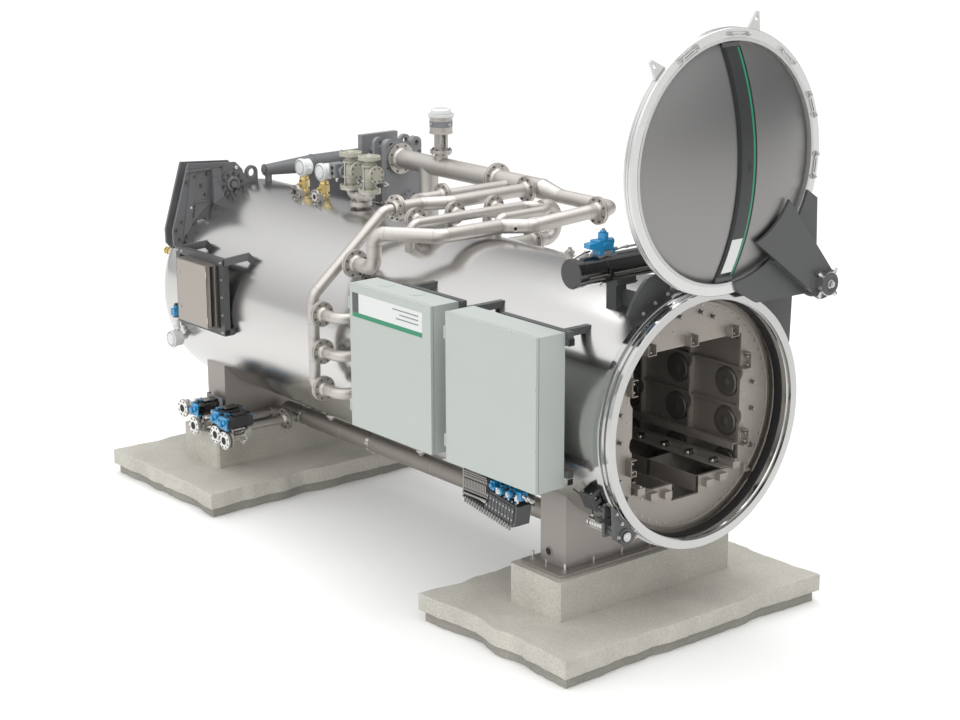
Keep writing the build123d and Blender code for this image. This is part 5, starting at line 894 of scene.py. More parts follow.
class RETORT_OT_mouth(bpy.types.Operator):
    """Fits the guides, seal, dishes, ribs, screws and rail ends that show in the mouth"""
    bl_idname = "retort.mouth"
    bl_label = "Mouth and carriage"

    def execute(self, context):
        guides = Shape()
        for y in (-400, 0, 400):
            z, pin_z = UPPER_GUIDE
            folded_bracket(guides, (BULKHEAD_X + 0.3, y, z), Y, Z, X, 76, 74, 60)
            guides.bar((BULKHEAD_X + 8, y, pin_z), X * 38, 9, 16, chamfer=1)
        for side in SIDES:
            for z in SIDE_GUIDE_ZS:
                y = side * (CHANNEL_HALF + 28)
                folded_bracket(guides, (BULKHEAD_X + 0.3, y, z), Z * side, -Y * side, X, 118, 54, 56)
                for rise in (-30, 30):
                    guides.bar((BULKHEAD_X + 6, y, z + rise), X * 38, 8, 16, chamfer=1)
        guide = place("folded_guides", guides, "carriage_steel", bevel=1.0)
        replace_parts(guide, "guide_blocks")

        places = bolt_circle((BULKHEAD_X, 0, AXIS_Z), X, BULKHEAD_SCREW_RADIUS, 60, 0)
        places += [((BULKHEAD_X, side * 560, z), X) for side in SIDES for z in (2080, 1840, 1700, 1500)]
        places += [((BULKHEAD_X, y, 2260), X) for y in (-300, -150, 150, 300)]
        places += [((BULKHEAD_X, side * y, 1130), X) for side in SIDES for y in (180, 260, 340, 420)]
        fasten("bulkhead_screws", places, 0.55, 0, "zinc")
        studs = [((BULKHEAD_X, y, z), X) for y, z in ((104, 2366), (221, 2316), (-104, 2366))]
        studs += [((BULKHEAD_X, side * 640, z), X) for side in SIDES for z in (1772, 1577, 1305)]
        discs("bulkhead_studs", studs, ((20, 20, 4), (13, 13, 24), (16, 14, 6)), "roller_steel")

        rim = Shape().tube((BULKHEAD_X - 2, 0, AXIS_Z), X, 8, 800, 792, 96)
        place("bulkhead_rim", rim, "carriage_steel", bevel=1.0)
        lip = [(0, 829), (0, 837.8), (58, 837.8), (58, 831), (30, 825)]
        seal = Shape().lathe((MOUTH_SEAL_X, 0, AXIS_Z), X, lip, 128, closed=True)
        place("mouth_seal", seal, "rubber", slot="mouth_steel")

        bays = [(front, side) for front in BAY_FRONTS[:-1] for side in SIDES]
        dishes = [
            ((front - 140, side * PANEL_Y, z), -Y * side) for front, side in bays for z in DISH_HEIGHTS
        ]
        dish = sizes().dish_radius / MM
        layers = ((dish, dish * 0.97, 8), (dish * 0.88, dish * 0.80, 8), (dish * 0.30, dish * 0.22, 4))
        # the dishes take a darker steel, as painted shade in their recesses
        discs("pressed_dishes", dishes, layers, "shade_steel")
        ribs = Shape()
        for front, back in zip(BAY_FRONTS, BAY_FRONTS[1:]):
            for side in SIDES:
                for z in RIB_HEIGHTS:
                    near = side * (PANEL_Y - 1)
                    ribs.box((back + 22, near, z - 2), (front - 1, near - side * 26, z + 2))
                    ribs.box((back + 22, near - side * 22, z - 16), (front - 1, near - side * 26, z - 1))
        place("bay_ribs", ribs, "carriage_steel")
        dots = []
        for front, side in bays[:8]:
            for z in range(1240, 2080, 60):
                dots += [((front - back, side * PANEL_Y, z), -Y * side) for back in (300, 440)]
        fasten("panel_rivets", dots, 0.4, 0, "carriage_steel")

        rails = Shape()
        back, front = BAY_FRONTS[-1] + 40, BULKHEAD_X - 2
        for side in SIDES:
            for y0, y1, z0, z1 in RAIL_STRIPS:
                rails.box((back, side * y0, z0), (front, side * y1, z1))
        place("side_guide_rails", rails, "carriage_steel", bevel=1.0)

        ends = Shape()
        for side in SIDES:
            for y0, y1, z0, z1 in RAIL_ENDS:
                ends.box((BULKHEAD_X, side * y0, z0), (BULKHEAD_X + 46, side * y1, z1))
            ends.bar((BULKHEAD_X + 2, side * 465, 1232), X * 38, 12, 18, chamfer=1.5)
            ends.prism(
                [(0, 0), (60, 0), (60, 18), (18, 18), (18, 60), (0, 60)],
                (BULKHEAD_X, side * 560, 1120), Y * side, Z, 30 * side,
            )
        place("rail_end_blocks", ends, "carriage_steel", bevel=2.0)
        x = BULKHEAD_X - 124
        caps = []
        for i in range(18):
            caps += [((x - ROLLER_PITCH * i, side * 382, 1200), -Y * side) for side in SIDES]
        discs("roller_caps", caps, ((24, 21, 4), (10, 9, 6)), "bright_steel")
        return {"FINISHED"}


# Door

CLIP_ANGLES = (118, 86, 52, 22, -7)
CLIP_RADIUS = 848
CLIP_REACH = 78
CLIP_FACE_X = 924.6
BAND_HALF = 86
DOME_BASE = 804.7
DOME_START = 868
DOME_HEIGHT = 205
HUB_Y = 915
HUB_Z = 2520
HUB_FACE_X = 1071
BAND_REACH = 760
# The pale patch at the band's lower end: where it lies along the band and across it
PATCH_SPAN = (-735, -490)
PATCH_EDGES = (-BAND_HALF + 34, BAND_HALF - 38)
BAND_SPAN = (-BAND_REACH, BAND_REACH)
# Name, finish and strips of each piece on the band. A strip has edges, a span, a lift and a lean.
BAND_PIECES = (
    ("band_black_edges", "rubber", (
        (-BAND_HALF, -BAND_HALF + 30, *BAND_SPAN, 8.6, 0),
        (BAND_HALF - 12, BAND_HALF, *BAND_SPAN, 8.6, 0),
    )),
    ("band_green_line", "green_paint", ((BAND_HALF - 34, BAND_HALF - 16, *BAND_SPAN, 8.8, 0),)),
    ("band_pale_patch", "white_enamel", ((*PATCH_EDGES, *PATCH_SPAN, 8.9, 0),)),
    ("band_dark_wedge", "rubber", ((*PATCH_EDGES, -BAND_REACH, PATCH_SPAN[0], 9.0, 2.6),)),
)
SEAM_ANGLES = (-62, -20)
SEAM_STEPS = 12
SEAM_RADIUS = 640
SEAM_DIP = 40


def dome_x(radius, grow=0.0):
    """The dome's face at a distance from its axis."""
    ball = (DOME_BASE ** 2 + DOME_HEIGHT ** 2) / (2 * DOME_HEIGHT)
    return DOME_START + DOME_HEIGHT - ball + math.sqrt((ball + grow) ** 2 - radius ** 2)


def dome_strip(shape, left, right, low, high, lift, lean, thickness=1.2, steps=60):
    """A thin strip on the band between two offsets from its middle, whose left edge may lean."""
    rings = []
    for i in range(steps + 1):
        v = low + (high - low) * i / steps
        edge = left + (v - low) * lean
        outer = [(dome_x(math.hypot(y, v), lift), DOOR_Y + y, DOOR_Z + v) for y in (edge, right)]
        inner = [(x - thickness, y, z) for x, y, z in reversed(outer)]
        rings.append(outer + inner)
    shape.skin(rings)


class RETORT_OT_door(bpy.types.Operator):
    """Adds the door's band pieces, clip bolts, lips, gasket, seam and hub fittings"""
    bl_idname = "retort.door"
    bl_label = "Door"

    def execute(self, context):
        for name, finish, strips in BAND_PIECES:
            shape = Shape()
            for strip in strips:
                dome_strip(shape, *strip)
            place(name, shape, finish, "door", "band_paint")
        feet = Shape()
        for side in SIDES:
            z = DOOR_Z + side * 782
            feet.box((880, DOOR_Y - 80, z - 16), (896, DOOR_Y + 80, z + 16))
        place("band_feet", feet, "dark_paint", "door", bevel=2.0)

        bolts = []
        for angle in CLIP_ANGLES:
            turn = math.radians(angle)
            y, z = on_circle(CLIP_RADIUS, angle, DOOR_Y, DOOR_Z)
            for side in SIDES:
                away = side * CLIP_REACH
                bolts.append(((CLIP_FACE_X, y - math.sin(turn) * away, z + math.cos(turn) * away), X))
        fasten("clip_bolts", bolts, 0.85, 6, "zinc", "door")
        lip = Shape()
        lip.tube((DOOR_FACE_X - 1, DOOR_Y, DOOR_Z), X, 5, 826, 806, 128)
        lip.tube((DOOR_BACK_X - 4, DOOR_Y, DOOR_Z), X, 5, 884, 866, 128)
        place("door_lips", lip, "mouth_steel", "door", "door_steel", bevel=1.5)
        gasket = Shape().tube((DOOR_BACK_X - 7, DOOR_Y, DOOR_Z), X, 8, 858, 840, 128)
        place("door_gasket", gasket, "rubber", "door", "door_steel", bevel=2.0)

        rim = [(0, 80), (5, 80), (8, 76), (8, 52), (3, 48)]
        hub = Shape().lathe((HUB_FACE_X - 1, HUB_Y, HUB_Z), X, rim, 48)
        place("hub_rim", hub, "dark_paint", "door", bevel=1.0)
        fasten("hub_bolt", [((HUB_FACE_X + 2, HUB_Y, HUB_Z), X)], 1.9, 8, "zinc", "door")
        stubs = Shape()
        for angle in (45, 135, 225, 315):
            turn = math.radians(angle)
            out = Vector((0, math.cos(turn), math.sin(turn)))
            middle = Vector((1040, HUB_Y, HUB_Z))
            stubs.rod(middle + out * 82, middle + out * 104, 11, 16)
            stubs.rod(middle + out * 100, middle + out * 128, 18, 6)
        place("hub_grease_stubs", stubs, "bright_steel", "door")

        seam = Shape()
        points = []
        start, stop = SEAM_ANGLES
        for i in range(SEAM_STEPS + 1):
            share = i / SEAM_STEPS
            radius = SEAM_RADIUS - SEAM_DIP * math.sin(math.pi * share)
            y, z = on_circle(radius, start + (stop - start) * share, DOOR_Y, DOOR_Z)
            points.append((dome_x(math.hypot(y - DOOR_Y, z - DOOR_Z), 0.6), y, z))
        seam.pipe(points, 3.0, 8)
        place("dome_weld_seam", seam, "weld_steel", "door", "door_steel")
        return {"FINISHED"}


# Pipework

# Centre, axis and pipe radius of each bolted pair, and the sides on which a pipe leaves it
FLANGES = (
    ((-4131.7, 1150, 2680), X, 84, (1,)), ((-2801, 1150, 2680), X, 84, (-1, 1)),
    ((-1370, 982, 2653), Y, 57, (-1, 1)), ((-2235, -735, 2330), X, 57, (1,)),
    ((-2300, 1046, 2680), Y, 54, (-1,)), ((-2410, -200, 2665), Y, 54, (-1, 1)),
    ((-2600, 415, 2665), Y, 44.5, (-1, 1)), ((-2298, -1010, 1965), X, 44.5, (-1, 1)),
    ((-2298, -1010, 1670), X, 44.5, (-1, 1)), ((-2298, -1010, 1375), X, 44.5, (-1, 1)),
    ((-2110, -242, 2630), X, 38, (-1, 1)), ((-2110, 145, 2630), X, 38, (-1, 1)),
    ((-2110, 542, 2630), X, 38, (-1, 1)), ((-1852.5, 740, 2370), Y, 57, (-1, 1)),
    ((-3960, -260, 592), Y, 38, (-1, 1)),
)
FLANGE_RISE = 53
FLANGE_HALF = 18
BOLT_RISE = 33

# Corner points, pipe radius and bend of each run, for the welds at its elbows
RUNS = (
    (((-1984, 1150, 2653), (-1370, 1150, 2653), (-1370, 1000, 2653)), 57, (95,)),
    (((-3727, 1150, 2680), (-3727, 1150, 1650), (-3727, 830, 1650)), 84, (130,)),
    (
        (
            (-1370, 1000, 2653), (-1370, 880, 2653), (-1425, 350, 2606), (-1572, 170, 2606),
            (-1572, -420, 2606), (-1985, -735, 2606), (-1985, -735, 2330), (-2235, -735, 2330),
        ),
        57, (90,) * 6,
    ),
    (((-2300, 1076, 2680), (-2300, 250, 2672), (-2410, 50, 2668), (-2410, -200, 2665)), 54, (120, 120)),
    (((-2600, 1076, 2665), (-2600, 150, 2665), (-2410, -50, 2666)), 44.5, (110,)),
    (
        (
            (-2410, -200, 2665), (-2410, -330, 2655), (-2410, -1010, 2090), (-2410, -1010, 1375),
            (-2050, -1010, 1375), (-2050, -664, 1375),
        ),
        44.5, (100, 100, 65, 100),
    ),
    (((-2410, -1010, 1965), (-2050, -1010, 1965), (-2050, -664, 1965)), 42, (100,)),
    (((-2410, -1010, 1670), (-2050, -1010, 1670), (-2050, -664, 1670)), 42, (100,)),
    (
        (
            (-1980, -400, 2092), (-1980, -400, 2630), (-1980, 830, 2630), (-1725, 830, 2630),
            (-1725, 250, 2630), (-1725, 250, 2092),
        ),
        38, (80, 120, 120, 80),
    ),
    (
        ((-1852.5, 811, 2630), (-1852.5, 960, 2630), (-1852.5, 960, 2370), (-1852.5, 0, 2370)), 57,
        (100, 100)
    ),
)
# Straight welds: centre, axis and pipe radius
GIRTH_WELDS = (
    ((-2217, 1150, 2680), X, 84), ((-1984, 1150, 2653), X, 57), ((-3400, 1150, 2680), X, 84),
    ((-2410, -1010, 1870), Z, 44.5), ((-2410, -1010, 1765), Z, 44.5), ((-2410, -1010, 1575), Z, 44.5),
    ((-3300, -100, 600), X, 75), ((-2050, -100, 600), X, 75), ((-800, -100, 600), X, 75),
    ((-330, -100, 600), X, 75), ((-1980, 200, 2630), Y, 38), ((-1572, -120, 2606), Y, 57),
    ((-1400, 620, 2630), Vector((-55, -530, -47)), 57), ((-2300, 700, 2676), Y, 54),
)


def weld(shape, spot, axis, radius):
    """A narrow bead round a pipe."""
    axis = Vector(axis).normalized()
    rise = sizes().bead_height / MM
    flank = radius + rise * 0.6
    profile = [(-3.5, radius - 1), (-2.5, flank), (0, radius + rise), (2.5, flank), (3.5, radius - 1)]
    shape.lathe(spot, axis, profile, 40, closed=True)


def elbow_welds(shape, points, radius, bends):
    """A bead at both ends of each elbow of a run."""
    points = [Vector(p) for p in points]
    for before, corner, after, bend in zip(points, points[1:], points[2:], bends):
        a = (before - corner).normalized()
        b = (after - corner).normalized()
        cut = bend / math.tan(a.angle(b) / 2)
        for way in (a, b):
            weld(shape, corner + way * (cut + 2), way, radius)


class RETORT_OT_pipework(bpy.types.Operator):
    """Adds flange bolts, gaskets, weld necks and the weld beads at the elbows"""
    bl_idname = "retort.pipework"
    bl_label = "Pipework"

    def execute(self, context):
        large, small = [], []
        necks = Shape()
        gaskets = Shape()
        for centre, axis, radius, sides in FLANGES:
            centre = Vector(centre)
            rim = radius + FLANGE_RISE
            gaskets.tube(centre - axis * 1.5, axis, 3, rim + 0.6, rim - 6, 48)
            for side in SIDES:
                face = centre + axis * side * FLANGE_HALF
                bolts = bolt_circle(face, axis * side, radius + BOLT_RISE)
                (large if radius > 50 else small).extend(bolts)
                profile = [(-1, 2), (-1, radius + 14), (3, radius + 12), (3, 2)]
                if side in sides:
                    rises = ((-1, -2), (-1, 15), (6, 13), (24, 1), (26, -2))
                    profile = [(along, radius + rise) for along, rise in rises]
                necks.lathe(face, axis * side, profile, 40, closed=True)
        place("weld_necks", necks, "pipe_steel")
        place("flange_gaskets", gaskets, "rubber", slot="pipe_steel")
        fasten("flange_bolts_large", large, 0.62, 6, "dark_steel")
        fasten("flange_bolts_small", small, 0.5, 5, "dark_steel")
        beads = Shape()
        for points, radius, bends in RUNS:
            elbow_welds(beads, points, radius, bends)
        for spot, axis, radius in GIRTH_WELDS:
            weld(beads, spot, axis, radius)
        place("pipe_welds", beads, "weld_steel")
        out = Vector((1, -1, 0)).normalized()
        tip = Vector((-1498.5, 260, 2606)) + out * 105
        port = Shape().tube(tip - out * 26, out, 28, 24, 14, 28)
        place("crossover_port_socket", port, "pipe_steel", bevel=1.5)
        # a black plug in the socket's bore: painted shade inside the port
        bore = Shape().rod(tip - out * 4, tip + out * 0.6, 14, 24)
        place("crossover_port_bore", bore, "rubber", slot="pipe_steel")
        clamps = Shape()
        for x in (-3900, -2900, -1560, -520):
            clamps.tube((x - 20, -100, 600), X, 40, 80, 74, 48)
            clamps.box((x - 20, -118, 512), (x + 20, -82, 527))
        place("drain_header_clamps", clamps, "bright_steel", slot="pipe_steel", bevel=1.5)
        rings = Shape()
        for x in (-3480, -2230, -980):
            rings.tube((x, -100, 692), Z, 22, 58, 39, 36)
        place("drain_stub_collars", rings, "pipe_steel", bevel=2.0)
        return {"FINISHED"}


# Instruments

TRANSMITTER_XS = (-3960, -3670)
HEAD_Z = 2757
HEAD_FRONT_Y = -46
HEAD_BODY_Z = 2618
# Height and profile of the two union rings under each head
UNION_RINGS = (
    (2552, ((0, 30), (0, 44), (5, 47), (14, 47), (19, 44), (19, 30))),
    (2654, ((0, 24), (0, 37), (4, 40), (16, 40), (20, 36), (20, 24))),
)
NOZZLE_FACE = (-136, 2569.5)
NOZZLE_SHIFT = 52
RELIEF_XS = (-3287, -3031)
RELIEF_SEAT_Z = 2706
RELIEF_WHEEL_Z = 2966
RELIEF_PROFILE = (
    (0, 45), (8, 50), (40, 53), (62, 53), (62, 68), (74, 68), (74, 53), (150, 54), (172, 50), (176, 45)
)
CONTROL_X = -3550
HEADER_Y = 1150
SIDE_X = -4659
SIDE_Y = -885
SAMPLE_Y = -640
SAMPLE_Z = 1926


def instrument_cover(name, x, front_y, z):
    """The screwed cover of a round housing: rings on its face and grips round its edge."""
    face = [((x, front_y, z), -Y)]
    discs(f"{name}_cover", face, ((52, 50, 4), (44, 41, 3), (23, 20, 3)), "white_enamel")
    grips = Shape()
    for spot in ring_places((x, front_y + 14, z), Y, 73, 18):
        grips.rod(spot - Y * 8, spot + Y * 10, 3.5, 10)
    grips.tube((x, front_y + 26, z), Y, 4, 75, 68, 48)
    place(f"{name}_grips", grips, "white_enamel", bevel=0.6)
    ring = Shape().tube((x, front_y - 0.6, z), Y, 3, 62, 55, 48)
    place(f"{name}_groove", ring, "grey_paint", slot="white_enamel")


class RETORT_OT_instruments(bpy.types.Operator):
    """Details the transmitters, relief valves, control valve, switch box and nozzles"""
    bl_idname = "retort.instruments"
    bl_label = "Instruments"

    def execute(self, context):
        brass = Shape()
        for i, x in enumerate(TRANSMITTER_XS):
            instrument_cover(f"transmitter_{i + 1}", x, HEAD_FRONT_Y, HEAD_Z)
            for z, profile in UNION_RINGS:
                brass.lathe((x, 0, z), Z, profile, 40, closed=True)
            brass.bar((x, -20, HEAD_BODY_Z), -Y * 44, 15, 6)
            brass.bar((x, -60, HEAD_BODY_Z), -Y * 14, 10, 20, chamfer=2)
            brass.bar((x - 20, 0, HEAD_BODY_Z), -X * 42, 12, 20, chamfer=2)
            brass.lathe((x, 0, 2679), Z, [(0, 19), (0, 26), (8, 26), (12, 19)], 6, closed=True)
        place("transmitter_nuts", brass, "brass", bevel=1.2)
        glands = Shape()
        for x in TRANSMITTER_XS:
            glands.bar((x + 62, 10, HEAD_Z), X * 28, 14, 6)
            glands.bar((x + 88, 10, HEAD_Z), X * 16, 10, 20, end_radius=8)
        place("transmitter_glands", glands, "white_enamel", bevel=0.8)

        y, z = NOZZLE_FACE
        faces = [((x + NOZZLE_SHIFT, y, z), -Y) for x in TRANSMITTER_XS]
        discs("nozzle_faces", faces, ((38, 38, 3),), "bright_steel")
        # a thin black disc on each nozzle face: painted shade inside its bore
        holes = [((x + NOZZLE_SHIFT, y - 3, z), -Y) for x in TRANSMITTER_XS]
        discs("nozzle_bores", holes, ((20, 20, 0.8),), "rubber")
        screws = [bolt for x in TRANSMITTER_XS for bolt in bolt_circle((x + NOZZLE_SHIFT, y, z), -Y, 49)]
        fasten("nozzle_bolts", screws, 0.5, 3, "dark_steel")

        beige = Shape()
        steel = Shape()
        bolts = bolt_circle((-3156, 0, 2588), Z, 74)
        for x in RELIEF_XS:
            bolts += bolt_circle((x, 0, RELIEF_SEAT_Z), Z, 74)
            bolts += bolt_circle((x, 0, 2670), -Z, 74)
            bolts += bolt_circle((x + 102, 0, 2830), X, 56)
            beige.lathe((x, 0, RELIEF_SEAT_Z), Z, RELIEF_PROFILE, 40, closed=True)
            bonnet = [(0, 30), (0, 54), (14, 54), (18, 48), (18, 30)]
            beige.lathe((x, 0, 2905), Z, bonnet, 8, closed=True)
            wheel = Vector((x, 0, RELIEF_WHEEL_Z))
            beige.tube(wheel, Z, 9, 91, 78, 48)
            beige.lathe(wheel, Z, [(0, 2), (0, 36), (10, 32), (18, 20), (18, 2)], 24, closed=True)
            for turn in range(3):
                angle = math.radians(120 * turn + 30)
                out = Vector((math.cos(angle), math.sin(angle), 0))
                beige.rod(wheel + Z * 5 + out * 24, wheel + Z * 5 + out * 80, 6, 12)
            for side in SIDES:
                steel.bar((x, side * 60, 2700), Z * 200, 6, 12)
            steel.bar((x, 0, 2980), Z * 16, 9, 6)
        place("relief_valve_bellies", beige, "valve_paint", bevel=1.0)
        place("relief_valve_rods", steel, "bright_steel", slot="valve_paint")
        fasten("relief_bolts", bolts, 0.45, 5, "dark_steel")

        cover = Shape().box((-3512, -58, 2748), (-3433, -51, 2852))
        place("switch_box_cover", cover, "grey_paint", bevel=3.0)
        spots = [((-3472.5 + dx, -58, 2800 + dz), -Y) for dx in (-32, 32) for dz in (-44, 44)]
        fasten("switch_box_screws", spots, 0.4, 0, "zinc")
        lamps = [((-3469, -58, z), -Y) for z in (2824, 2778)]
        discs("switch_box_windows", lamps, ((17, 17, 3), (13, 12, 3)), "rubber")
        gland = Shape().bar((-3490, 0, 2742), -Z * 24, 13, 6).bar((-3490, 0, 2720), -Z * 20, 8, 16)
        place("switch_box_gland", gland, "bright_steel", slot="grey_paint")

        centre = Vector((CONTROL_X, HEADER_Y, 0))
        bolts = bolt_circle(centre + Z * 2834, Z, 78)
        bolts += bolt_circle(centre + Z * 2806, -Z, 78)
        fasten("control_bolts", bolts, 0.7, 8, "dark_steel")
        band = Shape().tube(centre + Z * 3034, Z, 52, 100, 96, 56)
        place("control_actuator_band", band, "grey_paint", slot="pipe_steel", bevel=2.0)
        trim = Shape()
        trim.tube(centre + Z * 2976, Z, 14, 101, 90, 56)
        trim.tube(centre + Z * 3108, Z, 12, 102, 94, 56)
        trim.bar(centre + Z * 2868, Z * 28, 26, 6)
        trim.bar(centre + Z * 2918, Z * 28, 20, 24, chamfer=2)
        trim.box((CONTROL_X + 30, HEADER_Y - 46, 2890), (CONTROL_X + 34, HEADER_Y - 22, 2970))
        trim.bar((CONTROL_X + 98, HEADER_Y, 3060), X * 24, 14, 6)
        trim.bar((CONTROL_X, HEADER_Y - 98, 3060), -Y * 20, 11, 18, chamfer=2)
        place("control_valve_trim", trim, "pipe_steel", bevel=1.0)
        ridges = Shape()
        for spot in ring_places(centre + Z * 3133, Z, 111, 24):
            ridges.rod(spot - Z * 8, spot + Z * 8, 3, 8)
        ridges.tube(centre + Z * 3150, Z, 6, 92, 80, 48)
        place("control_cap_ridges", ridges, "white_enamel")

        plugs = Shape()
        for x in (-600, -430):
            plugs.bar((x, 0, 2601), Z * 11, 24, 24, chamfer=2)
            plugs.box((x - 11, -11, 2611), (x + 11, 11, 2630))
            plugs.tube((x, 0, 2548), Z, 12, 37, 29, 32)
        place("top_nozzle_plugs", plugs, "pipe_steel", bevel=1.0)

        instrument_cover("side_transmitter", SIDE_X, -951, 1276)
        nuts = Shape()
        for z in (1360, 1440):
            nuts.bar((SIDE_X, SIDE_Y, z), Z * 24, 34, 6)
        place("side_transmitter_nuts", nuts, "bright_steel", slot="white_enamel", bevel=1.0)
        blue = Shape()
        blue.box((-4690, -922, 1478), (-4628, -850, 1540))
        blue.bar((SIDE_X, SIDE_Y - 1, 1538), Z * 28, 22, 24, chamfer=3)
        place("side_fitting_blue", blue, "blue_enamel", bevel=3.0)
        dark = Shape()
        dark.bar((SIDE_X, SIDE_Y - 1, 1464), Z * 16, 30, 24)
        dark.bar((SIDE_X, SIDE_Y - 1, 1565), Z * 17, 15, 20, chamfer=2)
        place("side_fitting_dark", dark, "black_paint", slot="blue_enamel")
        rings = Shape()
        for x in (-5092, -5030, -4976):
            rings.bar((x - 9, SAMPLE_Y, SAMPLE_Z), X * 18, 38, 6)
        rings.tube((-5118, SAMPLE_Y, SAMPLE_Z), X, 10, 30, 18, 28)
        rings.bar((-5192, SAMPLE_Y, SAMPLE_Z), X * 76, 25, 24, chamfer=3)
        for x in (-5180, -5146):
            rings.bar((x - 8, SAMPLE_Y, SAMPLE_Z), X * 16, 36, 6)
        rings.bar((-5062, SAMPLE_Y, SAMPLE_Z), Z * 58, 9, 16)
        rings.box((-5076, -652, 1980), (-5000, -628, 1988))
        place("sample_valve_rings", rings, "brass", bevel=1.0)
        return {"FINISHED"}


# Cabinets

# The plain label: name, finish, front and back in depth, and the fields from the door's left edge
LABEL_PIECES = (
    ("label_field", "white_enamel", -1.0, 0.5, ((34, 862, 2116, 2296),)),
    ("label_stripe", "green_paint", -1.5, -0.9, ((34, 862, 2116, 2150),)),
    ("label_bar", "dark_paint", -1.5, -0.9, ((34, 110, 2150, 2296),)),
    (
        "label_rules", "grey_paint", -1.5, -0.9,
        ((520, 820, 2258, 2267), (600, 820, 2226, 2235), (560, 820, 2194, 2203)),
    ),
)
# The latch screws of each door: its side and left edge, the place across of two, the heights of two
DOOR_SCREWS = (
    ("left", CABINET_LEFT_X, 669, (2006, 1580)), ("right", CABINET_RIGHT_X, 699, (2009, 1581)),
)
MOUNTING_PLATE_YS = (-984, -976)


class RETORT_OT_cabinets(bpy.types.Operator):
    """Adds the cabinets' folds, seals, stiffeners, screws, insides, gland plates and plain label"""
    bl_idname = "retort.cabinets"
    bl_label = "Cabinets"

    def execute(self, context):
        low, high = CABINET_Z
        front = CABINET_FRONT_Y
        left, right = CABINET_LEFT_X, CABINET_RIGHT_X
        head = sizes().screw_radius / MM
        round_head = ((head, head * 0.94, 2.5), (head * 0.8, head * 0.5, 2))
        for side, x, across, heights in DOOR_SCREWS:
            places = [((x + 942, front, z), -Y) for z in heights]
            places += [((x + across, front, z), -Y) for z in (low + 16, high - 16)]
            leaf = f"{side}_cabinet_leaf"
            discs(f"{side}_door_screws", places, round_head, "zinc", leaf)
        for side, x in (("left", left), ("right", right)):
            leaf = f"{side}_cabinet_leaf"
            end = x + CABINET_WIDTH
            lines = Shape()
            for a, b in ((x + 3, x + 5), (end - 5, end - 3)):
                lines.box((a, front - 0.6, low + 3), (b, front + 1, high - 3))
            for a, b in ((low + 3, low + 5), (high - 5, high - 3)):
                lines.box((x + 3, front - 0.6, a), (end - 3, front + 1, b))
            place(f"{side}_door_fold", lines, "cabinet_paint", leaf)
            stiff = Shape()
            for a in (x + 60, end - 90):
                stiff.box((a, front + 19, low + 60), (a + 30, front + 26, high - 60))
            place(f"{side}_door_stiffeners", stiff, "cabinet_paint", leaf, bevel=1.5)
            seal = Shape()
            a, b, c, d = x + 22, end - 22, low + 22, high - 22
            inner = [(a, c), (b, c), (b, d), (a, d)]
            for (ax, az), (bx, bz) in zip(inner, inner[1:] + inner[:1]):
                near = (min(ax, bx) - 4, front + 19.5, min(az, bz) - 4)
                seal.box(near, (max(ax, bx) + 4, front + 21.5, max(az, bz) + 4))
            place(f"{side}_door_seal", seal, "rubber", leaf, "cabinet_paint")
            plate_front, plate_back = MOUNTING_PLATE_YS
            inside = Shape().box((x + 60, plate_front, low + 70), (end - 60, plate_back, high - 70))
            place(f"{side}_mounting_plate", inside, "zinc", slot="cabinet_paint", bevel=1.0)
            gear = Shape()
            for row, z in enumerate((high - 240, high - 430, low + 330)):
                for k in range(9 - row):
                    a = x + 110 + 78 * k
                    gear.box((a, plate_front - 76, z), (a + 66, plate_front, z + 96))
            place(f"{side}_inside_gear", gear, "grey_paint", slot="cabinet_paint", bevel=2.0)
            ducts = Shape()
            for z in (high - 130, high - 330, high - 520, low + 210):
                ducts.box((x + 90, plate_front - 60, z), (end - 90, plate_front - 1, z + 50))
            place(f"{side}_cable_ducts", ducts, "cabinet_paint", bevel=1.0)
        plates = Shape()
        for x in (-1429, -1068):
            plates.bar((x, -1040, high), Z * 2.5, 62, 48, chamfer=1)
        place("gland_plates", plates, "cabinet_paint")
        stub = Shape()
        stub.bar((-1184, -1120, low), -Z * 16, 14, 6)
        stub.bar((-1184, -1120, low - 14), -Z * 26, 8, 20, chamfer=1)
        for dx in (-90, 150):
            stub.bar((-1184 + dx, -1060, low), -Z * 14, 12, 6)
        place("cabinet_drain_stub", stub, "zinc", slot="cabinet_paint")

        for name, finish, near, far, fields in LABEL_PIECES:
            shape = Shape()
            for x0, x1, z0, z1 in fields:
                shape.box((left + x0, front + near, z0), (left + x1, front + far, z1))
            place(name, shape, finish, "left_cabinet_leaf", "cabinet_paint")

        rails = Shape()
        for x in (left, right):
            rails.box((x + 300, -955, 2320), (x + CABINET_WIDTH + 38, -909, 2366))
        place("cabinet_top_rails", rails, "dark_paint", bevel=3.0)
        ends = Shape()
        x = right + CABINET_WIDTH + 40
        for z in (low + 70, high - 40):
            ends.box((x - 1, -956, z - 46), (x + 2, -910, z - 4))
        place("frame_rail_ends", ends, "rubber", slot="dark_paint")
        return {"FINISHED"}


# Door drive

CYLINDER = (320, 2712)
CLAMP_YS = (-560, -60, 150)
# Points from the cylinder's middle plane, radius, sides and bend of each line
CYLINDER_LINES = (
    (((20, -440, 2830), (20, -380, 2838), (20, 60, 2838), (20, 110, 2806)), 8, 14, 30),
    (((-30, -620, 2836), (-30, -690, 2830), (-30, -770, 2806)), 7, 14, 24),
    (((-46, -560, 2830), (-90, -560, 2800), (-120, -500, 2700), (-110, -440, 2560)), 6, 12, 40),
)


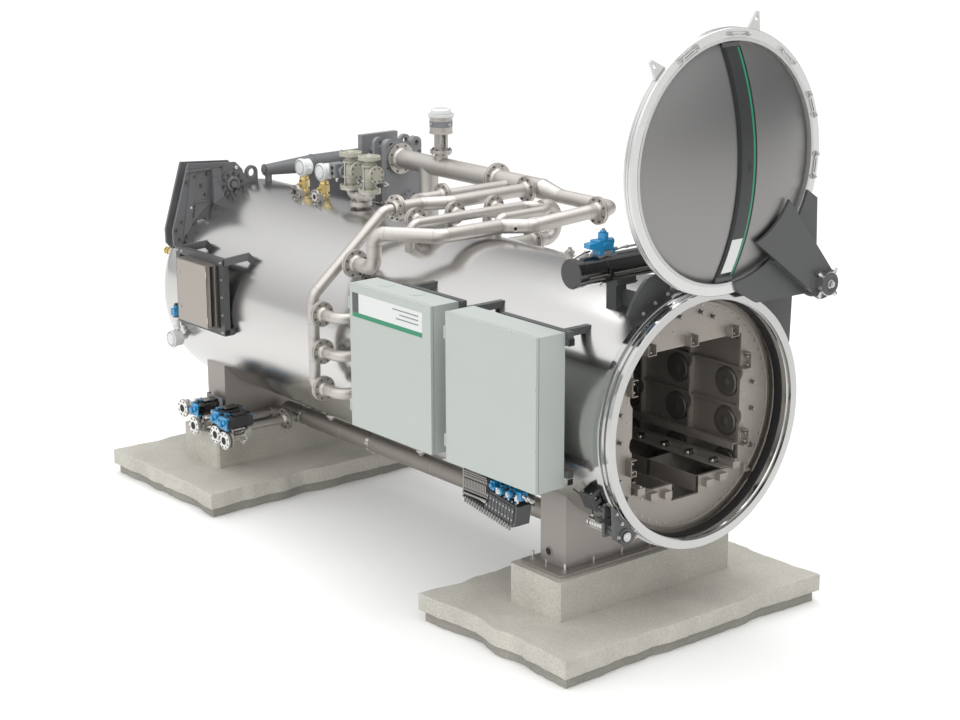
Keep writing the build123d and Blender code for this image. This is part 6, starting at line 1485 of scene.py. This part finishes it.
class RETORT_OT_drive(bpy.types.Operator):
    """Details the drive cylinder, its valve, the brackets and the door's bearing"""
    bl_idname = "retort.drive"
    bl_label = "Door drive"

    def execute(self, context):
        x, z = CYLINDER
        dark = Shape()
        dark.tube((x, -746, z), Y, 8, 99, 90, 64)
        for y in CLAMP_YS:
            dark.tube((x, y, z), Y, 34, 101, 90, 64)
            dark.box((x + 92, y, z - 26), (x + 112, y + 34, z + 26))
        place("cylinder_collars", dark, "black_paint", bevel=1.5)
        face = [((x, -812, z), -Y)]
        discs("cylinder_cap_face", face, ((92, 90, 3),), "black_paint")
        screws = [((x + 112, y + 17, z + side * 16), X) for y in CLAMP_YS for side in SIDES]
        fasten("cylinder_screws", screws, 0.6, 0, "black_paint")
        rods = Shape()
        rods.rod((x + 80, -499, z - 59), (x + 80, -137, z - 65), 9, 16)
        rods.bar((x + 104, -740, z - 20), Y * 860, 7, 16)
        place("cylinder_side_rods", rods, "dark_steel", slot="black_paint", bevel=1.0)
        line = Shape()
        for points, radius, sides, bend in CYLINDER_LINES:
            line.pipe([(x + a, y, b) for a, y, b in points], radius, sides, bend)
        place("cylinder_lines", line, "bright_steel", slot="black_paint")
        ports = Shape()
        for y in (110, -770):
            ports.bar((x + 20, y, 2796), Z * 26, 15, 6)
        for y in (-430, -330, 40):
            ports.bar((x + 20, y - 10, 2838), Y * 20, 13, 6)
        place("cylinder_ports", ports, "bright_steel", slot="black_paint", bevel=0.8)

        blue = Shape()
        blue.bar((x, -528, 2958), Z * 16, 22, 24, chamfer=3)
        blue.box((x - 30, -676, 2866), (x + 30, -646, 2900))
        blue.bar((x, -474, 2890), Y * 30, 26, 24, chamfer=3)
        blue.box((x - 58, -560, 2868), (x - 40, -500, 2902))
        blue.box((x + 40, -570, 2874), (x + 60, -520, 2900))
        place("cylinder_valve_details", blue, "blue_enamel", bevel=3.0)
        grey = Shape()
        grey.box((x - 44, -600, 2792), (x + 44, -440, 2812))
        grey.box((x - 52, -556, 2812), (x + 52, -486, 2840))
        grey.bar((x, -528, 2972), Z * 14, 12, 6)
        place("cylinder_valve_base", grey, "grey_paint", slot="dark_paint", bevel=2.0)
        screws = [((x + dx, -560 + dy, 2912), Z) for dx in (-32, 32) for dy in (-32, 72)]
        fasten("cylinder_valve_screws", screws, 0.4, 0, "zinc")

        post = Shape()
        post.box((x - 88, -470, 2600), (x + 88, -286, 2612))
        post.box((x + 46, -384, 2404), (x + 186, -376, 2560))
        post.box((x - 70, -352, 2440), (x - 46, -346, 2600))
        place("post_webs", post, "dark_paint", bevel=1.5)
        spots = [((616, y, z), X) for y, z in ((-427, 2437), (-319, 2493), (-204, 2538))]
        spots += [((x + dx, -400 + dy, 2612), Z) for dx in (-66, 66) for dy in (-52, 96)]
        fasten("bracket_bolts", spots, 0.9, 6, "white_steel")

        bearing = Shape()
        for a in (541, 774):
            bearing.tube((a, HUB_Y, HUB_Z), X, 20, 97, 60, 56)
        bearing.bar((640, HUB_Y, HUB_Z + 88), Z * 20, 10, 6)
        place("bearing_rings", bearing, "dark_paint", bevel=2.0)
        shaft = Shape().tube((794, HUB_Y, HUB_Z), X, 8, 74, 54, 48)
        place("bearing_seal", shaft, "bright_steel", slot="dark_paint", bevel=1.0)
        eye = Shape()
        eye.tube((622, 583, 2396), X, 14, 30, 14, 32)
        eye.box((622, 560, 2352), (636, 606, 2378))
        place("lifting_eye", eye, "bright_steel", slot="dark_paint", bevel=1.5)
        return {"FINISHED"}


# Plate heat exchanger

PLATE_PAIRS = 20
PACK_X = (-4310, -4210)
PACK_Y = (1030, 1370)
PACK_Z = (1540, 2700)
TIE_YS = (992.3, 1407.7)
TIE_ZS = (2465, 2291, 1700)
BAR_YS = (1110, 1290)
BAR_ZS = (1548, 2716)
PORT_X = -4143
PORT_Y = 1250
PORT_ZS = (1700, 2300)
FIXED_PLATE_X = -4150


class RETORT_OT_exchanger(bpy.types.Operator):
    """Makes the exchanger's thin plates and adds its tie rods' nuts, ribs and stand fittings"""
    bl_idname = "retort.exchanger"
    bl_label = "Heat exchanger"

    def execute(self, context):
        pack = Shape()
        (x0, x1), (y0, y1), (z0, z1) = PACK_X, PACK_Y, PACK_Z
        cut = 12
        pitch = (x1 - x0) / PLATE_PAIRS
        for i in range(PLATE_PAIRS):
            x = x0 + pitch * i
            pack.box((x + 0.6, y0, z0), (x + pitch * 0.45, y1, z1))
            outline = [(y0 + cut, z0 + 6), (y1 - cut, z0 + 6), (y1 - 6, z1 - cut), (y0 + 6, z1 - cut)]
            pack.prism(outline, (x + pitch * 0.4, 0, 0), Y, Z, pitch * 0.62)
        piece = place("plate_pack", pack, "carriage_steel")
        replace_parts(piece, "exchanger_plates")
        ties = [(y, z) for y in TIE_YS for z in TIE_ZS]
        nuts = []
        for y, z in ties:
            nuts += [((FIXED_PLATE_X, y, z), X), ((FIXED_PLATE_X - 200, y, z), -X)]
        fasten("tie_nuts", nuts, 1.4, 26, "bright_steel")
        rods = Shape()
        for y, z in ties:
            rods.bar((-4372, y, z), X * 182, 12.5, 20)
            rods.bar((-4206, y, z), X * 12, 22, 6)
        place("tie_rods", rods, "bright_steel", slot="grey_paint")
        edges = Shape()
        for x in (-4154, -4354):
            for y in (1000, 1392):
                edges.box((x, y, 1540), (x + 8, y + 8, 2700))
        edges.tube((FIXED_PLATE_X - 1, 1150, 2680), X, 8, 152, 139, 64)
        for z in PORT_ZS:
            edges.tube((FIXED_PLATE_X - 1, PORT_Y, z), X, 8, 92, 60, 48)
        place("fixed_plate_trim", edges, "grey_paint", bevel=1.5)
        ports = [((PORT_X, PORT_Y, z), X) for z in PORT_ZS]
        discs("blanked_ports", ports, ((76, 74, 8), (44, 40, 6)), "grey_paint")
        spots = [bolt for z in PORT_ZS for bolt in bolt_circle((PORT_X, PORT_Y, z), X, 66, 8, 0)]
        edge_zs = (1560, 1900, 2120, 2600, 2720)
        spots += [((FIXED_PLATE_X, y, z), X) for y in (1024, 1376) for z in edge_zs]
        spots += [((-4560, y, z), -X) for y in BAR_YS for z in BAR_ZS]
        fasten("exchanger_bolts", spots, 0.8, 6, "dark_steel")
        ends = Shape()
        for y in (1058, 1342):
            ends.tube((-4154, y, 2796), X, 9, 40, 26, 36)
            ends.tube((-4361, y, 2796), X, 12, 40, 26, 36)
        for y in BAR_YS:
            ends.tube((-4158, y, 2716), X, 14, 38, 22, 36)
        place("exchanger_ear_rings", ends, "grey_paint", bevel=1.5)
        roller = Shape()
        for y in BAR_YS:
            roller.bar((-4342, y, 2752), X * 24, 14, 24, chamfer=2)
        place("moving_plate_rollers", roller, "bright_steel", slot="grey_paint")
        feet = [((x, y, 224), Z) for x in (-4572, -4468, -4244, -4138) for y in (1045, 1285)]
        fasten("stand_bolts", feet, 0.7, 10, "zinc")
        braces = Shape()
        for y in (1005, 1317):
            braces.pipe([(-4520, y + 4, 640), (-4190, y + 4, 1420)], 14, 12)
        place("stand_braces", braces, "grey_paint")
        return {"FINISHED"}


# Rear machinery and operator panel

REAR_FACE_X = -4704
REAR_BACK_X = -4850
REAR_HUB = (-4684, -252, 2540)
# Bolts of the rear plates, as (y, z)
REAR_BOLTS = (
    (-625, 2644), (-629, 2382), (-497, 2657), (-521, 2479), (-761, 2267), (-700, 2600), (-790, 2120),
    (-820, 2200), (-560, 2560), (-350, 2690), (-400, 2420), (-600, 2240), (-700, 2160),
)
CROSS_TUBE_X = -4658
CROSS_TUBE_Z = 2630
SPRING_COILS = 9
PANEL_FRONT = -1057
PANEL_SPAN = ((-4320, -3866), (1540, 2071))


class RETORT_OT_rear(bpy.types.Operator):
    """Merges the rear head, bolts and ribs the rear plates and tube, and details the operator panel"""
    bl_idname = "retort.rear"
    bl_label = "Rear machinery and panel"

    def execute(self, context):
        bolts = [((REAR_FACE_X, y, z), X) for y, z in REAR_BOLTS]
        bolts += [((REAR_BACK_X, y, z), -X) for y, z in REAR_BOLTS]
        bolts += bolt_circle(REAR_HUB, X, 92, 10, 0)
        fasten("rear_plate_bolts", bolts, 1.1, 6, "dark_steel")
        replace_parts(merged_copy("rear_head", "rear_head_sheet", "cladding"), "rear_head")
        boss = Shape()
        boss.lathe(REAR_HUB, X, [(0, 40), (0, 70), (12, 66), (20, 58), (20, 40)], 48, closed=True)
        boss.rod(REAR_HUB, Vector(REAR_HUB) + X * 32, 34, 6)
        boss.box((REAR_FACE_X - 1, -700, 2690), (REAR_FACE_X + 18, -470, 2704))
        boss.box((REAR_FACE_X - 1, -640, 2420), (REAR_FACE_X + 14, -480, 2432))
        boss.prism([(-470, 2400), (-366, 2400), (-366, 2470), (-440, 2620), (-470, 2620)],
                   (REAR_FACE_X + 46, 0, 0), Y, Z, 10)
        rib = [(-660, 2700), (-600, 2700), (-680, 2180), (-760, 2140)]
        boss.prism(rib, (REAR_FACE_X - 1, 0, 0), Y, Z, 9)
        boss.tube((REAR_FACE_X - 1, -42, 2614), X, 9, 58, 36, 40)
        # the ribs take the lighter rear paint, as painted light
        place("rear_plate_ribs", boss, "rear_lit_paint", bevel=2.0)
        pin = Shape()
        pin.bar((-4858, -205, 2676), X * 166, 17, 24, chamfer=2)
        pin.bar((-4870, -672, 2380), X * 180, 12, 20, chamfer=2)
        pin.pipe([(-4780, -760, 2290), (-4780, -720, 2400), (-4780, -700, 2500)], 16, 16)
        for k in range(SPRING_COILS):
            share = k / SPRING_COILS
            middle = Vector((-4780, -756 + 50 * share, 2300 + 170 * share))
            pin.lathe(middle, (0, 0.28, 1), [(-4, 17), (-3, 22), (3, 22), (4, 17)], 20, closed=True)
        place("rear_spring_and_pins", pin, "bright_steel", slot="dark_paint")
        tube = Shape()
        for y, radius in ((64, 47), (560, 80), (1230, 80), (900, 80)):
            tube.tube((CROSS_TUBE_X, y - 6, CROSS_TUBE_Z), Y, 12, radius + 4, radius - 2, 48)
        tube.bar((CROSS_TUBE_X, 42, CROSS_TUBE_Z), Y * 20, 30, 28, chamfer=3)
        # the rings take the lighter rear paint, as painted light
        place("cross_tube_rings", tube, "rear_lit_paint", bevel=1.5)

        (x0, x1), (z0, z1) = PANEL_SPAN
        door = Shape().box((x0 + 3, PANEL_FRONT - 7, z0 + 4), (x1 - 3, PANEL_FRONT - 1, z1 - 4))
        place("panel_cover", door, "panel_steel", bevel=2.5)
        seam = Shape().box((x0 + 6, PANEL_FRONT - 2, z0 + 7), (x1 - 6, PANEL_FRONT + 1, z1 - 7))
        place("panel_seal", seam, "rubber", slot="panel_steel")
        strips = Shape()
        strips.box((x1 - 10, PANEL_FRONT + 12, z0 + 14), (x1 - 2, PANEL_FRONT + 34, z1 - 14))
        strips.box((x1 - 8, PANEL_FRONT + 74, z0 + 6), (x1 + 3, PANEL_FRONT + 100, z1 - 6))
        place("panel_side_strips", strips, "panel_steel", bevel=1.5)
        folds = Shape()
        folds.box((x1 - 11, PANEL_FRONT + 38, z0 + 14), (x1 - 5, PANEL_FRONT + 62, z1 - 14))
        for z in (1660, 1800, 1940):
            folds.box((x1 - 8, PANEL_FRONT + 42, z - 18), (x1 - 1, PANEL_FRONT + 58, z + 18))
        place("panel_side_folds", folds, "rubber", slot="panel_steel", bevel=1.5)
        latch = Shape()
        for z in (1660, 1950):
            latch.bar((x0 + 34, PANEL_FRONT - 6, z), -Y * 7, 13, 24, chamfer=1.5)
            latch.box((x0 + 30, PANEL_FRONT - 16, z - 9), (x0 + 38, PANEL_FRONT - 12, z + 9))
        for z in (1610, 2000):
            latch.bar((x1 - 4, PANEL_FRONT - 4, z - 24), Z * 48, 5, 14)
        place("panel_latches", latch, "zinc", slot="panel_steel")
        ends = Shape()
        for x, side in ((-4509, -1), (-3782, 1)):
            for z in (1503, 2092):
                ends.box((x, -946, z - 22), (x + side * 2, -901, z + 22))
        place("panel_frame_caps", ends, "rubber", slot="dark_paint")
        spots = [((x, -952, z), -Y) for x in (-4480, -4410, -3810) for z in (1503, 2092)]
        spots += [((x, -952, z), -Y) for x in (-4480, -3810) for z in (1650, 1800, 1950)]
        fasten("panel_frame_bolts", spots, 0.8, 4, "zinc")
        return {"FINISHED"}


# Service valves

SERVICE_Y = -950
SERVICE_VALVES = ((-4512, 690), (-4343, 574), (-3996, 576), (-3861, 554))
SERVICE_ACTUATORS = ((-4338, 716), (-4012, 722), (-3884, 697))


class RETORT_OT_service(bpy.types.Operator):
    """Details the flanged service valves and their motors in front of the rear leg"""
    bl_idname = "retort.service"
    bl_label = "Service valves"

    def execute(self, context):
        faces = [((x, SERVICE_Y, z), -Y) for x, z in SERVICE_VALVES]
        discs("service_faces", faces, ((76, 74, 2), (50, 49, 3)), "white_steel")
        # thin black discs on the valve faces: painted shade inside the bores and bolt holes
        bores = [((x, SERVICE_Y - 5, z), -Y) for x, z in SERVICE_VALVES]
        discs("service_bores", bores, ((33, 33, 0.8),), "rubber")
        holes = [hole for x, z in SERVICE_VALVES for hole in bolt_circle((x, SERVICE_Y - 2, z), -Y, 62)]
        discs("service_bolt_holes", holes, ((8, 8, 0.6),), "rubber")
        rims = Shape()
        for x, z in SERVICE_VALVES:
            rims.lathe((x, -934, z), Y, [(0, 33), (0, 46), (8, 40), (22, 35), (22, 33)], 40, closed=True)
        for x, z in SERVICE_VALVES[2:]:
            rims.lathe((x, -898, z), Y, [(0, 33), (0, 44), (12, 36), (12, 33)], 40, closed=True)
        for x, z in SERVICE_VALVES[:2]:
            rims.tube((x, -900, z), Y, 14, 70, 33, 44)
            rims.tube((x, -812, z), Y, 14, 62, 33, 44)
        for x, z in SERVICE_VALVES:
            rims.tube((x, -770, z), Y, 16, 60, 33, 44)
        place("service_valve_rims", rims, "bright_steel", slot="pipe_steel", bevel=1.2)
        ties = []
        for x, z in SERVICE_VALVES:
            ties += bolt_circle((x, -770, z), -Y, 48, 4, 45)
        fasten("service_tie_bolts", ties, 0.6, 40, "zinc")
        welds = Shape()
        for x, z, radius in ((-4205, 590, 38), (-3960, 592, 34)):
            for y in (-640, -320):
                weld(welds, (x, y, z), Y, radius)
        place("service_run_welds", welds, "pipe_steel")
        runs = []
        for x, radius in ((-4205, 44), (-3960, 66)):
            for side in SIDES:
                runs += bolt_circle((x, -260 + side * FLANGE_HALF, 591), Y * side, radius, 6, 0)
        fasten("service_run_bolts", runs, 0.55, 4, "dark_steel")

        blue = Shape()
        black = Shape()
        steel = Shape()
        for i, (x, z) in enumerate(SERVICE_ACTUATORS):
            blue.box((x - 56, -940, z - 56), (x + 56, -912, z + 56))
            blue.bar((x - 22, -968, z - 6), Y * 30, 26, 24, chamfer=3)
            blue.bar((x + 30, -962, z + 16), Y * 24, 18, 24, chamfer=3)
            blue.box((x - 50, -700, z - 46), (x + 50, -672, z + 50))
            blue.box((x - 40, -905, z + 58), (x + 8, -868, z + 74))
            black.box((x - 50, -864, z + 58), (x + 50, -720, z + 70))
            for k in range(7):
                y = -860 + 22 * k
                black.box((x - 63, y, z - 44), (x + 63, y + 8, z + 44))
            black.bar((x + 20, -912, z + 60), Z * 24, 12, 20, chamfer=2)
            vx, vz = SERVICE_VALVES[i + 1]
            steel.rod((x, -900, z - 58), (vx, -900, vz + 30), 11, 16)
            steel.box((x - 30, -880, z - 74), (x + 30, -740, z - 60))
            for y in (-870, -750):
                for dx in (-24, 24):
                    steel.rod((x + dx, y, z - 60), (vx + dx, y, vz + 20), 7, 12)
            for dx, dz in ((-46, 38), (46, -40)):
                steel.bar((x + dx, -946, z + dz), Y * 10, 8, 6)
        place("service_motor_ends", blue, "blue_enamel", slot="black_paint", bevel=3.0)
        place("service_motor_fins", black, "black_paint", bevel=1.5)
        place("service_motor_brackets", steel, "bright_steel", slot="pipe_steel", bevel=1.0)
        sheet = Shape().box((-4470, -728, 640), (-4230, -722, 800))
        sheet.box((-4470, -728, 640), (-4464, -690, 800))
        place("service_sheet", sheet, "grey_paint", slot="pipe_steel", bevel=1.0)
        return {"FINISHED"}


# Valve island

BANK_MIDDLE = (-87, 1020)
BANK_TILT = 9
ISLAND_FRONT_Y = -1080
TERMINAL_PITCH = 17
PORT_PITCH = 27
SLICE_PITCH = 34
BLUE_VALVE_XS = (-67, 23)


class RETORT_OT_island(bpy.types.Operator):
    """Adds the terminals, valves, ports and fittings under the right cabinet"""
    bl_idname = "retort.island"
    bl_label = "Valve island"

    def execute(self, context):
        front = ISLAND_FRONT_Y
        turn = Matrix.Rotation(math.radians(BANK_TILT), 3, "Y")

        def on_bank(along, up, out=0.0):
            spot = turn @ Vector((along, 0, up))
            return Vector((BANK_MIDDLE[0] + spot.x, front - out, BANK_MIDDLE[1] + spot.z))

        terminals = Shape()
        for k in range(15):
            x = -474 + TERMINAL_PITCH * k
            terminals.box((x, front - 12, 1052), (x + 14, front + 1, 1190))
            terminals.box((x + 1, front - 22, 1090), (x + 13, front - 10, 1150))
        place("terminal_row", terminals, "roller_steel", slot="dark_paint", bevel=1.0)
        silver = Shape()
        silver.box((-500, front - 6, 1026), (-486, front + 90, 1206))
        silver.box((-476, front - 16, 1196), (-220, front + 10, 1204))
        silver.box((-480, front - 26, 1030), (-216, front + 20, 1046))
        for k in range(19):
            x = -488 + PORT_PITCH * k
            z = 952 - (x + 232) * math.tan(math.radians(BANK_TILT))
            silver.rod((x, front + 12, z + 2), (x, front + 8, z - 12), 12, 6)
            silver.rod((x, front + 10, z - 10), (x, front + 4, z - 36), 8, 14)
            silver.bar((x, front, z + 12), -Y * 14, 8, 14)
        for k in range(16):
            for z in (1068, 1172):
                silver.bar((-470 + TERMINAL_PITCH * k, front - 10, z), -Y * 8, 4, 10)
        for k in range(7):
            spot = on_bank(-120 + 42 * k, 66, -20)
            silver.bar(spot, Z * 26, 8, 14)
            silver.rod(spot + Z * 10, spot + Z * 18, 12, 6)
        place("island_ports", silver, "roller_steel", slot="dark_paint", bevel=0.8)
        slices = Shape()
        for k in range(9):
            low = on_bank(-150 + SLICE_PITCH * k, -60)
            slices.box((low.x, front - 10, low.z), (low.x + 29, front + 1, low.z + 118), turn)
        place("island_valve_slices", slices, "dark_paint", bevel=2.0)
        buttons = []
        for k in range(9):
            buttons += [(on_bank(-136 + SLICE_PITCH * k, rise, 10), -Y) for rise in (-30, 34)]
        discs("island_buttons", buttons, ((6, 6, 3), (4, 3, 2)), "bright_steel")
        blue = Shape()
        for x in BLUE_VALVE_XS:
            blue.bar((x, front - 4, 1152), -Y * 30, 28, 28, chamfer=3)
            blue.box((x - 24, front + 4, 1122), (x + 24, front + 60, 1184))
        blue.box((-196, front - 6, 1130), (-150, front + 50, 1196))
        blue.box((60, front + 6, 1120), (120, front + 70, 1180))
        blue.bar((-172, front - 6, 1166), -Y * 20, 17, 24, chamfer=2)
        place("island_blue_valves", blue, "blue_enamel", slot="dark_paint", bevel=2.5)
        caps = [((x, front - 34, 1152), -Y) for x in BLUE_VALVE_XS]
        discs("island_valve_caps", caps, ((17, 16, 4), (8, 6, 5)), "bright_steel")
        white = Shape()
        for x in (-128, -22, 74):
            white.box((x - 14, front - 2, 1110), (x + 14, front + 36, 1158))
            white.bar((x, front + 16, 1108), -Z * 16, 9, 6)
        for x in (128, 176):
            white.rod((x, front + 20, 1160), (x + 40, front + 20, 1148), 14, 20, chamfer=2)
            white.rod((x + 36, front + 20, 1149), (x + 56, front + 20, 1143), 18, 6)
        place("island_fittings", white, "bright_steel", slot="dark_paint", bevel=1.5)
        tubes = Shape()
        for k in range(5):
            start = on_bank(-100 + 52 * k, 64, -30)
            top = Vector((start.x - 20, front + 44, 1262))
            tubes.pipe([start, start + Z * 50, top - Z * 40, top], 5, 10, 24)
        place("island_tubes", tubes, "blue_enamel", slot="dark_paint")
        return {"FINISHED"}


# Door lock

LOCK_AXIS = (-728, 997)
LOCK_PIN = (-740, 985)
HOUSING_MIDDLE = (591, -797.5, 1243.7)
HOUSING_LEAN = 27
LOCK_PLATE_BOLTS = ((-822, 1160), (-770, 1080), (-650, 1010), (-640, 960), (-800, 990))


class RETORT_OT_lock(bpy.types.Operator):
    """Details the lock's pin, cylinder and housing at the mouth's lower edge"""
    bl_idname = "retort.lock"
    bl_label = "Door lock"

    def execute(self, context):
        pin = [((827, *LOCK_PIN), X)]
        layers = ((33, 32, 3), (20, 18, 4), (8, 6, 3))
        discs("lock_pin_cap", pin, layers, "mouth_steel")
        y, z = LOCK_AXIS
        steel = Shape()
        for a, b in ((446, 462), (560, 572), (684, 698)):
            steel.tube((a, y, z), X, b - a, 36, 26, 32)
        steel.tube((474, y, z), X, 196, 37, 26, 40)
        for k in range(7):
            steel.tube((486 + 26 * k, y, z), X, 9, 41, 30, 40)
        for dy, dz in ((-27, -27), (27, -27), (-27, 27), (27, 27)):
            steel.bar((448, y + dy, z + dz), X * 248, 5, 12)
        steel.bar((440, y, z), -X * 20, 14, 6)
        for x in (470, 668):
            steel.bar((x, y, z + 27), Z * 24, 11, 6)
        place("lock_cylinder", steel, "bright_steel", slot="dark_paint", bevel=1.0)
        dark = Shape()
        dark.tube((804, *LOCK_PIN), X, 12, 56, 36, 40)
        dark.box((640, -848, 1060), (668, -700, 1076))
        dark.prism([(-848, 1210), (-770, 1110), (-782, 1100), (-850, 1180)], (802, 0, 0), Y, Z, 10)
        lean = Matrix.Rotation(math.radians(HOUSING_LEAN), 3, "X")
        middle = Vector(HOUSING_MIDDLE)

        def on_housing(*way):
            return middle + lean @ Vector(way)

        for k in range(5):
            dark.block(on_housing(-50 + 25 * k, -97, 0), (5, 6, 58), lean)
        for along, up in ((-62, 0), (30, 46)):
            dark.block(on_housing(66, along, up), (4, 26, 16), lean)
        place("lock_plate_ribs", dark, "dark_paint", bevel=2.0)
        cover = Shape().block(on_housing(66, -8, 2), (3, 72, 48), lean)
        cover.block(on_housing(0, -8, 67), (48, 72, 3), lean)
        place("lock_housing_covers", cover, "black_paint", slot="dark_paint", bevel=2.0)
        screws = [(on_housing(69, a, b), X) for a in (-72, -8, 56) for b in (-38, 42)]
        screws += [(on_housing(a, b, 70), lean @ Z) for a in (-40, 40) for b in (-72, 56)]
        fasten("lock_housing_screws", screws, 0.55, 0, "zinc")
        glands = Shape()
        for along in (-50, 0, 50):
            spot = on_housing(-64, along, 20)
            glands.bar(spot, -X * 20, 12, 6)
            glands.rod(spot - X * 18, spot - X * 34, 8, 16, end_radius=6)
        place("lock_housing_glands", glands, "bright_steel", slot="dark_paint")
        spots = [((805, *spot), X) for spot in LOCK_PLATE_BOLTS]
        spots += [((655, y, 1180), X) for y in (-790, -750)]
        fasten("lock_bolts", spots, 0.8, 4, "zinc")
        lines = Shape()
        for points in (
            ((470, y, z + 49), (470, -740, 1110), (430, -790, 1180), (380, -830, 1230)),
            ((668, y, z + 49), (640, -760, 1100), (560, -820, 1150), (500, -860, 1200)),
        ):
            lines.pipe(points, 6, 12, 30)
        place("lock_hoses", lines, "black_paint", slot="dark_paint")
        return {"FINISHED"}


CLASSES = (
    RetortColours,
    RetortSizes,
    RETORT_OT_stage,
    RETORT_OT_frame_finishes,
    RETORT_OT_foundations,
    RETORT_OT_mouth,
    RETORT_OT_door,
    RETORT_OT_pipework,
    RETORT_OT_instruments,
    RETORT_OT_cabinets,
    RETORT_OT_drive,
    RETORT_OT_exchanger,
    RETORT_OT_rear,
    RETORT_OT_service,
    RETORT_OT_island,
    RETORT_OT_lock,
)


class RETORT_PT_panel(bpy.types.Panel):
    bl_idname = "RETORT_PT_panel"
    bl_label = "Retort sterilizer"
    bl_space_type = "VIEW_3D"
    bl_region_type = "UI"
    bl_category = "Retort"

    def draw(self, context):
        for group in (context.scene.retort_colours, context.scene.retort_sizes):
            column = self.layout.column()
            for key in group.__annotations__:
                column.prop(group, key)
        for item in CLASSES:
            if issubclass(item, bpy.types.Operator):
                self.layout.operator(item.bl_idname)


def register():
    for item in (*CLASSES, RETORT_PT_panel):
        bpy.utils.register_class(item)
    bpy.types.Scene.retort_colours = bpy.props.PointerProperty(type=RetortColours)
    bpy.types.Scene.retort_sizes = bpy.props.PointerProperty(type=RetortSizes)


def unregister():
    del bpy.types.Scene.retort_sizes
    del bpy.types.Scene.retort_colours
    for item in reversed((*CLASSES, RETORT_PT_panel)):
        bpy.utils.unregister_class(item)


def main():
    register()
    for item in CLASSES:
        if issubclass(item, bpy.types.Operator):
            group, call = item.bl_idname.split(".")
            getattr(getattr(bpy.ops, group), call)()


if __name__ == "__main__":
    main()
